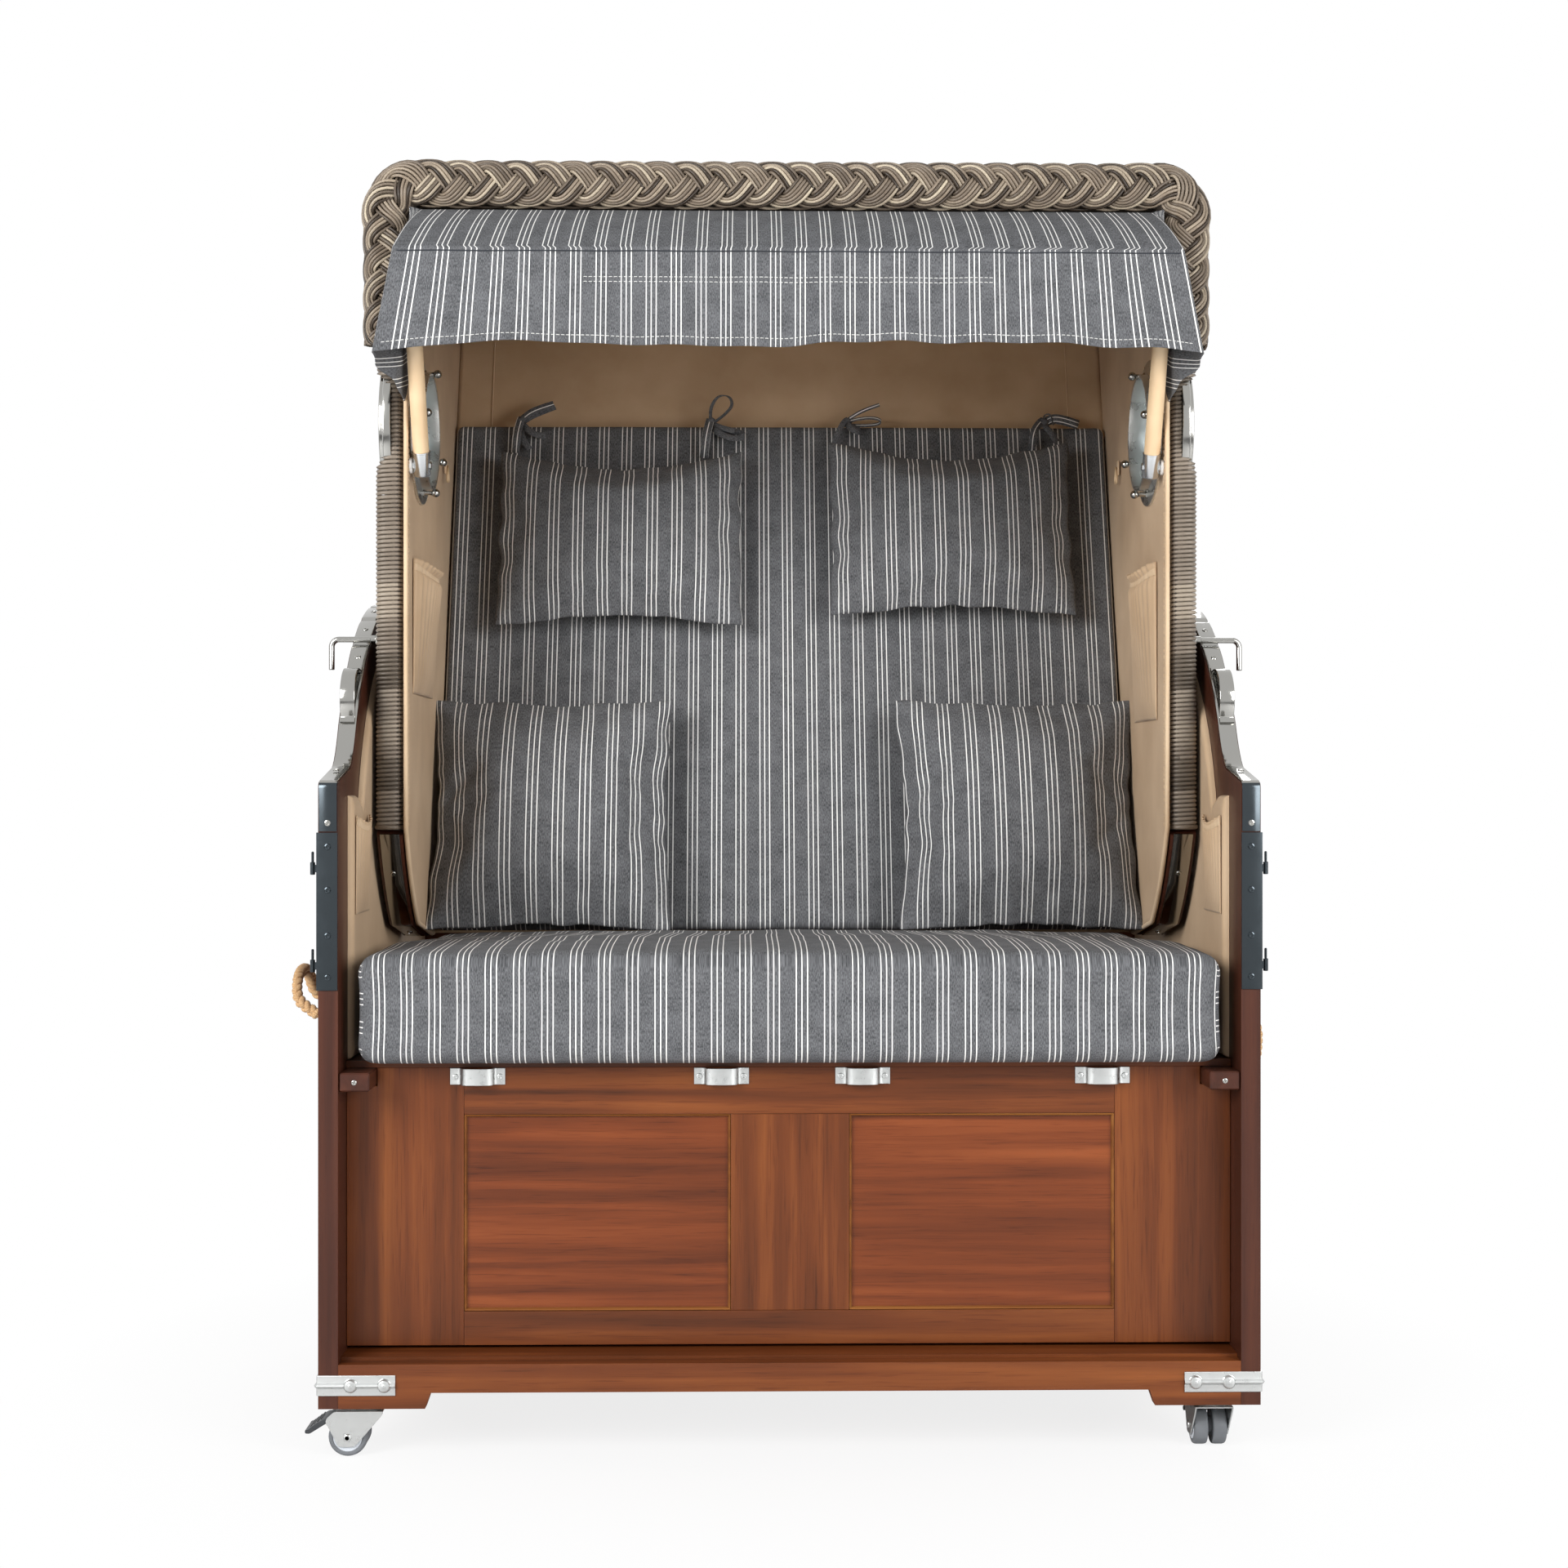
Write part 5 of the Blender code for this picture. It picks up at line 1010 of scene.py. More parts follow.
def cushion(name, body, node, half, edge, crown, draw, centre, tilt, seed, cells, taper, groove, stripe_shift, relief):
    """A crowned cushion. The cover's UV is the distance across the stripes and along the cloth, in metres."""
    half = np.array(half)
    points, faces, drawn = soft_box(half, edge, cells)
    u, v, w = (points / half).T
    side_panel = ((drawn < 2) & (np.abs(u) > 0.985))[:, None]
    flat = np.stack((points[:, 0] + stripe_shift, points[:, 1] - points[:, 2]), -1)
    uv = np.where(side_panel, points[:, [2, 1]] + (stripe_shift, 0), flat)
    lift = crown * (1 - u**4) * (1 - v**6) * np.maximum(w, 0)
    loose = relief * ripple(seed, points[:, 0], points[:, 1] * 1.5, points[:, 2] * 2, count=9, low=2.5, high=9)
    tight = 1 - np.maximum(np.abs(u), np.abs(v)) ** 12
    points[:, 2] += lift + loose * (0.35 + 0.65 * tight) * (w > 0)
    drawn_in = np.where(np.abs(w) < 0.9, draw * v * np.abs(v) ** 7 * (1 - w * w), 0)
    points[:, 1] -= drawn_in - 0.3 * loose * (np.abs(v) > 0.9)
    points[:, 0] -= draw * u * np.abs(u) ** 7 * (1 - w * w)
    away = np.abs(np.abs(points[:, 0]) - (half[0] - edge * 0.25))
    points[:, 2] -= groove * np.exp(-((away / 0.0022) ** 2)) * np.sign(w) * (np.abs(w) > 0.6)
    points[:, 0] *= taper((v + 1) / 2)
    made = piece(name, (tilted(points, tilt) + centre, faces, uv), body, canvas, node)
    return edited(made, closed_up)


def narrowing(share):
    """The seat cushion keeps its full width in front, and narrows to pass between the hood's walls."""
    return 1 - (1 - 0.511 / 0.556) * np.clip((share - 0.55) / 0.15, 0, 1)


print("box of cloth ready")

# %% Seat and back cushion
seat = cushion(
    "seat_cushion_cover", "base", "seat_cushion", (0.556, 0.229, 0.0695), 0.026, 0.010, 0.004,
    (0, 0.231 + front, 0.5715), 0, 11, (160, 64, 16), narrowing, 0.0012, 0.004, 0.0016,
)
tilt_of_back = pi / 2 - slope
# It lies on a board 30 mm thick with 16 mm of lining, half its own thickness of 27 mm in front of them
back_middle = back_point(0.348, 0.030 + 0.016 + 0.0006 + 0.0135 - heel_radius)
back = cushion(
    "back_cushion_cover", "hood", "back_cushion", (0.5145, 0.414, 0.0135), 0.0125, 0.006, 0.0,
    (0, *back_middle), tilt_of_back, 12, (150, 110, 5), lambda share: 1, 0.0, 0.010, 0.0012,
)
print("cushions:", len(seat.data.polygons), len(back.data.polygons), "faces")

# %% [markdown]
# ## Pillows
#
# A pillow is two flat squares of canvas, sewn round and filled. That is how it is made here too: two grids share
# their rim, and a short cloth simulation blows them up, so the rim puckers and the corners stay pointed, as they do
# on the real one. The grid keeps its flat pattern as its UV map. The result is then fitted to the box of the
# CAD pillow, in the pillow's own tilted axes.

# %% Flat cover
pillow_cells, flat_rise = 44, 0.012


def pillow_grid(width, height):
    """Two flat sheets that share their rim, slightly apart: z = rise * ((1 - u^4)(1 - v^4))^0.6."""
    u, v = np.meshgrid(*[np.linspace(-1, 1, pillow_cells + 1)] * 2)
    z = flat_rise * np.maximum((1 - u**4) * (1 - v**4), 0) ** 0.6
    top = np.stack((u * width / 2, v * height / 2, z), -1).reshape(-1, 3)
    rim = ((np.abs(u) == 1) | (np.abs(v) == 1)).ravel()
    low_number = np.arange(len(top))
    low_number[~rim] = len(top) + np.arange((~rim).sum())
    faces = quads(*u.shape)
    return np.concatenate((top, top[~rim] * (1, 1, -1))), np.concatenate((faces, low_number[faces][:, ::-1]))


print("a pillow's cover has", len(pillow_grid(1, 1)[1]), "faces")


# %% Filling by simulation
def inflate(name, points, faces, cap, pressure=5.5, frames=18, stiffness=18.0, pull=0.24):
    """Blows a closed cloth up with Blender's cloth simulation, without gravity, and returns its points.
    The rim keeps a share of the pull that the filling gives it."""
    mesh = bpy.data.meshes.new(name)
    mesh.from_pydata(points.tolist(), [], faces.tolist())
    blown = bpy.data.objects.new(name, mesh)
    bpy.context.scene.collection.objects.link(blown)
    cloth = blown.modifiers.new("cloth", "CLOTH")
    rules = cloth.settings
    rules.use_pressure, rules.uniform_pressure_force = True, pressure
    rules.mass, rules.quality = 0.25, 6
    rules.tension_stiffness = rules.compression_stiffness = stiffness
    rules.shear_stiffness, rules.bending_stiffness, rules.air_damping = stiffness * 0.5, 0.25, 1.5
    rules.effector_weights.gravity = 0
    cloth.point_cache.frame_end = frames
    for number in range(1, frames + 1):
        bpy.context.scene.frame_set(number)
    result = np.empty(len(points) * 3)
    shown = blown.evaluated_get(bpy.context.evaluated_depsgraph_get()).to_mesh()
    shown.vertices.foreach_get("co", result)
    bpy.data.objects.remove(blown)
    bpy.context.scene.frame_set(1)
    moved = (result.reshape(-1, 3) - points) * (pull, pull, 1)
    long = np.linalg.norm(moved, axis=1, keepdims=True)
    return points + moved * np.minimum(1, cap / np.maximum(long, 1e-9))


def node_points(name):
    """The corners of a CAD node, as an array."""
    found = np.empty(len(nodes[name].data.vertices) * 3)
    nodes[name].data.vertices.foreach_get("co", found)
    return found.reshape(-1, 3)


print("simulation ready")


# %% Pillows
def pillow(node, size, sag, seed, stripe_shift, proud):
    """A filled pillow in place of a CAD pillow: simulated flat, sagged, ruffled and fitted to the node's box, past
    which its cloth stands proud by some millimetres at each side, below and above."""
    width, height = size
    flat, faces = pillow_grid(width, height)
    target = tilted(node_points(node), -tilt_of_back)
    aside, below, above = proud
    low, high = target.min(0) - (aside, below, 0), target.max(0) + (aside, above, 0)
    thick = (high - low)[2] / 2
    shape = inflate("blown_" + node, flat, faces, thick * 1.4)
    u, v = (2 * flat[:, :2] / size).T
    edge_u, edge_v, face = np.sign(u), np.sign(v), np.sign(shape[:, 2])
    near_rim = np.maximum(np.abs(u), np.abs(v))
    ruffle = np.exp(-(((1 - near_rim) / 0.16) ** 2)) * (1 - near_rim**16)
    around_rim = np.where(np.abs(u) > np.abs(v), v * height, u * width)
    shape[:, 2] += face * ruffle * 0.0022 * ripple(seed, around_rim * 2.2, edge_u + edge_v * 2, count=5, low=6, high=16)
    loose = ripple(seed + 1, shape[:, 0], shape[:, 1], count=7, low=3, high=9)
    shape[:, 2] += np.sign(shape[:, 2]) * 0.0016 * loose * (1 - near_rim**8)
    shape[:, 1] -= sag * (1 - u**2) * np.maximum(v, 0) ** 2
    pucker_u = 0.0032 * ripple(seed + 2, v * height, edge_u, count=5, low=4, high=12)
    pucker_v = 0.0026 * ripple(seed + 3, u * width, edge_v, count=5, low=4, high=12)
    shape[:, 0] += edge_u * np.abs(u) ** 9 * (1 - v**8) * pucker_u
    shape[:, 1] += edge_v * np.abs(v) ** 9 * (1 - u**8) * pucker_v
    shape = (shape - shape.min(0)) / (shape.max(0) - shape.min(0)) * (high - low) + low
    cover = (tilted(shape, tilt_of_back), faces, flat[:, :2] + (stripe_shift, 0))
    made = piece(node + "_cover", cover, "hood", canvas, node)
    soft = made.modifiers.new("softness", "SUBSURF")
    soft.levels = soft.render_levels = 1
    return made


head = ((0.374, 0.286), 0.017, (0.004, 0.006, 0.008))
throw = ((0.345, 0.345), 0.0, (0.008, 0.000, 0.018))
for place, (size, sag, proud), seed, shift in (
    ("head_pillow_left", head, 31, 0.006), ("head_pillow_right", head, 41, 0.002),
    ("throw_pillow_left", throw, 51, 0.004), ("throw_pillow_right", throw, 61, 0.012),
):
    print(pillow(place, size, sag, seed, shift, proud).name, "filled")

# %% [markdown]
# ## Awning
#
# The awning is one canvas sheet. It is fixed under the rim, lies over the bow's bar, hangs down to a stitched hem
# and turns in at each end as a gusset to the post. It is a surface of two shares: across, where the last sixth on
# each side is the gusset, and down, where 0.44 is the bar. Folds grow towards the hem as (1 - cos) / 2, and finer
# ripples run down the cloth. The UV map is the cut of the cloth in metres.

# %% Awning
bow_foot, bow_bar = np.array((0.235 + front, 1.296)), np.array((0.115 + front, 1.551))
bow_tube, ease = 0.0112, 0.0030
bar_share, front_share = 0.44, 0.84
top_half, hem_half, sewn_y, hem_y = 0.500, 0.548, 0.225 + front, 0.098 + front
sewn_z, hem_z = 1.6437, 1.438


def awning_place(across, down, lift=0.0):
    """The cloth's points at shares across (-1 to 1) and down (0 to 1), lifted off the bow by a distance."""
    seam_y, seam_z = bow_bar[0] - bow_tube - ease - lift, bow_bar[1] + bow_tube + ease + lift
    side, size = np.sign(across), np.abs(across)
    ahead = np.minimum(size / front_share, 1)
    behind = np.maximum((size - front_share) / (1 - front_share), 0)
    over = np.clip(down / bar_share, 0, 1)
    hang = np.clip((down - bar_share) / (1 - bar_share), 0, 1)
    y = sewn_y + (seam_y - sewn_y) * over + (hem_y - seam_y) * hang - lift * hang
    z = sewn_z + (seam_z - sewn_z) * over + (hem_z - seam_z) * hang + 0.006 * sin(pi * over) * (down < bar_share)
    half = top_half + (hem_half - top_half) * down
    x = top_half * ahead + (half - top_half) * ahead ** np.where(down < bar_share, 2.0, 5.0)
    x = np.where(behind > 0, half, x)
    fold = (1 - cos(2 * pi * 5 * ahead)) / 2 * (1 + side * 0.3)
    small = ripple(71, x * side * 1.0, down * 0.12, count=8, low=4, high=15)
    y = y - 0.012 * fold * hang**2 - 0.0035 * small * hang - 0.0016 * small * over * (1 - hang)
    z = z - 0.010 * ahead**8 * hang - 0.0035 * hang**3 * ripple(73, x * side, x * 0, count=4, low=1.5, high=6)
    low = hang**8
    end_half, end_y = 0.5135 + 0.0070 * low, 0.2075 + front + 0.0043 * low
    x, y, z = x + (end_half - half) * behind, y + (end_y - y) * behind, z - 0.048 * behind * hang
    creases = sin(2 * pi * behind) * 0.006 + 0.0028 * sin(2 * pi * (behind * 2.2 + down * 2.6))
    return np.stack((side * (x + sin(pi * behind) * creases * hang), y, z), -1)


cut_half, cut_drop, gusset = 0.552, 0.247, 0.118
across, down = np.meshgrid(np.linspace(-1, 1, 421), np.linspace(0, 1, 66))
# The gussets are cut across the stripes, so there they run back and a little up
behind = np.maximum((np.abs(across) - front_share) / (1 - front_share), 0)
gusset_x = cut_half + 0.010 + down * cut_drop * 1.5 + behind * gusset * 0.75
cloth_x = np.where(behind > 0, gusset_x, across / front_share * cut_half) + np.where(down < bar_share, 0.0, 0.0022)
awning_uv = np.stack((cloth_x, np.where(behind > 0, behind * gusset, down * cut_drop)), -1)
awning_shape = (awning_place(across, down), quads(*across.shape)[:, ::-1], awning_uv)
awning = piece("awning_sheet", awning_shape, None, canvas, "awning_cloth")
thick = awning.modifiers.new("thickness", "SOLIDIFY")
thick.thickness, thick.offset = 0.0011, 0.0
area = sum(p.area for p in awning.data.polygons)
print("awning:", round(area, 4), "square metres, cut", round(2 * (cut_half + gusset), 3), "by", cut_drop)

# %% [markdown]
# ## Bow of the awning
#
# The bow is a steel tube bent to a wide U and powder coated. It stands in an aluminium cap on each side, which
# turns on a boss at the hood's wall, with a white spacer behind it. The tube is a circle carried along the U,
# with its corners drawn as quarter circles.

# %% Bow
lean = unit(bow_bar - bow_foot)
bow_length, bow_x, bow_bend = np.linalg.norm(bow_bar - bow_foot), 0.5005, 0.040
turn = bow_bend * around(np.linspace(0, pi / 2, 13)) + (bow_x - bow_bend, bow_length - bow_bend)
arm = np.concatenate(([(bow_x, 0.0203), (bow_x, 0.10)], turn))
arms = np.concatenate((arm, arm[::-1] * (-1, 1)))
bow_path = np.insert(bow_foot + arms[:, 1:] * lean, 0, arms[:, 0], axis=1)
tube = bar(bow_path, circle(bow_tube, 20), (0, -lean[1], lean[0]))
piece("bow_tube", tube, "bow", powder, "awning_bow", 40)
cap_profile = [(0.0085, -0.0150), (0.0112, -0.0140), (0.0120, -0.0120), (0.0120, 0.0180), (0.0126, 0.0184),
               (0.0126, 0.0200), (0.0113, 0.0204)]
boss_profile = [(0.0072, 0.002), (0.0080, 0.004), (0.0080, 0.0116), (0.0062, 0.0122), (0.0062, 0.0168)]
nut_profile = [(0.0050, 0.0100), (0.0058, 0.0106), (0.0058, 0.0128), (0.0050, 0.0134)]
spacer_profile = [(0.0066, 0.0124), (0.0105, 0.0126), (0.0108, 0.0132), (0.0108, 0.0160), (0.0066, 0.0165)]
for side, sign in sides.items():
    foot, outwards = (sign * bow_x, *bow_foot), (sign, 0, 0)
    cap, boss = turned(cap_profile, foot, (0, *lean), 32), turned(boss_profile, foot, outwards, 24)
    cap = merged([cap, boss, turned(nut_profile, foot, (-sign, 0, 0), 6)])
    piece(f"bow_cap_{side}_turned", cap, "bow", aluminium, "bow_cap_" + side, 30)
    piece("bow_spacer_" + side, turned(spacer_profile, foot, outwards, 24), "bow", polyamide, (), 30)
print("bow:", round(bow_length, 4), "m from pivots to bar")

# %% [markdown]
# ## Lining of the hood
#
# Inside, the hood is lined with a coated beige cloth over thin foam. One length of it runs up the back, round the
# top corner and forward under the roof, with two seams down it; a panel covers each side. Each is a grid between two
# border lines, with a wall's thickness behind it, and bulges a little between its seams.


# %% Inner outline
def square_to(line):
    """The directions square to a line of flat points, to its left."""
    ways = np.gradient(line, axis=0)
    return unit(np.stack((-ways[:, 1], ways[:, 0]), -1))


def facing(made):
    """Turns an open sheet so that most of its faces look towards the middle of the hood."""
    ways = np.array((0, 0.05, 1.1)) - face_values(made, "center")
    if (ways * face_values(made, "normal")).sum(1).mean() < 0:
        made.data.flip_normals()
    return made


def walled(made, thickness):
    """Gives a sheet a wall behind its faces with a Solidify modifier."""
    wall = facing(made).modifiers.new("wall", "SOLIDIFY")
    wall.thickness, wall.offset, wall.use_rim = thickness, -1.0, True


# The section of the inner space: up the back, round the corner where the inset lines of back and roof meet, forward
lining_inset, lining_half, seam_at, rim_foot = 0.0463, 0.5175, 0.462, 1.4585
roof_way, back_way = unit(np.array((-roof_run, roof_fall))), np.array((sin(slope), cos(slope)))
back_foot = back_point(0, lining_inset - heel_radius)
roof_foot = np.array((front, roof_top)) - lining_inset * unit(np.array((roof_fall, roof_run)))
inner_ridge = back_foot + np.linalg.solve(np.stack((back_way, roof_way), -1), roof_foot - back_foot)[0] * back_way
inner_turn = bend(inner_ridge - back_way * 0.020, inner_ridge, inner_ridge + roof_way * 0.020, 9)
inner_end = inner_ridge + roof_way * (inner_ridge[0] - post_back - 0.0006) / -roof_way[0]
inner_low = back_point(-0.066, lining_inset - heel_radius)
section = even(np.concatenate(([inner_low], inner_turn, [inner_end])), 0.008)
section_run, section_out = run_of(section), square_to(section)
section_out = section_out if section_out[2, 0] < 0 else -section_out

s, t = np.meshgrid(np.linspace(-1, 1, 141), np.arange(len(section)), indexing="ij")
run = section_run[t]
to_seam = np.abs(np.abs(s * lining_half) - seam_at)
pad = 0.0016 * ripple(81, s * 0.6, run * 0.8, count=7, low=1, high=4) - 0.0016 * np.exp(-((to_seam / 0.004) ** 2))
pad = pad * np.clip(np.minimum(run, section_run[-1] - run) / 0.02, 0, 1)
sheet = np.dstack((s * lining_half, section[t] + section_out[t] * pad[..., None]))
shape = (sheet, quads(*s.shape), np.dstack((s * lining_half, run)))
lining = piece("lining_back_and_roof", shape, "hood", lining_cloth, "hood_lining")
walled(lining, 0.004)
print("lining of back and roof:", len(lining.data.polygons), "faces")


# %% Side panels of the lining
def rail_line(inset, count=28):
    """The rail's front line moved inwards: an arc from the post's foot, then straight towards the heel."""
    heights = np.array((post_low, 0.662)) - rail_centre[1]
    at = 2 * pi + np.arctan2(heights, -np.sqrt(rail_radius**2 - heights**2))
    radius = rail_radius - inset
    away = rail_centre + rail_radius * around(at[1]) - pivot
    tangent = np.arctan2(away[1], away[0]) + np.arccos(heel_radius / np.hypot(*away))
    curve = rail_centre + radius * around(np.linspace(pi - np.arcsin(heights[0] / radius), at[1], count))
    return np.concatenate((curve, [pivot + (heel_radius - inset) * around(tangent)]))


low_line = rail_line(0.0030)
low_line = low_line[low_line[:, 0] > post_front + 0.0002]
low_line = np.concatenate(([[post_front, np.interp(post_front, low_line[:, 0], low_line[:, 1])]], low_line))
heel_line = pivot + (heel_radius - 0.0030) * around(np.linspace(-1.75, -0.55, 9))
low_line = even(np.concatenate((low_line[low_line[:, 0] < heel_line[0, 0]], heel_line)), 0.006)
low_run = run_of(low_line) / run_of(low_line)[-1]
a = np.linspace(0, 1, 84)
low_border = sample(low_line, low_run, a)
top_y = post_front + (inner_ridge[0] - post_front) * a
top_border = np.stack((top_y, roof_height(top_y) - lining_inset), -1)


def lining_side(side, sign):
    """One side panel, between its lower border and the roof; its rear edge is the back's line, which is straight."""
    share_a, share_b = np.meshgrid(a, np.linspace(0, 1, 96), indexing="ij")
    yz = low_border[:, None] * (1 - share_b[..., None]) + top_border[:, None] * share_b[..., None]
    back_limit = back_foot + ((yz - back_foot) @ back_way)[..., None] * back_way
    from_back = (back_limit - yz) @ np.array((cos(slope), -sin(slope)))
    yz = np.where((from_back < 0)[..., None], back_limit, yz)
    y, z = yz[..., 0], yz[..., 1]
    y = np.where((z > rim_foot) & (y < post_back + 0.0006), post_back + 0.0006, y)
    rim = np.minimum.reduce([share_a * 0.5, (1 - share_a) * 0.5, share_b * 0.8, (1 - share_b) * 0.8])
    pad = (0.0012 * ripple(83 + sign, y * 1.2, z, count=6, low=1, high=4) + 0.0006) * np.clip(rim / 0.03, 0, 1)
    behind_pocket = np.exp(-((np.abs(y - front - 0.365) / 0.115) ** 6) - (np.abs(z - 1.075) / 0.09) ** 8)
    points = np.stack((sign * (lining_half - pad * (1 - behind_pocket)), y, z), -1).reshape(-1, 3)
    # The porthole's sleeve comes through a round hole: the points near it are drawn to its rim
    away = points[:, 1:] - port
    reach = np.hypot(*away.T)
    points[reach < 0.090, 1:] = port + unit(away)[reach < 0.090] * 0.090
    faces = quads(*share_a.shape)
    faces = faces[reach[faces].mean(1) > 0.086]
    shape = (points, faces, np.stack((y, z), -1))
    made = piece("lining_side_" + side, shape, "hood", lining_cloth)
    edited(made, lambda opened: bmesh.ops.dissolve_degenerate(opened, edges=opened.edges, dist=1e-5))
    walled(made, 0.0035)
    print(made.name, len(made.data.polygons), "faces")


for side, sign in sides.items():
    lining_side(side, sign)

# %% Piping, stitches and seams of the lining
for side, sign in sides.items():
    upright = np.linspace((post_front - 0.0004, rim_foot), (post_front - 0.0004, 0.80), 90)
    edge = at_x(sign * 0.5190, np.concatenate((upright, low_line[low_line[:, 1] < post_low])))
    shape = bar(even(edge, 0.006), circle(0.0033, 10), (sign, 0, 0))
    piece("piping_" + side, shape, "hood", piping_cloth, (), 180)
    z = np.arange(0.802, 1.452, 0.0085)[:, None] + np.linspace(0, 0.0058, 5)
    x = np.broadcast_to(sign * (0.5172 - 0.0008 * sin(np.linspace(0, pi, 5))), z.shape)
    stitches = np.stack((x, np.full_like(z, post_front + 0.0115), z), -1)
    shape = strands(stitches, 0.0006, 5, (sign, 0, 0))
    piece("lining_stitches_" + side, shape, "hood", piping_cloth)
for side, sign in sides.items():
    shape = bar(at_x(sign * seam_at, (section - section_out * 0.0006)[3:-3]), circle(0.0017, 8, 0.6), (sign, 0, 0))
    piece("lining_seam_" + side, shape, "hood", piping_cloth, (), 180)
print("piping with", len(stitches), "stitches beside it")


# %% [markdown]
# ## Pockets
#
# A pocket is a flat bag of the lining cloth, sewn on at its sides and foot and drawn in by an elastic at its mouth.
# Its surface stands off the wall by a bulge that is zero on the sewn sides. Gathers spread down from the mouth:
# cosine folds across it whose depth fades towards the foot.


# %% Pocket
def pocket(name, wall_x, sign, y_range, z_range, body, bulge, gathers, seed):
    """A pocket on a wall at x = wall_x: bulge * sin(pi a)^0.5 * (a rise to the mouth) plus folds."""
    share_a, share_b = np.meshgrid(np.linspace(0, 1, 97), np.linspace(0, 1, 49), indexing="ij")
    y = front + y_range[0] + (y_range[1] - y_range[0]) * share_a
    z = z_range[0] + (z_range[1] - z_range[0]) * share_b
    hill = np.sqrt(np.maximum(sin(pi * share_a), 0)) * (0.25 + 0.75 * share_b) * np.clip(share_b / 0.12, 0, 1) ** 0.6
    fold = cos(2 * pi * gathers * share_a + 1.1 * sin(5 * share_a + seed)) * (0.15 + 0.85 * share_b**2)
    edge = np.clip(np.minimum(share_a, 1 - share_a) / 0.06, 0, 1)
    mouth = np.exp(-(((share_b - 0.93) / 0.035) ** 2))
    off = bulge * hill * (1 - 0.35 * mouth) + 0.0016 * fold * edge * np.clip(share_b / 0.2, 0, 1) * (1 - 0.5 * mouth)
    sag = 0.010 * sin(pi * share_a) * share_b**3
    points = np.stack((sign * (wall_x - 0.0008 - np.maximum(off, 0)), y, z - sag), -1)
    made = piece(name, (points, quads(*share_a.shape), np.stack((y, z), -1)), body, lining_cloth)
    walled(made, 0.0009)
    hem = bar(points[:, 45] - (sign * 0.0006, 0, 0), oblong(0.0016, 0.010, 0.0007, 2), (0, 0, 1))
    piece(name + "_hem", hem, body, piping_cloth, (), 180)


pocket("hood_pocket_left", 0.5165, -1, (0.262, 0.468), (0.985, 1.172), "hood", 0.026, 13, 1)
pocket("hood_pocket_right", 0.5165, 1, (0.278, 0.462), (0.950, 1.170), "hood", 0.022, 12, 2)
pocket("base_pocket_left", 0.5655, -1, (0.080, 0.190), (0.690, 0.819), "base", 0.0075, 9, 3)
pocket("base_pocket_right", 0.5655, 1, (0.080, 0.190), (0.690, 0.819), "base", 0.0075, 9, 4)
print("pockets: four")

# %% [markdown]
# ## Linings of the base
#
# The same cloth over a thin board pads the insides of the base's walls. Each is a grid under its curved top edge,
# and its face falls away to the board at the rim as a quarter circle.

# %% Base linings
pad_low, pad_front, pad_rear, pad_radius = 0.5025, 0.072, 0.770, 0.3577
pad_step, pad_arc, step_height, arc_height, pivot_depth = 0.115, 0.1526, 0.845, 0.8318, 0.490


def pad_top(y):
    """The top edge over a depth from the front: level, a short slope, then a circle about the hood's pivot."""
    arc = pivot[1] + np.sqrt(np.maximum(pad_radius**2 - (y - pivot_depth) ** 2, 0))
    slant = step_height + (arc_height - step_height) * (y - pad_step) / (pad_arc - pad_step)
    return np.where(y < pad_step, step_height, np.where(y < pad_arc, slant, arc))


rise, drop = 1 - cos(np.linspace(0, pi / 2, 5)), 1 - cos(np.linspace(pi / 2, 0, 5))
arc_depth = pivot_depth - pad_radius * cos(np.linspace(0.336, 2.46, 60))[:-1]
rear_depth = pad_rear - 0.008 * sin(np.linspace(pi / 2, 0, 5))
depth = np.concatenate((pad_front + 0.008 * rise, np.linspace(0.088, 0.148, 12), arc_depth, rear_depth))
up = np.concatenate((0.010 * rise[:-1], np.linspace(0.010, 0.990, 34), 1 - 0.010 * drop[1:]))
y, b = np.meshgrid(np.unique(np.clip(depth, pad_front, pad_rear)), up, indexing="ij")
z = pad_low + (pad_top(y) - pad_low) * b
rim = np.minimum.reduce([y - pad_front, pad_rear - y, z - pad_low, (pad_top(y) - z) * 0.8])
for side, sign in sides.items():
    loose = 0.0008 * (0.5 + 0.5 * ripple(91 + sign, y, z, count=6, low=1, high=5)) * np.clip(rim / 0.03, 0, 1)
    fall = 0.0082 * np.sqrt(1 - (1 - np.clip(rim / 0.008, 0, 1)) ** 2) - loose
    shape = (np.stack((sign * (0.5746 - fall), y + front, z), -1), quads(*y.shape), np.stack((y, z), -1))
    made = piece("base_lining_" + side, shape, "base", lining_cloth, "side_lining_" + side)
    facing(made)
print("base linings: two")

# %% [markdown]
# ## Curved rails and portholes
#
# Under each wound post the front edge of the hood is a curved wooden rail with a polished strip on its front, held
# by small screws. A rounded rectangle is carried along the rail's middle line. The portholes are turned from one
# profile each: two steps outside, a sleeve through the wall and a flat flange inside. Ball-headed clamps on the
# inner rim hold the glass.

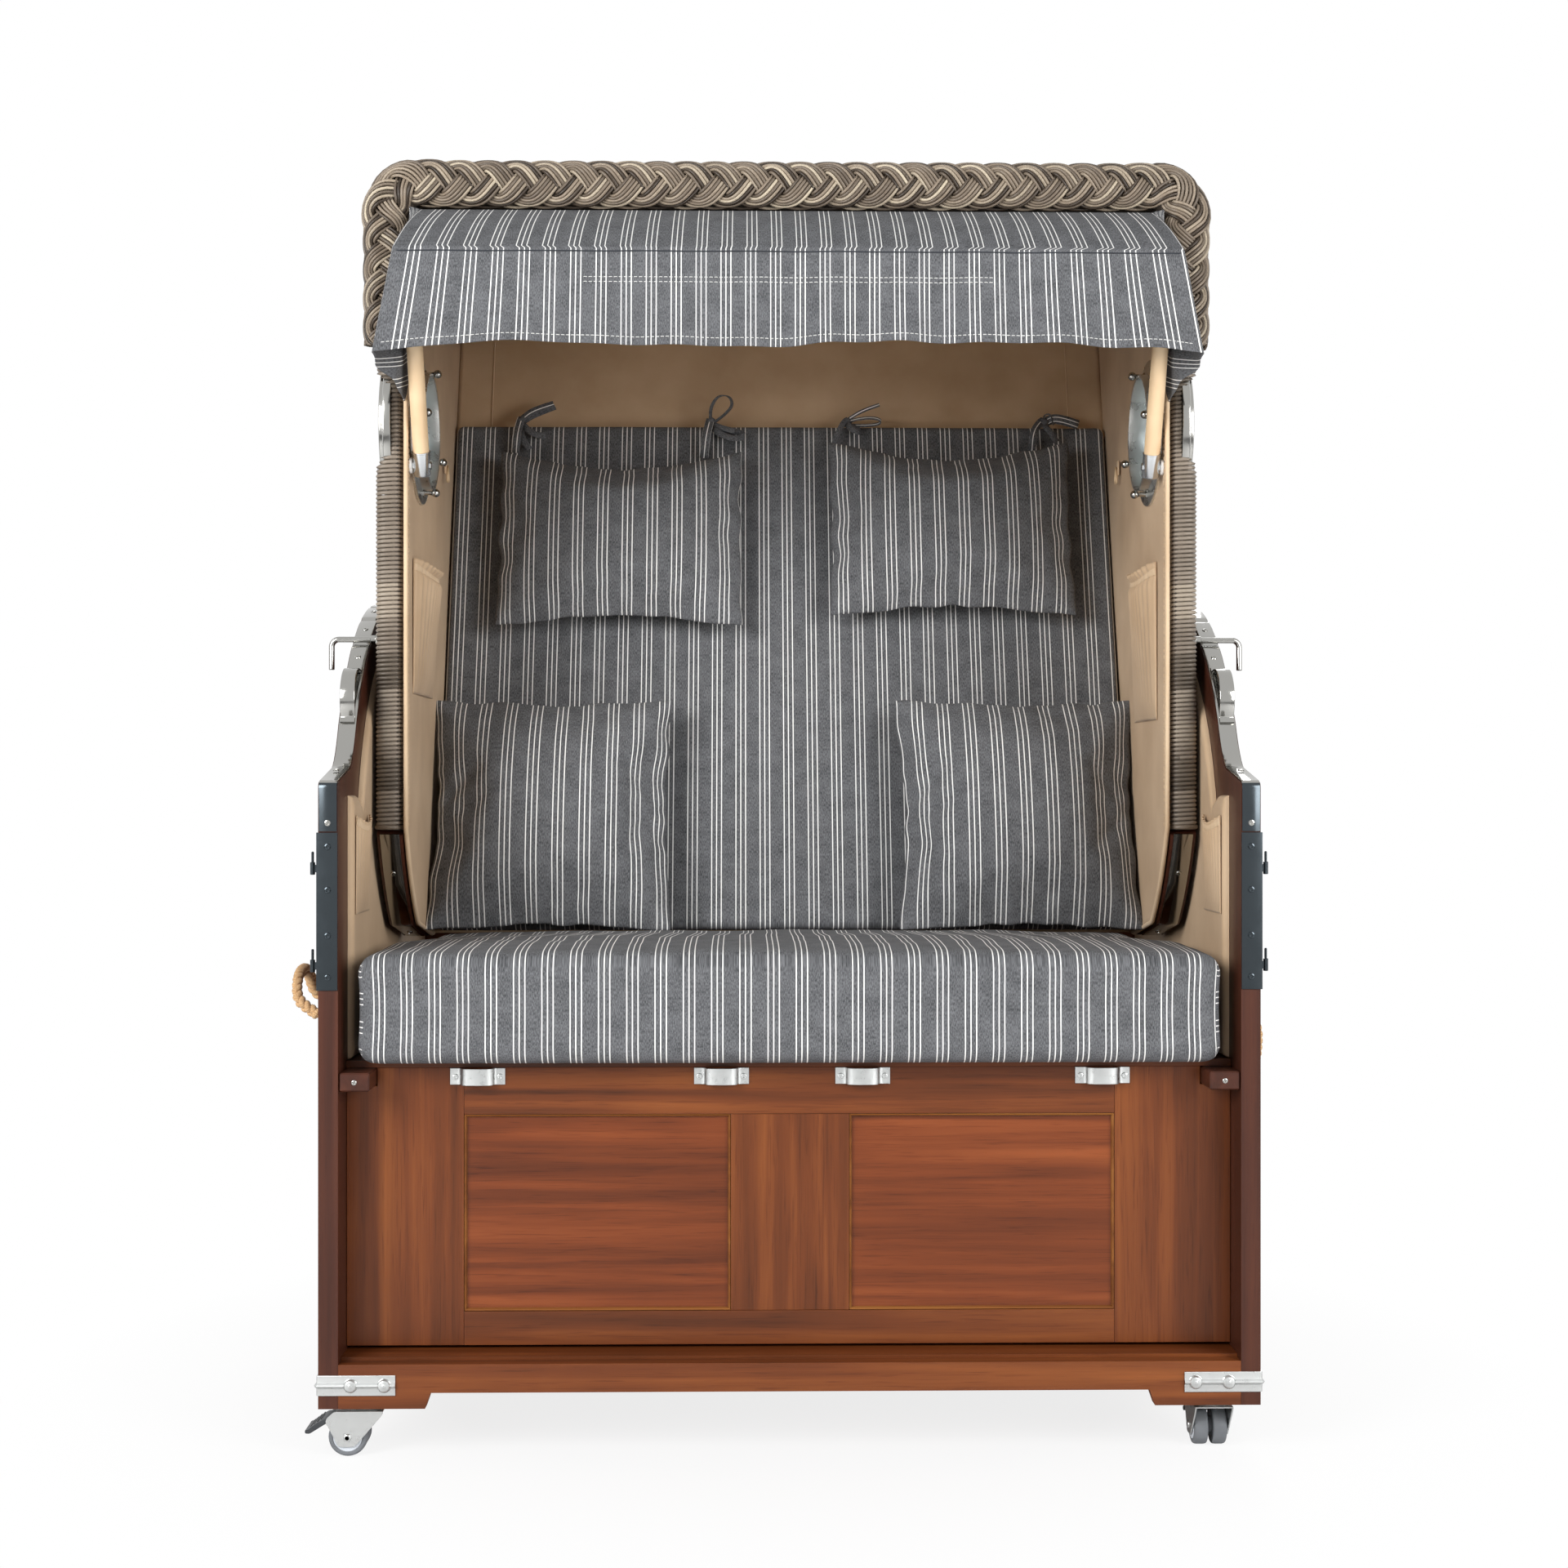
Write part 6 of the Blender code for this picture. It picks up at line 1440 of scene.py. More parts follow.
# %% Rails
for side, sign in sides.items():
    path, profile = even(at_x(sign * 0.5419, rail_line(0.0150, 34)), 0.006), oblong(0.0296, 0.0360, 0.0045)
    shape = bar(path, profile, (sign, 0, 0))
    piece("rail_" + side, shape, "hood", stained["z"], "hood_rail_" + side, 40)
    path = even(at_x(sign * 0.5415, rail_line(-0.0008, 34)), 0.006)[1:-1]
    shape = bar(path, oblong(0.0022, 0.0268, 0.0009, 3), (sign, 0, 0))
    piece("rail_strip_" + side, shape, "hood", chrome, (), 40)
    heads = []
    for height in (0.738, 0.648):
        at = path[np.argmin(np.abs(path[:, 2] - height))]
        away = unit(np.array((0, *(at[1:] - rail_centre))))
        heads.append(screw(at + away * 0.0009, away, 0.0042, 0.0022))
    piece("rail_screws_" + side, merged(heads), "hood", chrome, (), 35)
print("rails: two, with strips and screws")

# %% Portholes
ring = eased([
    (0.0775, 0.5595), (0.0800, 0.5595), (0.1085, 0.5588), (0.1120, 0.5575), (0.1120, 0.5515), (0.1268, 0.5510),
    (0.1300, 0.5495), (0.1300, 0.5395), (0.0825, 0.5395), (0.0825, 0.5172), (0.1025, 0.5172), (0.1025, 0.5130),
    (0.0860, 0.5122), (0.0825, 0.5118), (0.0825, 0.4985), (0.0775, 0.4985), (0.0775, 0.5240), (0.0790, 0.5245),
], 0.0009)
ball = [(0.0060 * sin(a), 0.0185 - 0.0060 * cos(a)) for a in np.linspace(0.4, pi - 0.02, 10)]
clamp = [(0.0030, 0), (0.0030, 0.0125), (0.0022, 0.0133)] + ball
clamp_nut = [(0.0045, 0), (0.0052, 0.0006), (0.0052, 0.0026), (0.0045, 0.0032)]
for side, sign in sides.items():
    shape = turned(ring, (0, *port), (sign, 0, 0), 96, True)
    made = piece("porthole_" + side, shape, "hood", satin, "porthole_ring_" + side, 28)
    # Outside the wall the ring is polished steel; its inner faces keep the brighter steel with painted light
    second_finish(made, chrome, np.abs(face_values(made, "center")[:, 0]) > 0.5380)
    clamps = []
    for angle in np.radians((77, -22, -91, 171)):
        foot = (sign * 0.5128, *(port + 0.0868 * around(angle)))
        clamps += [turned(clamp, foot, (-sign, 0, 0), 16), turned(clamp_nut, foot, (-sign, 0, 0), 6)]
    piece("porthole_clamps_" + side, merged(clamps), "hood", chrome, (), 35)
    feet = [(sign * 0.5508, *(port + 0.1207 * around(angle))) for angle in np.arange(6) * pi / 3 + 0.3]
    heads = [screw(foot, (sign, 0, 0), 0.0032, 0.0014) for foot in feet]
    piece("porthole_screws_" + side, merged(heads), "hood", chrome, (), 35)
print("portholes: two, with eight clamps")

# %% [markdown]
# ## Bands, plates, loops and straps
#
# Polished strips protect the base's edges. The band over each arm and arc dips into five notches, where the hood's
# lock rods rest: each dip is half a cosine wave 3 mm deep. All strips are flat rounded profiles carried along the
# edge's line, so they get real thickness and soft edges. Their screws are turned.


# %% Edge line of the side walls
def arc_point(degrees, radius):
    """A point at an angle and radius about the hood's pivot, as (Y, Z)."""
    return pivot + radius * around(np.radians(degrees))


# The top edge of a side wall as (Y, Z): front corner, arm, step and arc, with its notches
corner = np.array((0.008 + front, 0.855)) + 0.008 * around(np.radians(np.arange(180, 99, -10)))
rise = bend((0.098 + front, 0.880), (0.124 + front, 0.890), arc_point(146, arc_radius), 10)
angle = np.arange(145.6, 40.5, -0.3)
away = np.abs(angle[:, None] - (123.3 - 11.0 * np.arange(5)))
dip = np.where(away < 1.5, 0.003 * (1 + cos(pi * away / 1.5)) / 2, 0).sum(1)
arc = arc_point(angle, (arc_radius - dip)[:, None])
arc_end = (0.800 + front, pivot[1] + np.sqrt(arc_radius**2 - 0.310**2))
band_line = np.concatenate(([(front, 0.800)], corner, rise, arc, [arc_end]))
band_line = band_line + square_to(band_line) * 0.0013
band_middle = 0.5875
for side, sign in sides.items():
    shape = bar(at_x(sign * band_middle, band_line), oblong(0.0020, 0.0230, 0.0008, 3), (sign, 0, 0))
    band = piece("band_" + side, shape, "base", chrome, "notch_band_" + side, 38)
    # Its front, turned down over the arm, gets the plate's darker steel: a painted reflection of the dark room in front
    second_finish(band, dark_reflection_steel, face_values(band, "center")[:, 1] < front + 0.0006)
    heads = [screw((sign * band_middle, front - 0.0023, 0.8105), (0, -1, 0), 0.0042, 0.0018)]
    heads.append(screw((sign * band_middle, front + 0.060, 0.8776), (0, -0.17, 1), 0.0042, 0.0014))
    for degrees in (139.2, 128.5, 117.8, 106.8, 95.8, 84.8, 73.0, 60.0, 46.0):
        at = arc_point(degrees, arc_radius + 0.0021)
        heads.append(screw((sign * band_middle, *at), (0, *(at - pivot)), 0.0040, 0.0014))
    piece("band_screws_" + side, merged(heads), "base", chrome, (), 35)
print("bands: two, of", len(band_line), "points")

# %% Grab loops
share = np.linspace(1, -1, 41)
angles = np.concatenate(([146.2, 145.6], 139.25 + 5.75 * share, [132.9, 132.3]))
reach = arc_radius + 0.0041 + np.concatenate(([0, 0], 0.028 * (1 - np.abs(share) ** 2.5), [0, 0]))
for side, sign in sides.items():
    path = rounded(at_x(sign * band_middle, arc_point(angles, reach[:, None])), 1)
    shape = bar(path, oblong(0.0030, 0.0200, 0.0012), (sign, 0, 0))
    piece("loop_" + side, shape, "base", chrome, "grab_loop_" + side, 38)
print("loops: two")


# %% Edge plates with their pins
def profile_bar(outline, low, high, chamfer=0.0004):
    """A bar standing upright: a closed outline of (x, y) points between two heights, drawn in at both ends."""
    ways, after = unit(np.roll(outline, -1, 0) - np.roll(outline, 1, 0)), np.roll(outline, -1, 0)
    area = (outline[:, 0] * after[:, 1] - outline[:, 1] * after[:, 0]).sum()
    inward = np.stack((-ways[:, 1], ways[:, 0]), -1) * np.sign(area)
    rings = [(low, chamfer), (low + chamfer, 0), (high - chamfer, 0), (high, chamfer)]
    points = [np.insert(outline + inward * inset, 2, z, axis=1) for z, inset in rings]
    return np.concatenate(points), capped(4, len(outline)), None


outer, inner, plate_low, plate_high = 0.6021, 0.5753, 0.5980, 0.7985
corners = [(inner, -0.0021), (outer, -0.0021), (outer, 0.020), (wall_outside, 0.020), (wall_outside, -0.0003),
           (inner, -0.0003)]
pin = np.array([(0.0024, -0.016), (0.0032, -0.0154), (0.0032, -0.0006), (0.0028, 0), (0.0017, 0.0004),
                (0.0017, 0.0125), (0.0010, 0.0135)])
for side, sign in sides.items():
    outline = eased(np.array(corners) * (sign, 1) + (0, front), 0.0008)
    parts = [profile_bar(outline, plate_low, plate_high)]
    for drop in (0.018, 0.073, 0.131, 0.184):
        parts.append(screw((sign * band_middle, front - 0.0020, plate_high - drop), (0, -1, 0), 0.0042, 0.0019))
    for drop in (0.046, 0.170):
        x, y, top = sign * 0.6086, front + 0.010, plate_high - drop + 0.008
        parts.append(turned(pin, (x, y, top), (0, 0, 1), 24))
        near_x, far_x = sorted((sign * (outer - 0.0003), x))
        parts.append(block((near_x, y - 0.0017, top - 0.0128), (far_x, y + 0.0017, top - 0.0032), 0.0004))
        parts.append(screw((sign * outer, front + 0.0102, top + 0.016), (sign, 0, 0), 0.0036, 0.0016))
    # The plates take the steel with a painted dark reflection
    piece("plate_" + side, merged(parts), "base", dark_reflection_steel, "edge_plate_" + side, 32)
print("edge plates: two, with two pins each")

# %% Corner straps
heights = np.array((0.0842, 0.0848, 0.0925, 0.0935, 0.0950, 0.0970, 0.0990, 0.1005, 0.1015, 0.1092, 0.1098))
bulge = np.array((0.0, 0.0004, 0.0004, 0.0006, 0.0022, 0.0036, 0.0022, 0.0006, 0.0004, 0.0004, 0.0))
t = np.linspace(0, pi / 2, 7)
corner = np.stack((wall_outside - 0.001 + 0.001 * sin(t), front + 0.0007 - 0.001 * cos(t)), -1)
line = np.concatenate(([(0.5022, front - 0.0003), (0.5040, front - 0.0003)], corner,
                       [(wall_outside, front + 0.055), (wall_outside, front + 0.0598)]))
# The raised middle of the strap fades out on its short arm round the corner
raised = np.where(np.arange(len(line)) < len(line) - 2, 1.0, 0.0525)[:, None] * bulge
face = line[:, None] - square_to(line)[:, None] * (0.0014 + raised)[..., None]
z = np.broadcast_to(heights, raised.shape)
behind = np.dstack((np.broadcast_to(line[:, None], face.shape), z))
strap = np.concatenate((np.dstack((face, z)), behind[:, ::-1]), 1)
head = [(0.0084, 0), (0.0090, 0.0004), (0.0090, 0.0014), (0.0080, 0.0030), (0.0068, 0.0046), (0.0052, 0.0052)]
socket = [(0.0030, 0), (0.0030, 0.0004), (0.0024, 0.0007)]
for side, sign in sides.items():
    parts = [(strap * (sign, 1, 1), capped(*strap.shape[:2]), None)]
    for x in (0.5162, 0.5588):
        parts.append(turned(head, (sign * x, front - 0.0018, 0.0970), (0, -1, 0), 24))
        parts.append(turned(socket, (sign * x, front - 0.0069, 0.0970), (0, -1, 0), 6))
    piece("strap_" + side, merged(parts), "base", zinc, "corner_strap_" + side, 32)
print("corner straps: two, with two bolts each")

# %% [markdown]
# ## Front of the base
#
# The front is joined of stiles and rails round two recessed fields, each with a thin moulding mitred at its corners.
# The sockets that footrests hook into are bent from sheet steel to the shape of a hat and screwed on.


# %% Boards
def plank(outline, near, far, number=0):
    """A board cut to an outline of (x, z) points between two depths. Its UV gives it a grain of its own."""
    points = np.concatenate([np.insert(np.asarray(outline, float), 1, y, axis=1) for y in (near, far)])
    return points, capped(2, len(outline)), np.full((len(points), 2), float(number))


def flat_box(x0, x1, z0, z1):
    """The four corners of an upright board's outline."""
    return [(x0, z0), (x1, z0), (x1, z1), (x0, z1)]


half, near, far = 0.5747, 0.065 + front, 0.089 + front
low, top, field_low, field_high = 0.1320, 0.4926, 0.176, 0.431
field_in, field_out, field_middle, field_half, joint = 0.077, 0.423, 0.250, 0.1728, 0.0002
stile = [(field_out, low), (half, low), (half, 0.4687), (0.5352, 0.4687), (0.5352, top), (field_out, top)]
uprights = [plank((np.array(stile) * (sign, 1))[::sign], near, far, number) for number, sign in ((1, -1), (2, 1))]
uprights.append(plank(flat_box(-field_in, field_in, field_low, field_high), near, far, 3))
levels = [plank(flat_box(-field_out + joint, field_out - joint, *ends), near, far, number)
          for number, ends in ((4, (low, field_low - joint)), (5, (field_high + joint, top)))]
fields, mouldings = [], []
moulding = np.array([(0.0003, 0.0060), (0.0003, 0.0010), (0.0010, 0.0004), (0.0022, 0.0016), (0.0030, 0.0038),
                     (0.0036, 0.0060)])
for sign in (-1, 1):
    middle = np.array((sign * field_middle, (field_low + field_high) / 2))
    x0, x1 = middle[0] - field_half, middle[0] + field_half
    fields.append(plank(flat_box(x0, x1, field_low + joint, field_high - joint), near + 0.006, far, 7 + sign))
    rings = []
    for corner in flat_box(x0, x1, field_low, field_high):
        line = corner + np.sign(middle - corner) * moulding[:, :1]
        rings.append(np.insert(line, 1, near + moulding[:, 1], axis=1))
    mouldings.append((rings, quads(4, len(moulding), wrap_rows=True, wrap_cols=True), np.zeros((24, 2))))
for name, parts, wood, node, rounding in (
    ("panel_stiles", uprights, mahogany["z"], "front_panel", (0.0007, 2)),
    ("panel_rails", levels, mahogany["x"], (), (0.0007, 2)),
    ("panel_fields", fields, mahogany["field"], (), (0.0004, 1)),
    # The mouldings' lighter golden wood is partly a painted highlight
    ("panel_mouldings", mouldings, moulding_wood, (), None),
):
    made = edited(piece(name, merged(parts), "base", wood, node, smooth=False), turn_outwards)
    if rounding:
        bevelled(made, *rounding)
print("front panel:", len(uprights) + len(levels) + len(fields), "boards")

# %% Footrest sockets and batten screws
socket_face = 0.0647 + front
hat = np.array([(-0.0355, -0.001), (-0.0195, -0.001), (-0.0195, -0.014), (0.0195, -0.014), (0.0195, -0.001),
                (0.0355, -0.001)])
for number, centre in enumerate((-0.405, -0.089, 0.0945, 0.407), 1):
    path = np.insert(rounded(hat + (centre, socket_face), 2), 2, 0.4810, axis=1)
    parts = [bar(path, oblong(0.0020, 0.0220, 0.0006, 2), (0, 0, 1))]
    for x in (centre - 0.0288, centre + 0.0288):
        parts.append(screw((x, socket_face - 0.0019, 0.4805), (0, -1, 0), 0.0040, 0.0018))
    piece(f"socket_{number}", merged(parts), "base", zinc, f"footrest_socket_{number}", 35)
heads = [screw((sign * 0.5552, front + 0.0030, 0.4806), (0, -1, 0), 0.0034, 0.0010) for sign in (-1, 1)]
piece("batten_screws", merged(heads), "base", chrome, (), 35)
print("sockets: four")

# %% [markdown]
# ## Lock rods
#
# A bent steel rod comes out of the hood's wall through a nut, lies in a notch of the band and turns down outside
# as a handle. The slot that it is lifted in is covered by a dark plate.

# %% Lock rods
lock_place = arc_point(123.3, arc_radius + 0.0066)
elbow = (0.618, -0.010) + 0.010 * around(np.linspace(pi / 2, 0, 9))
rod_line = np.concatenate(([(0.5605, 0), (0.600, 0)], elbow, [(0.628, -0.030), (0.628, -0.0405)]))
tip_profile = [(0.0040, 0), (0.0039, 0.0008), (0.0030, 0.0015)]
nut_profile = [(0.0064, 0.5605), (0.0084, 0.5612), (0.0084, 0.5668), (0.0064, 0.5676)]
sleeve_profile = [(0.0058, 0.5676), (0.0058, 0.5738), (0.0048, 0.5746)]
plate = eased(flat_box(-0.0110, 0.0110, -0.0150, 0.0290), 0.0040, 4)
slot = eased(flat_box(-0.0046, 0.0046, -0.0055, 0.0145), 0.0035, 4)
outward = unit(lock_place - pivot)
axes = np.array(((outward[1], -outward[0]), outward))
for side, sign in sides.items():
    path = even(np.insert(rod_line * (sign, 1) + (0, lock_place[1]), 1, lock_place[0], axis=1), 0.0012)
    shape, at = bar(path, circle(0.0040, 16), (0, 1, 0)), (0, *lock_place)
    piece("lock_rod_" + side, shape, "lock_" + side, chrome, "lock_handle_" + side, 50)
    nut = [turned(tip_profile, path[-1], (0, 0, -1), 16), turned(nut_profile, at, (sign, 0, 0), 6)]
    nut.append(turned(sleeve_profile, at, (sign, 0, 0), 24))
    piece("lock_nut_" + side, merged(nut), "lock_" + side, chrome, (), 35)
    rings = [at_x(sign * x, lock_place + outline @ axes)
             for outline, x in ((slot, 0.5600), (slot, 0.5612), (plate, 0.5612), (plate, 0.5600))]
    shape = (rings, quads(4, len(slot), wrap_rows=True, wrap_cols=True), None)
    piece("lock_plate_" + side, shape, "hood", nylon, (), 35)
print("lock rods: two, in their notches at", lock_place.round(4))

# %% [markdown]
# ## Castors
#
# Each castor is a zinc-plated plate screwed under a corner, a ball bearing in pressed cups, a fork bent from sheet and
# a pair of rubber wheels on one axle. The front pair has a nylon brake pedal. The fork's cheeks are an outline cut
# from sheet; the wheels are turned, with a groove round the tread's shoulders and a hub cap.

# %% Castor shapes
places = {"front_left": (-0.545, 0.045, 180.0), "front_right": (0.545, 0.045, 90.0),
          "back_left": (-0.545, 0.752, 110.0), "back_right": (0.545, 0.752, 70.0)}
axle, across = (0.0215, 0, 0.025), (0, 1, 0)


def castor_piece(name, corner, parts, body, material, node=()):
    """A piece of a castor. Its shapes are drawn with the fork trailing along X. They are turned to its heading and
    set under its corner."""
    x, depth, heading = places[corner]
    points, faces, _ = merged(parts)
    ahead, aside = around(np.radians(heading)), around(np.radians(heading + 90))
    level = points[:, :1] * ahead + points[:, 1:2] * aside + (x, depth + front)
    shape = (np.column_stack((level, points[:, 2])), faces, None)
    return piece(f"{name}_{corner}", shape, body, material, node, 32)


def mirrored(profile, *turning):
    """A profile turned about the axle, and again on the wheels' other side."""
    return [turned([(radius, side * place) for radius, place in profile], axle, across, *turning) for side in (-1, 1)]


fork_outline = eased([
    (-0.0235, 0.0545), (-0.0235, 0.0587), (0.0365, 0.0587), (0.0400, 0.0570), (0.0490, 0.0485), (0.0490, 0.0425),
    (0.0462, 0.0395), (0.0350, 0.0170), (0.0320, 0.0130), (0.0140, 0.0130), (0.0100, 0.0155),
], 0.0030)
bearing = [(0.0188, 0.0587), (0.0190, 0.0600), (0.0172, 0.0612), (0.0166, 0.0622), (0.0178, 0.0632),
           (0.0190, 0.0640), (0.0186, 0.0650)]
wheel = [(0.0042, 0.0215), (0.0075, 0.0214), (0.0095, 0.0205), (0.0130, 0.0200), (0.0160, 0.0204), (0.0195, 0.0212),
         (0.0212, 0.0215), (0.0232, 0.0208), (0.0245, 0.0192), (0.0250, 0.0170), (0.0250, 0.0080), (0.0246, 0.0048),
         (0.0236, 0.0036), (0.0150, 0.0035), (0.0100, 0.0035)]
fork = [plank(fork_outline, -0.0247, -0.0227), plank(fork_outline, 0.0227, 0.0247)]
fork.append(plank(eased(flat_box(-0.0235, 0.0365, 0.0567, 0.0587), 0.0006, 2), -0.0246, 0.0246))
fork.append(turned(bearing, (0, 0, 0), (0, 0, 1), 40))
fork += mirrored([(0.0055, 0.0247), (0.0055, 0.0258), (0.0042, 0.0270)], 6)
plate = [block((-0.024, -0.024, 0.0650), (0.024, 0.024, 0.0669), 0.0005)]
for x, y in ((-1, -1), (-1, 1), (1, -1), (1, 1)):
    plate.append(screw((x * 0.0185, y * 0.0185, 0.0651), (0, 0, -1), 0.0036, 0.0016))
rubber = mirrored(wheel, 48) + [turned([(0.0100, -0.0036), (0.0100, 0.0036)], axle, across, 24)]
hubs = mirrored([(0.0075, 0.0212), (0.0080, 0.0219), (0.0176, 0.0219), (0.0184, 0.0212)], 48)
ends = mirrored([(0.0040, 0.0214), (0.0040, 0.0262), (0.0028, 0.0270)], 16)
pedal = [(0.0430, 0.0485), (0.0520, 0.0485), (0.0620, 0.0430), (0.0720, 0.0355), (0.0760, 0.0345), (0.0760, 0.0300),
         (0.0700, 0.0296), (0.0490, 0.0425), (0.0430, 0.0425)]
pedal = [plank(eased(pedal, 0.0018), -0.0222, 0.0222)]
ribs = []
for x, z in [(0.0560 + k * 0.0042, 0.0468 - k * 0.0031) for k in range(4)]:
    ribs.append(block((x, -0.0170, z), (x + 0.0012, 0.0170, z + 0.0010), 0.0003))
print("castor shapes ready")

# %% Castors
for corner in places:
    node = f"castor_{corner}_"
    made = castor_piece("fork", corner, fork, "castor_" + corner, zinc, node + "fork")
    bevelled(made, 0.0004, 1)
    castor_piece("plate_of_castor", corner, plate, "base", zinc)
    castor_piece("wheels", corner, rubber, "wheels_" + corner, tread, node + "wheels")
    castor_piece("hubs", corner, hubs, "wheels_" + corner, hub_plastic)
    castor_piece("axle", corner, ends, "wheels_" + corner, zinc)
    if corner.startswith("front"):
        made = castor_piece("pedal", corner, pedal, "brake_" + corner, nylon, node + "brake_pedal")
        bevelled(made, 0.0007, 2)
        castor_piece("pedal_ribs", corner, ribs, "brake_" + corner, nylon)
print("castors: four, two with pedals")

# %% [markdown]
# ## Rope handles
#
# A plaited rope goes through two holes in each side wall. Plaiting three strands makes each one swing across the
# rope as a sine and in and out twice as often: across = a sin(p), over = b sin(2p), with a third of a turn between
# the strands. The left rope stands up in its loop, because plaited rope is stiff; the right one hangs.


# %% Rope
def rope_route(side):
    """The rope's middle line, as in the CAD model: straight out of a hole, round through a smooth loop, back in."""
    out, lift = (0.052, 0.052) if side == "left" else (0.024, -0.075)
    half = [(0, 0, 0), (0.45, 0, 0), (0.9, 0.06, 0.35), (1, 0.22, 0.85), (1, 0.5, 1)]
    half = [(out * a, 0.14 * b, lift * c) for a, b, c in half]
    both = half + [(a, 0.14 - b, c) for a, b, c in half[-2::-1]]
    knots = np.array([(sides[side] * (wall_outside + a), 0.115 + front + b, 0.558 + c) for a, b, c in both])
    inner = knots[1:-1]
    framed = np.concatenate(([2 * inner[0] - inner[1]], inner, [2 * inner[-1] - inner[-2]]))
    a, b, c, d = framed[:-3, None], framed[1:-2, None], framed[2:-1, None], framed[3:, None]
    t = np.linspace(0, 1, 12, endpoint=False)[None, :, None]
    curve = (2 * b + (c - a) * t + (2 * a - 5 * b + 4 * c - d) * t**2 + (3 * b - 3 * c + d - a) * t**3) / 2
    return even(np.concatenate((knots[:1], curve.reshape(-1, 3), knots[-2:])), 0.0011)


def plaited(path, across_reach, over_reach, strand_radius, pitch, up):
    """Three plaited strands along a path."""
    across, over = frames(path, up)
    lines = []
    for start in (0, 1, 2):
        p = (2 * pi * run_of(path) / pitch + 2 * pi * start / 3)[:, None]
        lines.append(path + across_reach * sin(p) * across + over_reach * sin(2 * p) * over)
    return strands(np.stack(lines), strand_radius, 10, up)


eyelet = eased([(0.0088, 0.5998), (0.0125, 0.5998), (0.0125, 0.6012), (0.0088, 0.6020)], 0.0005)
for side, sign in sides.items():
    route = rope_route(side)
    shape = plaited(route, 0.0042, 0.0026, 0.0044, 0.030, (sign * 0.94, 0.0, 0.34))
    made = piece("rope_" + side, shape, "base", hemp, "rope_handle_" + side)
    rings = [turned(eyelet, (0, *route[end][1:]), (sign, 0, 0), 32, True) for end in (0, -1)]
    piece("rope_eyelets_" + side, merged(rings), "base", chrome, (), 35)

# %% [markdown]
# ## Ties, hooks and seams
#
# Each head pillow hangs from two flat ties of its own canvas, knotted over the top of the back cushion. Every loop
# and end is a smooth line with the band's flat section carried along it, and the stripes run along the band.
# Triangular beige hooks stand on the lining beside the cushion. The awning gets its folded seam over the bow, the
# double row of stitches of its casing and the stitched hem.


# %% Ties
def ribbon(line, width, axis, stripe):
    """A band along a line in mm, its width along an axis. Its UV is shifted so that the stripes run along it."""
    line = rounded(np.array(line) * 0.001, 3)
    profile = oblong(width, 0.0016, 0.0006, 2)
    points, faces, uv = bar(line, profile, cross(unit(np.gradient(line, axis=0)), axis))
    return points, faces, np.column_stack((np.tile(profile[:, 0] + stripe, len(line)), uv[:, 0]))


plain, lined = 0.018, 0.0036
behind_cushion = ([(0, -2, 0), (0, 12, 8), (0, 34, 3), (0, 42, -10)], 0.0105, (1, 0, 0), plain)
# Points from the knot in mm: across, back, up. Then the band's width, the way of its width, and where its
# stripes lie
tie_bands = {
    "left_outer": (-0.412, [
        ([(-6, -30, -54), (-4, -32, -26), (0, -10, 0), (2, -4, 6)], 0.0135, (1, 0, 0), -0.024),
        ([(0, -4, 0), (14, -6, 12), (32, -4, 20), (52, 0, 27)], 0.0125, (-0.42, 0.2, 0.9), plain),
        ([(0, 0, -1), (16, -1, 9), (34, 0, 17), (53, 4, 25)], 0.0125, (-0.42, 0.2, 0.9), plain),
        ([(2, -8, -4), (14, -20, -18), (28, -21, -26), (40, -18, -24)], 0.01, (0.5, 0.2, 0.85), lined),
        ([(0, -14, -18), (6, -24, -34), (16, -26, -48)], 0.01, (0.8, 0.2, 0.5), lined),
    ]),
    "left_inner": (-0.112, [
        ([(-10, -34, -62), (-7, -34, -30), (-2, -14, -4), (0, -4, 4)], 0.0135, (1, 0, 0), plain),
        ([(0, -6, 0), (0, -8, 22), (12, -6, 41), (30, -4, 41), (36, -4, 26), (22, -6, 10),
          (6, -8, -2)], 0.009, (0.45, 0.85, 0.1), lined),
        ([(2, -12, -10), (20, -26, -26), (40, -28, -31), (55, -20, -26), (46, -12, -18), (20, -10, -12),
          (2, -8, -8)], 0.01, (0.1, 0.3, 0.95), lined),
        ([(2, -8, -4), (18, -18, -12), (38, -20, -18)], 0.009, (0.2, 0.3, 0.9), lined),
    ]),
    "right_inner": (0.104, [
        ([(-22, -30, -42), (-14, -28, -18), (-4, -12, 0), (2, -4, 4)], 0.009, (0.6, 0, -0.8), lined),
        ([(0, -6, 2), (18, -6, 14), (36, -4, 22), (52, 0, 28)], 0.006, (-0.42, 0.2, 0.9), plain),
        ([(2, -8, 0), (20, -12, 4), (42, -10, 6), (56, -6, 2), (50, -2, -4), (26, -4, -6),
          (4, -8, -6)], 0.007, (0.1, 0.6, 0.8), plain),
        ([(0, -12, -4), (4, -22, -12), (14, -24, -18), (21, -18, -18), (12, -12, -10),
          (0, -8, -6)], 0.01, (0.1, 0.3, 0.95), lined),
    ]),
    "right_outer": (0.417, [
        ([(-22, -30, -50), (-20, -30, -20), (-8, -12, -2), (0, -4, 4)], 0.012, (0.7, 0, -0.6), plain),
        ([(0, -4, 0), (14, -6, 8), (34, -5, 5), (56, -2, -2)], 0.0125, (0.1, 0.2, 0.95), -0.024),
        ([(0, 0, -2), (14, -1, 5), (34, 0, 2), (55, 3, -4)], 0.0125, (0.1, 0.2, 0.95), plain),
        ([(-4, -6, 0), (2, -8, 13), (12, -6, 12), (16, -4, -4)], 0.01, (0.3, 0.9, 0.2), plain),
        ([(0, -14, -6), (10, -22, -20), (18, -24, -34)], 0.01, (0.8, 0.2, 0.5), lined),
    ]),
}
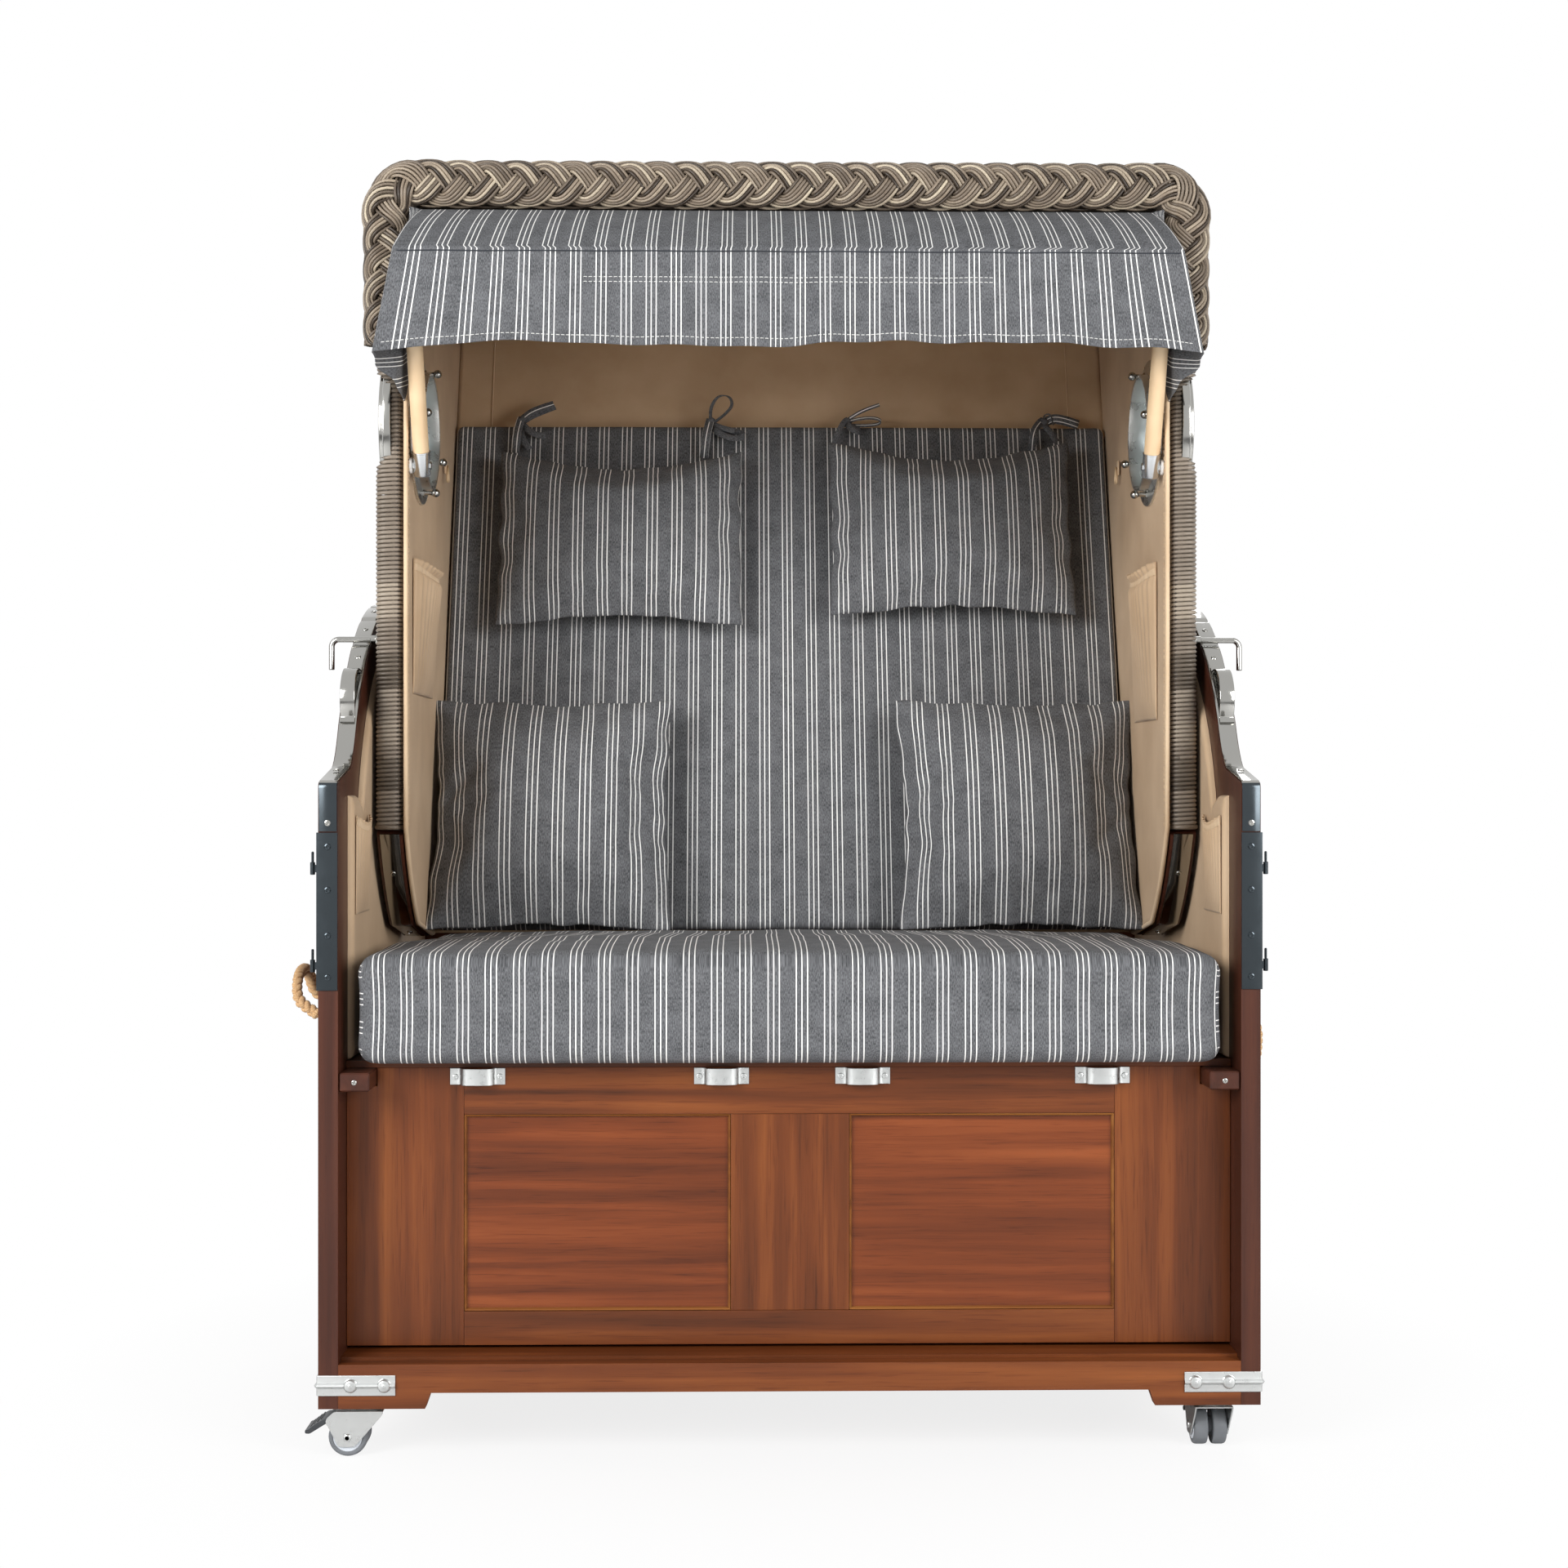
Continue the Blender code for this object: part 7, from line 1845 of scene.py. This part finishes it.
bead = [(0.0001, -0.0085), (0.0048, -0.0066), (0.0066, -0.0024), (0.0066, 0.0024), (0.0048, 0.0066), (0.0001, 0.0085)]
edge_y, edge_z = np.array(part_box("back_cushion"))[1, 1:]
for name, (x, bands) in tie_bands.items():
    points, faces, _ = turned(bead, (0, -0.005, -0.001), (0.8, 0, 0.5), 14)
    parts = [ribbon(*band) for band in [*bands, behind_cushion]] + [(points, faces, np.zeros((len(points), 2)))]
    points, faces, uv = merged(parts)
    knot = (x, edge_y - 0.028, edge_z + 0.005)
    piece("tie_" + name, (points + knot, faces, uv), "hood", canvas, (), 180)
print("ties: four")

# %% Hooks on the lining
hook = rounded([(0, 0.000, 0.012), (0, -0.012, -0.012), (0, 0.012, -0.012), (0, 0.000, 0.012)], 2)[:-1]
for side, sign in sides.items():
    foot = np.array((sign * 0.5150, 0.5925 + front, 1.331))
    shape = bar(hook + foot + (-sign * 0.006, 0, 0), circle(0.0016, 8), (sign, 0, 0), closed=True)
    piece("hook_ring_" + side, shape, "hood", powder, (), 180)
    points, faces, _ = block((-0.0012, -0.0075, -0.004), (0.0012, 0.0075, 0.018), 0.0004)
    shape = (points + foot + (-sign * 0.003, 0, 0.004), faces, None)
    piece("hook_tab_" + side, shape, "hood", piping_cloth)
print("hooks: two")


# %% Seams of the awning
def awning_line(down, lift, start, end, count):
    """A line across the awning at a share down it, lifted off its outside."""
    across, share = np.linspace(start, end, count), np.full(count, down)
    here, nearby = awning_place(across, share), awning_place(across, share + 0.004)
    out = unit(cross(awning_place(across + 0.0006, share) - here, nearby - here))
    return here + np.where(out[:, 1:2] * 0.7 + out[:, 2:] * -0.7 > 0, -out, out) * lift


def stitched(name, down, start, end, long=0.0042, pitch=0.0066):
    """A row of stitches along the awning: short raised threads with gaps between them."""
    line = awning_line(down, 0.0010, start, end, 4000)
    run = run_of(line)
    path = sample(line, run, np.arange(0.002, run[-1] - long, pitch)[:, None] + np.linspace(0, long, 4))
    raised, level = (awning_line(down, lift, start, end, 2)[:1] for lift in (0.0010, 0.0))
    path[:, (0, -1)] -= (raised - level) * 0.8
    piece(name, strands(path, 0.00055, 5, (0, -1, 0.4)), "bow", thread_white)


stitched("casing_stitches_upper", 0.612, -0.455, 0.455)
stitched("casing_stitches_lower", 0.640, -0.455, 0.455)
stitched("hem_stitches", 0.955, -0.83, 0.83)
lip = awning_line(0.462, 0.0012, -0.83, 0.83, 500)
shape = bar(lip, oblong(0.0022, 0.0012, 0.0005, 2), (0, -0.7, 0.7))
# The fold is darker than the awning's canvas: a painted shadow line
piece("awning_seam_fold", shape, "bow", fold_shadow_canvas, (), 180)
print("awning seams:", round(run_of(lip)[-1], 3), "m long")

# %% [markdown]
# ## Finishes of the CAD pieces that stay
#
# The remaining CAD pieces have the right shape already, such as the boards, the side walls and the panes. Each gets
# its finish through its material slot; its mesh isn't touched.

# %% Finishes
kept_finishes = {
    "side_panel_left": stained["z"], "side_panel_right": stained["z"], "seat_batten_left": stained["y"],
    "seat_batten_right": stained["y"], "front_plinth": mahogany["x"], "back_panel": mahogany["x"],
    "floor_board": mahogany["x"], "seat_board": mahogany["x"], "hinge_bolt_left": chrome, "hinge_bolt_right": chrome,
    "hood_basket": shade, "porthole_glass_left": glass, "porthole_glass_right": glass,
}
by_slot = {
    "mahogany": mahogany["x"], "dark_wood": stained["y"], "chrome": chrome, "polished_aluminium": aluminium,
    "steel": zinc, "wicker": shade, "beige_cloth": lining_cloth, "striped_cloth": canvas, "beige_tube": powder,
    "hemp": hemp, "grey_rubber": tread, "dark_plastic": nylon, "clear_glass": glass,
}
for name, node in nodes.items():
    for holder in node.material_slots:
        holder.material = kept_finishes.get(name) or by_slot[holder.material.name.split(".")[0]]
print("finished", len(kept_finishes), "pieces that stay")

# %% The awning is a sheet
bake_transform(awning)

# %% Colour
bpy.context.scene.view_settings.view_transform = "Standard"
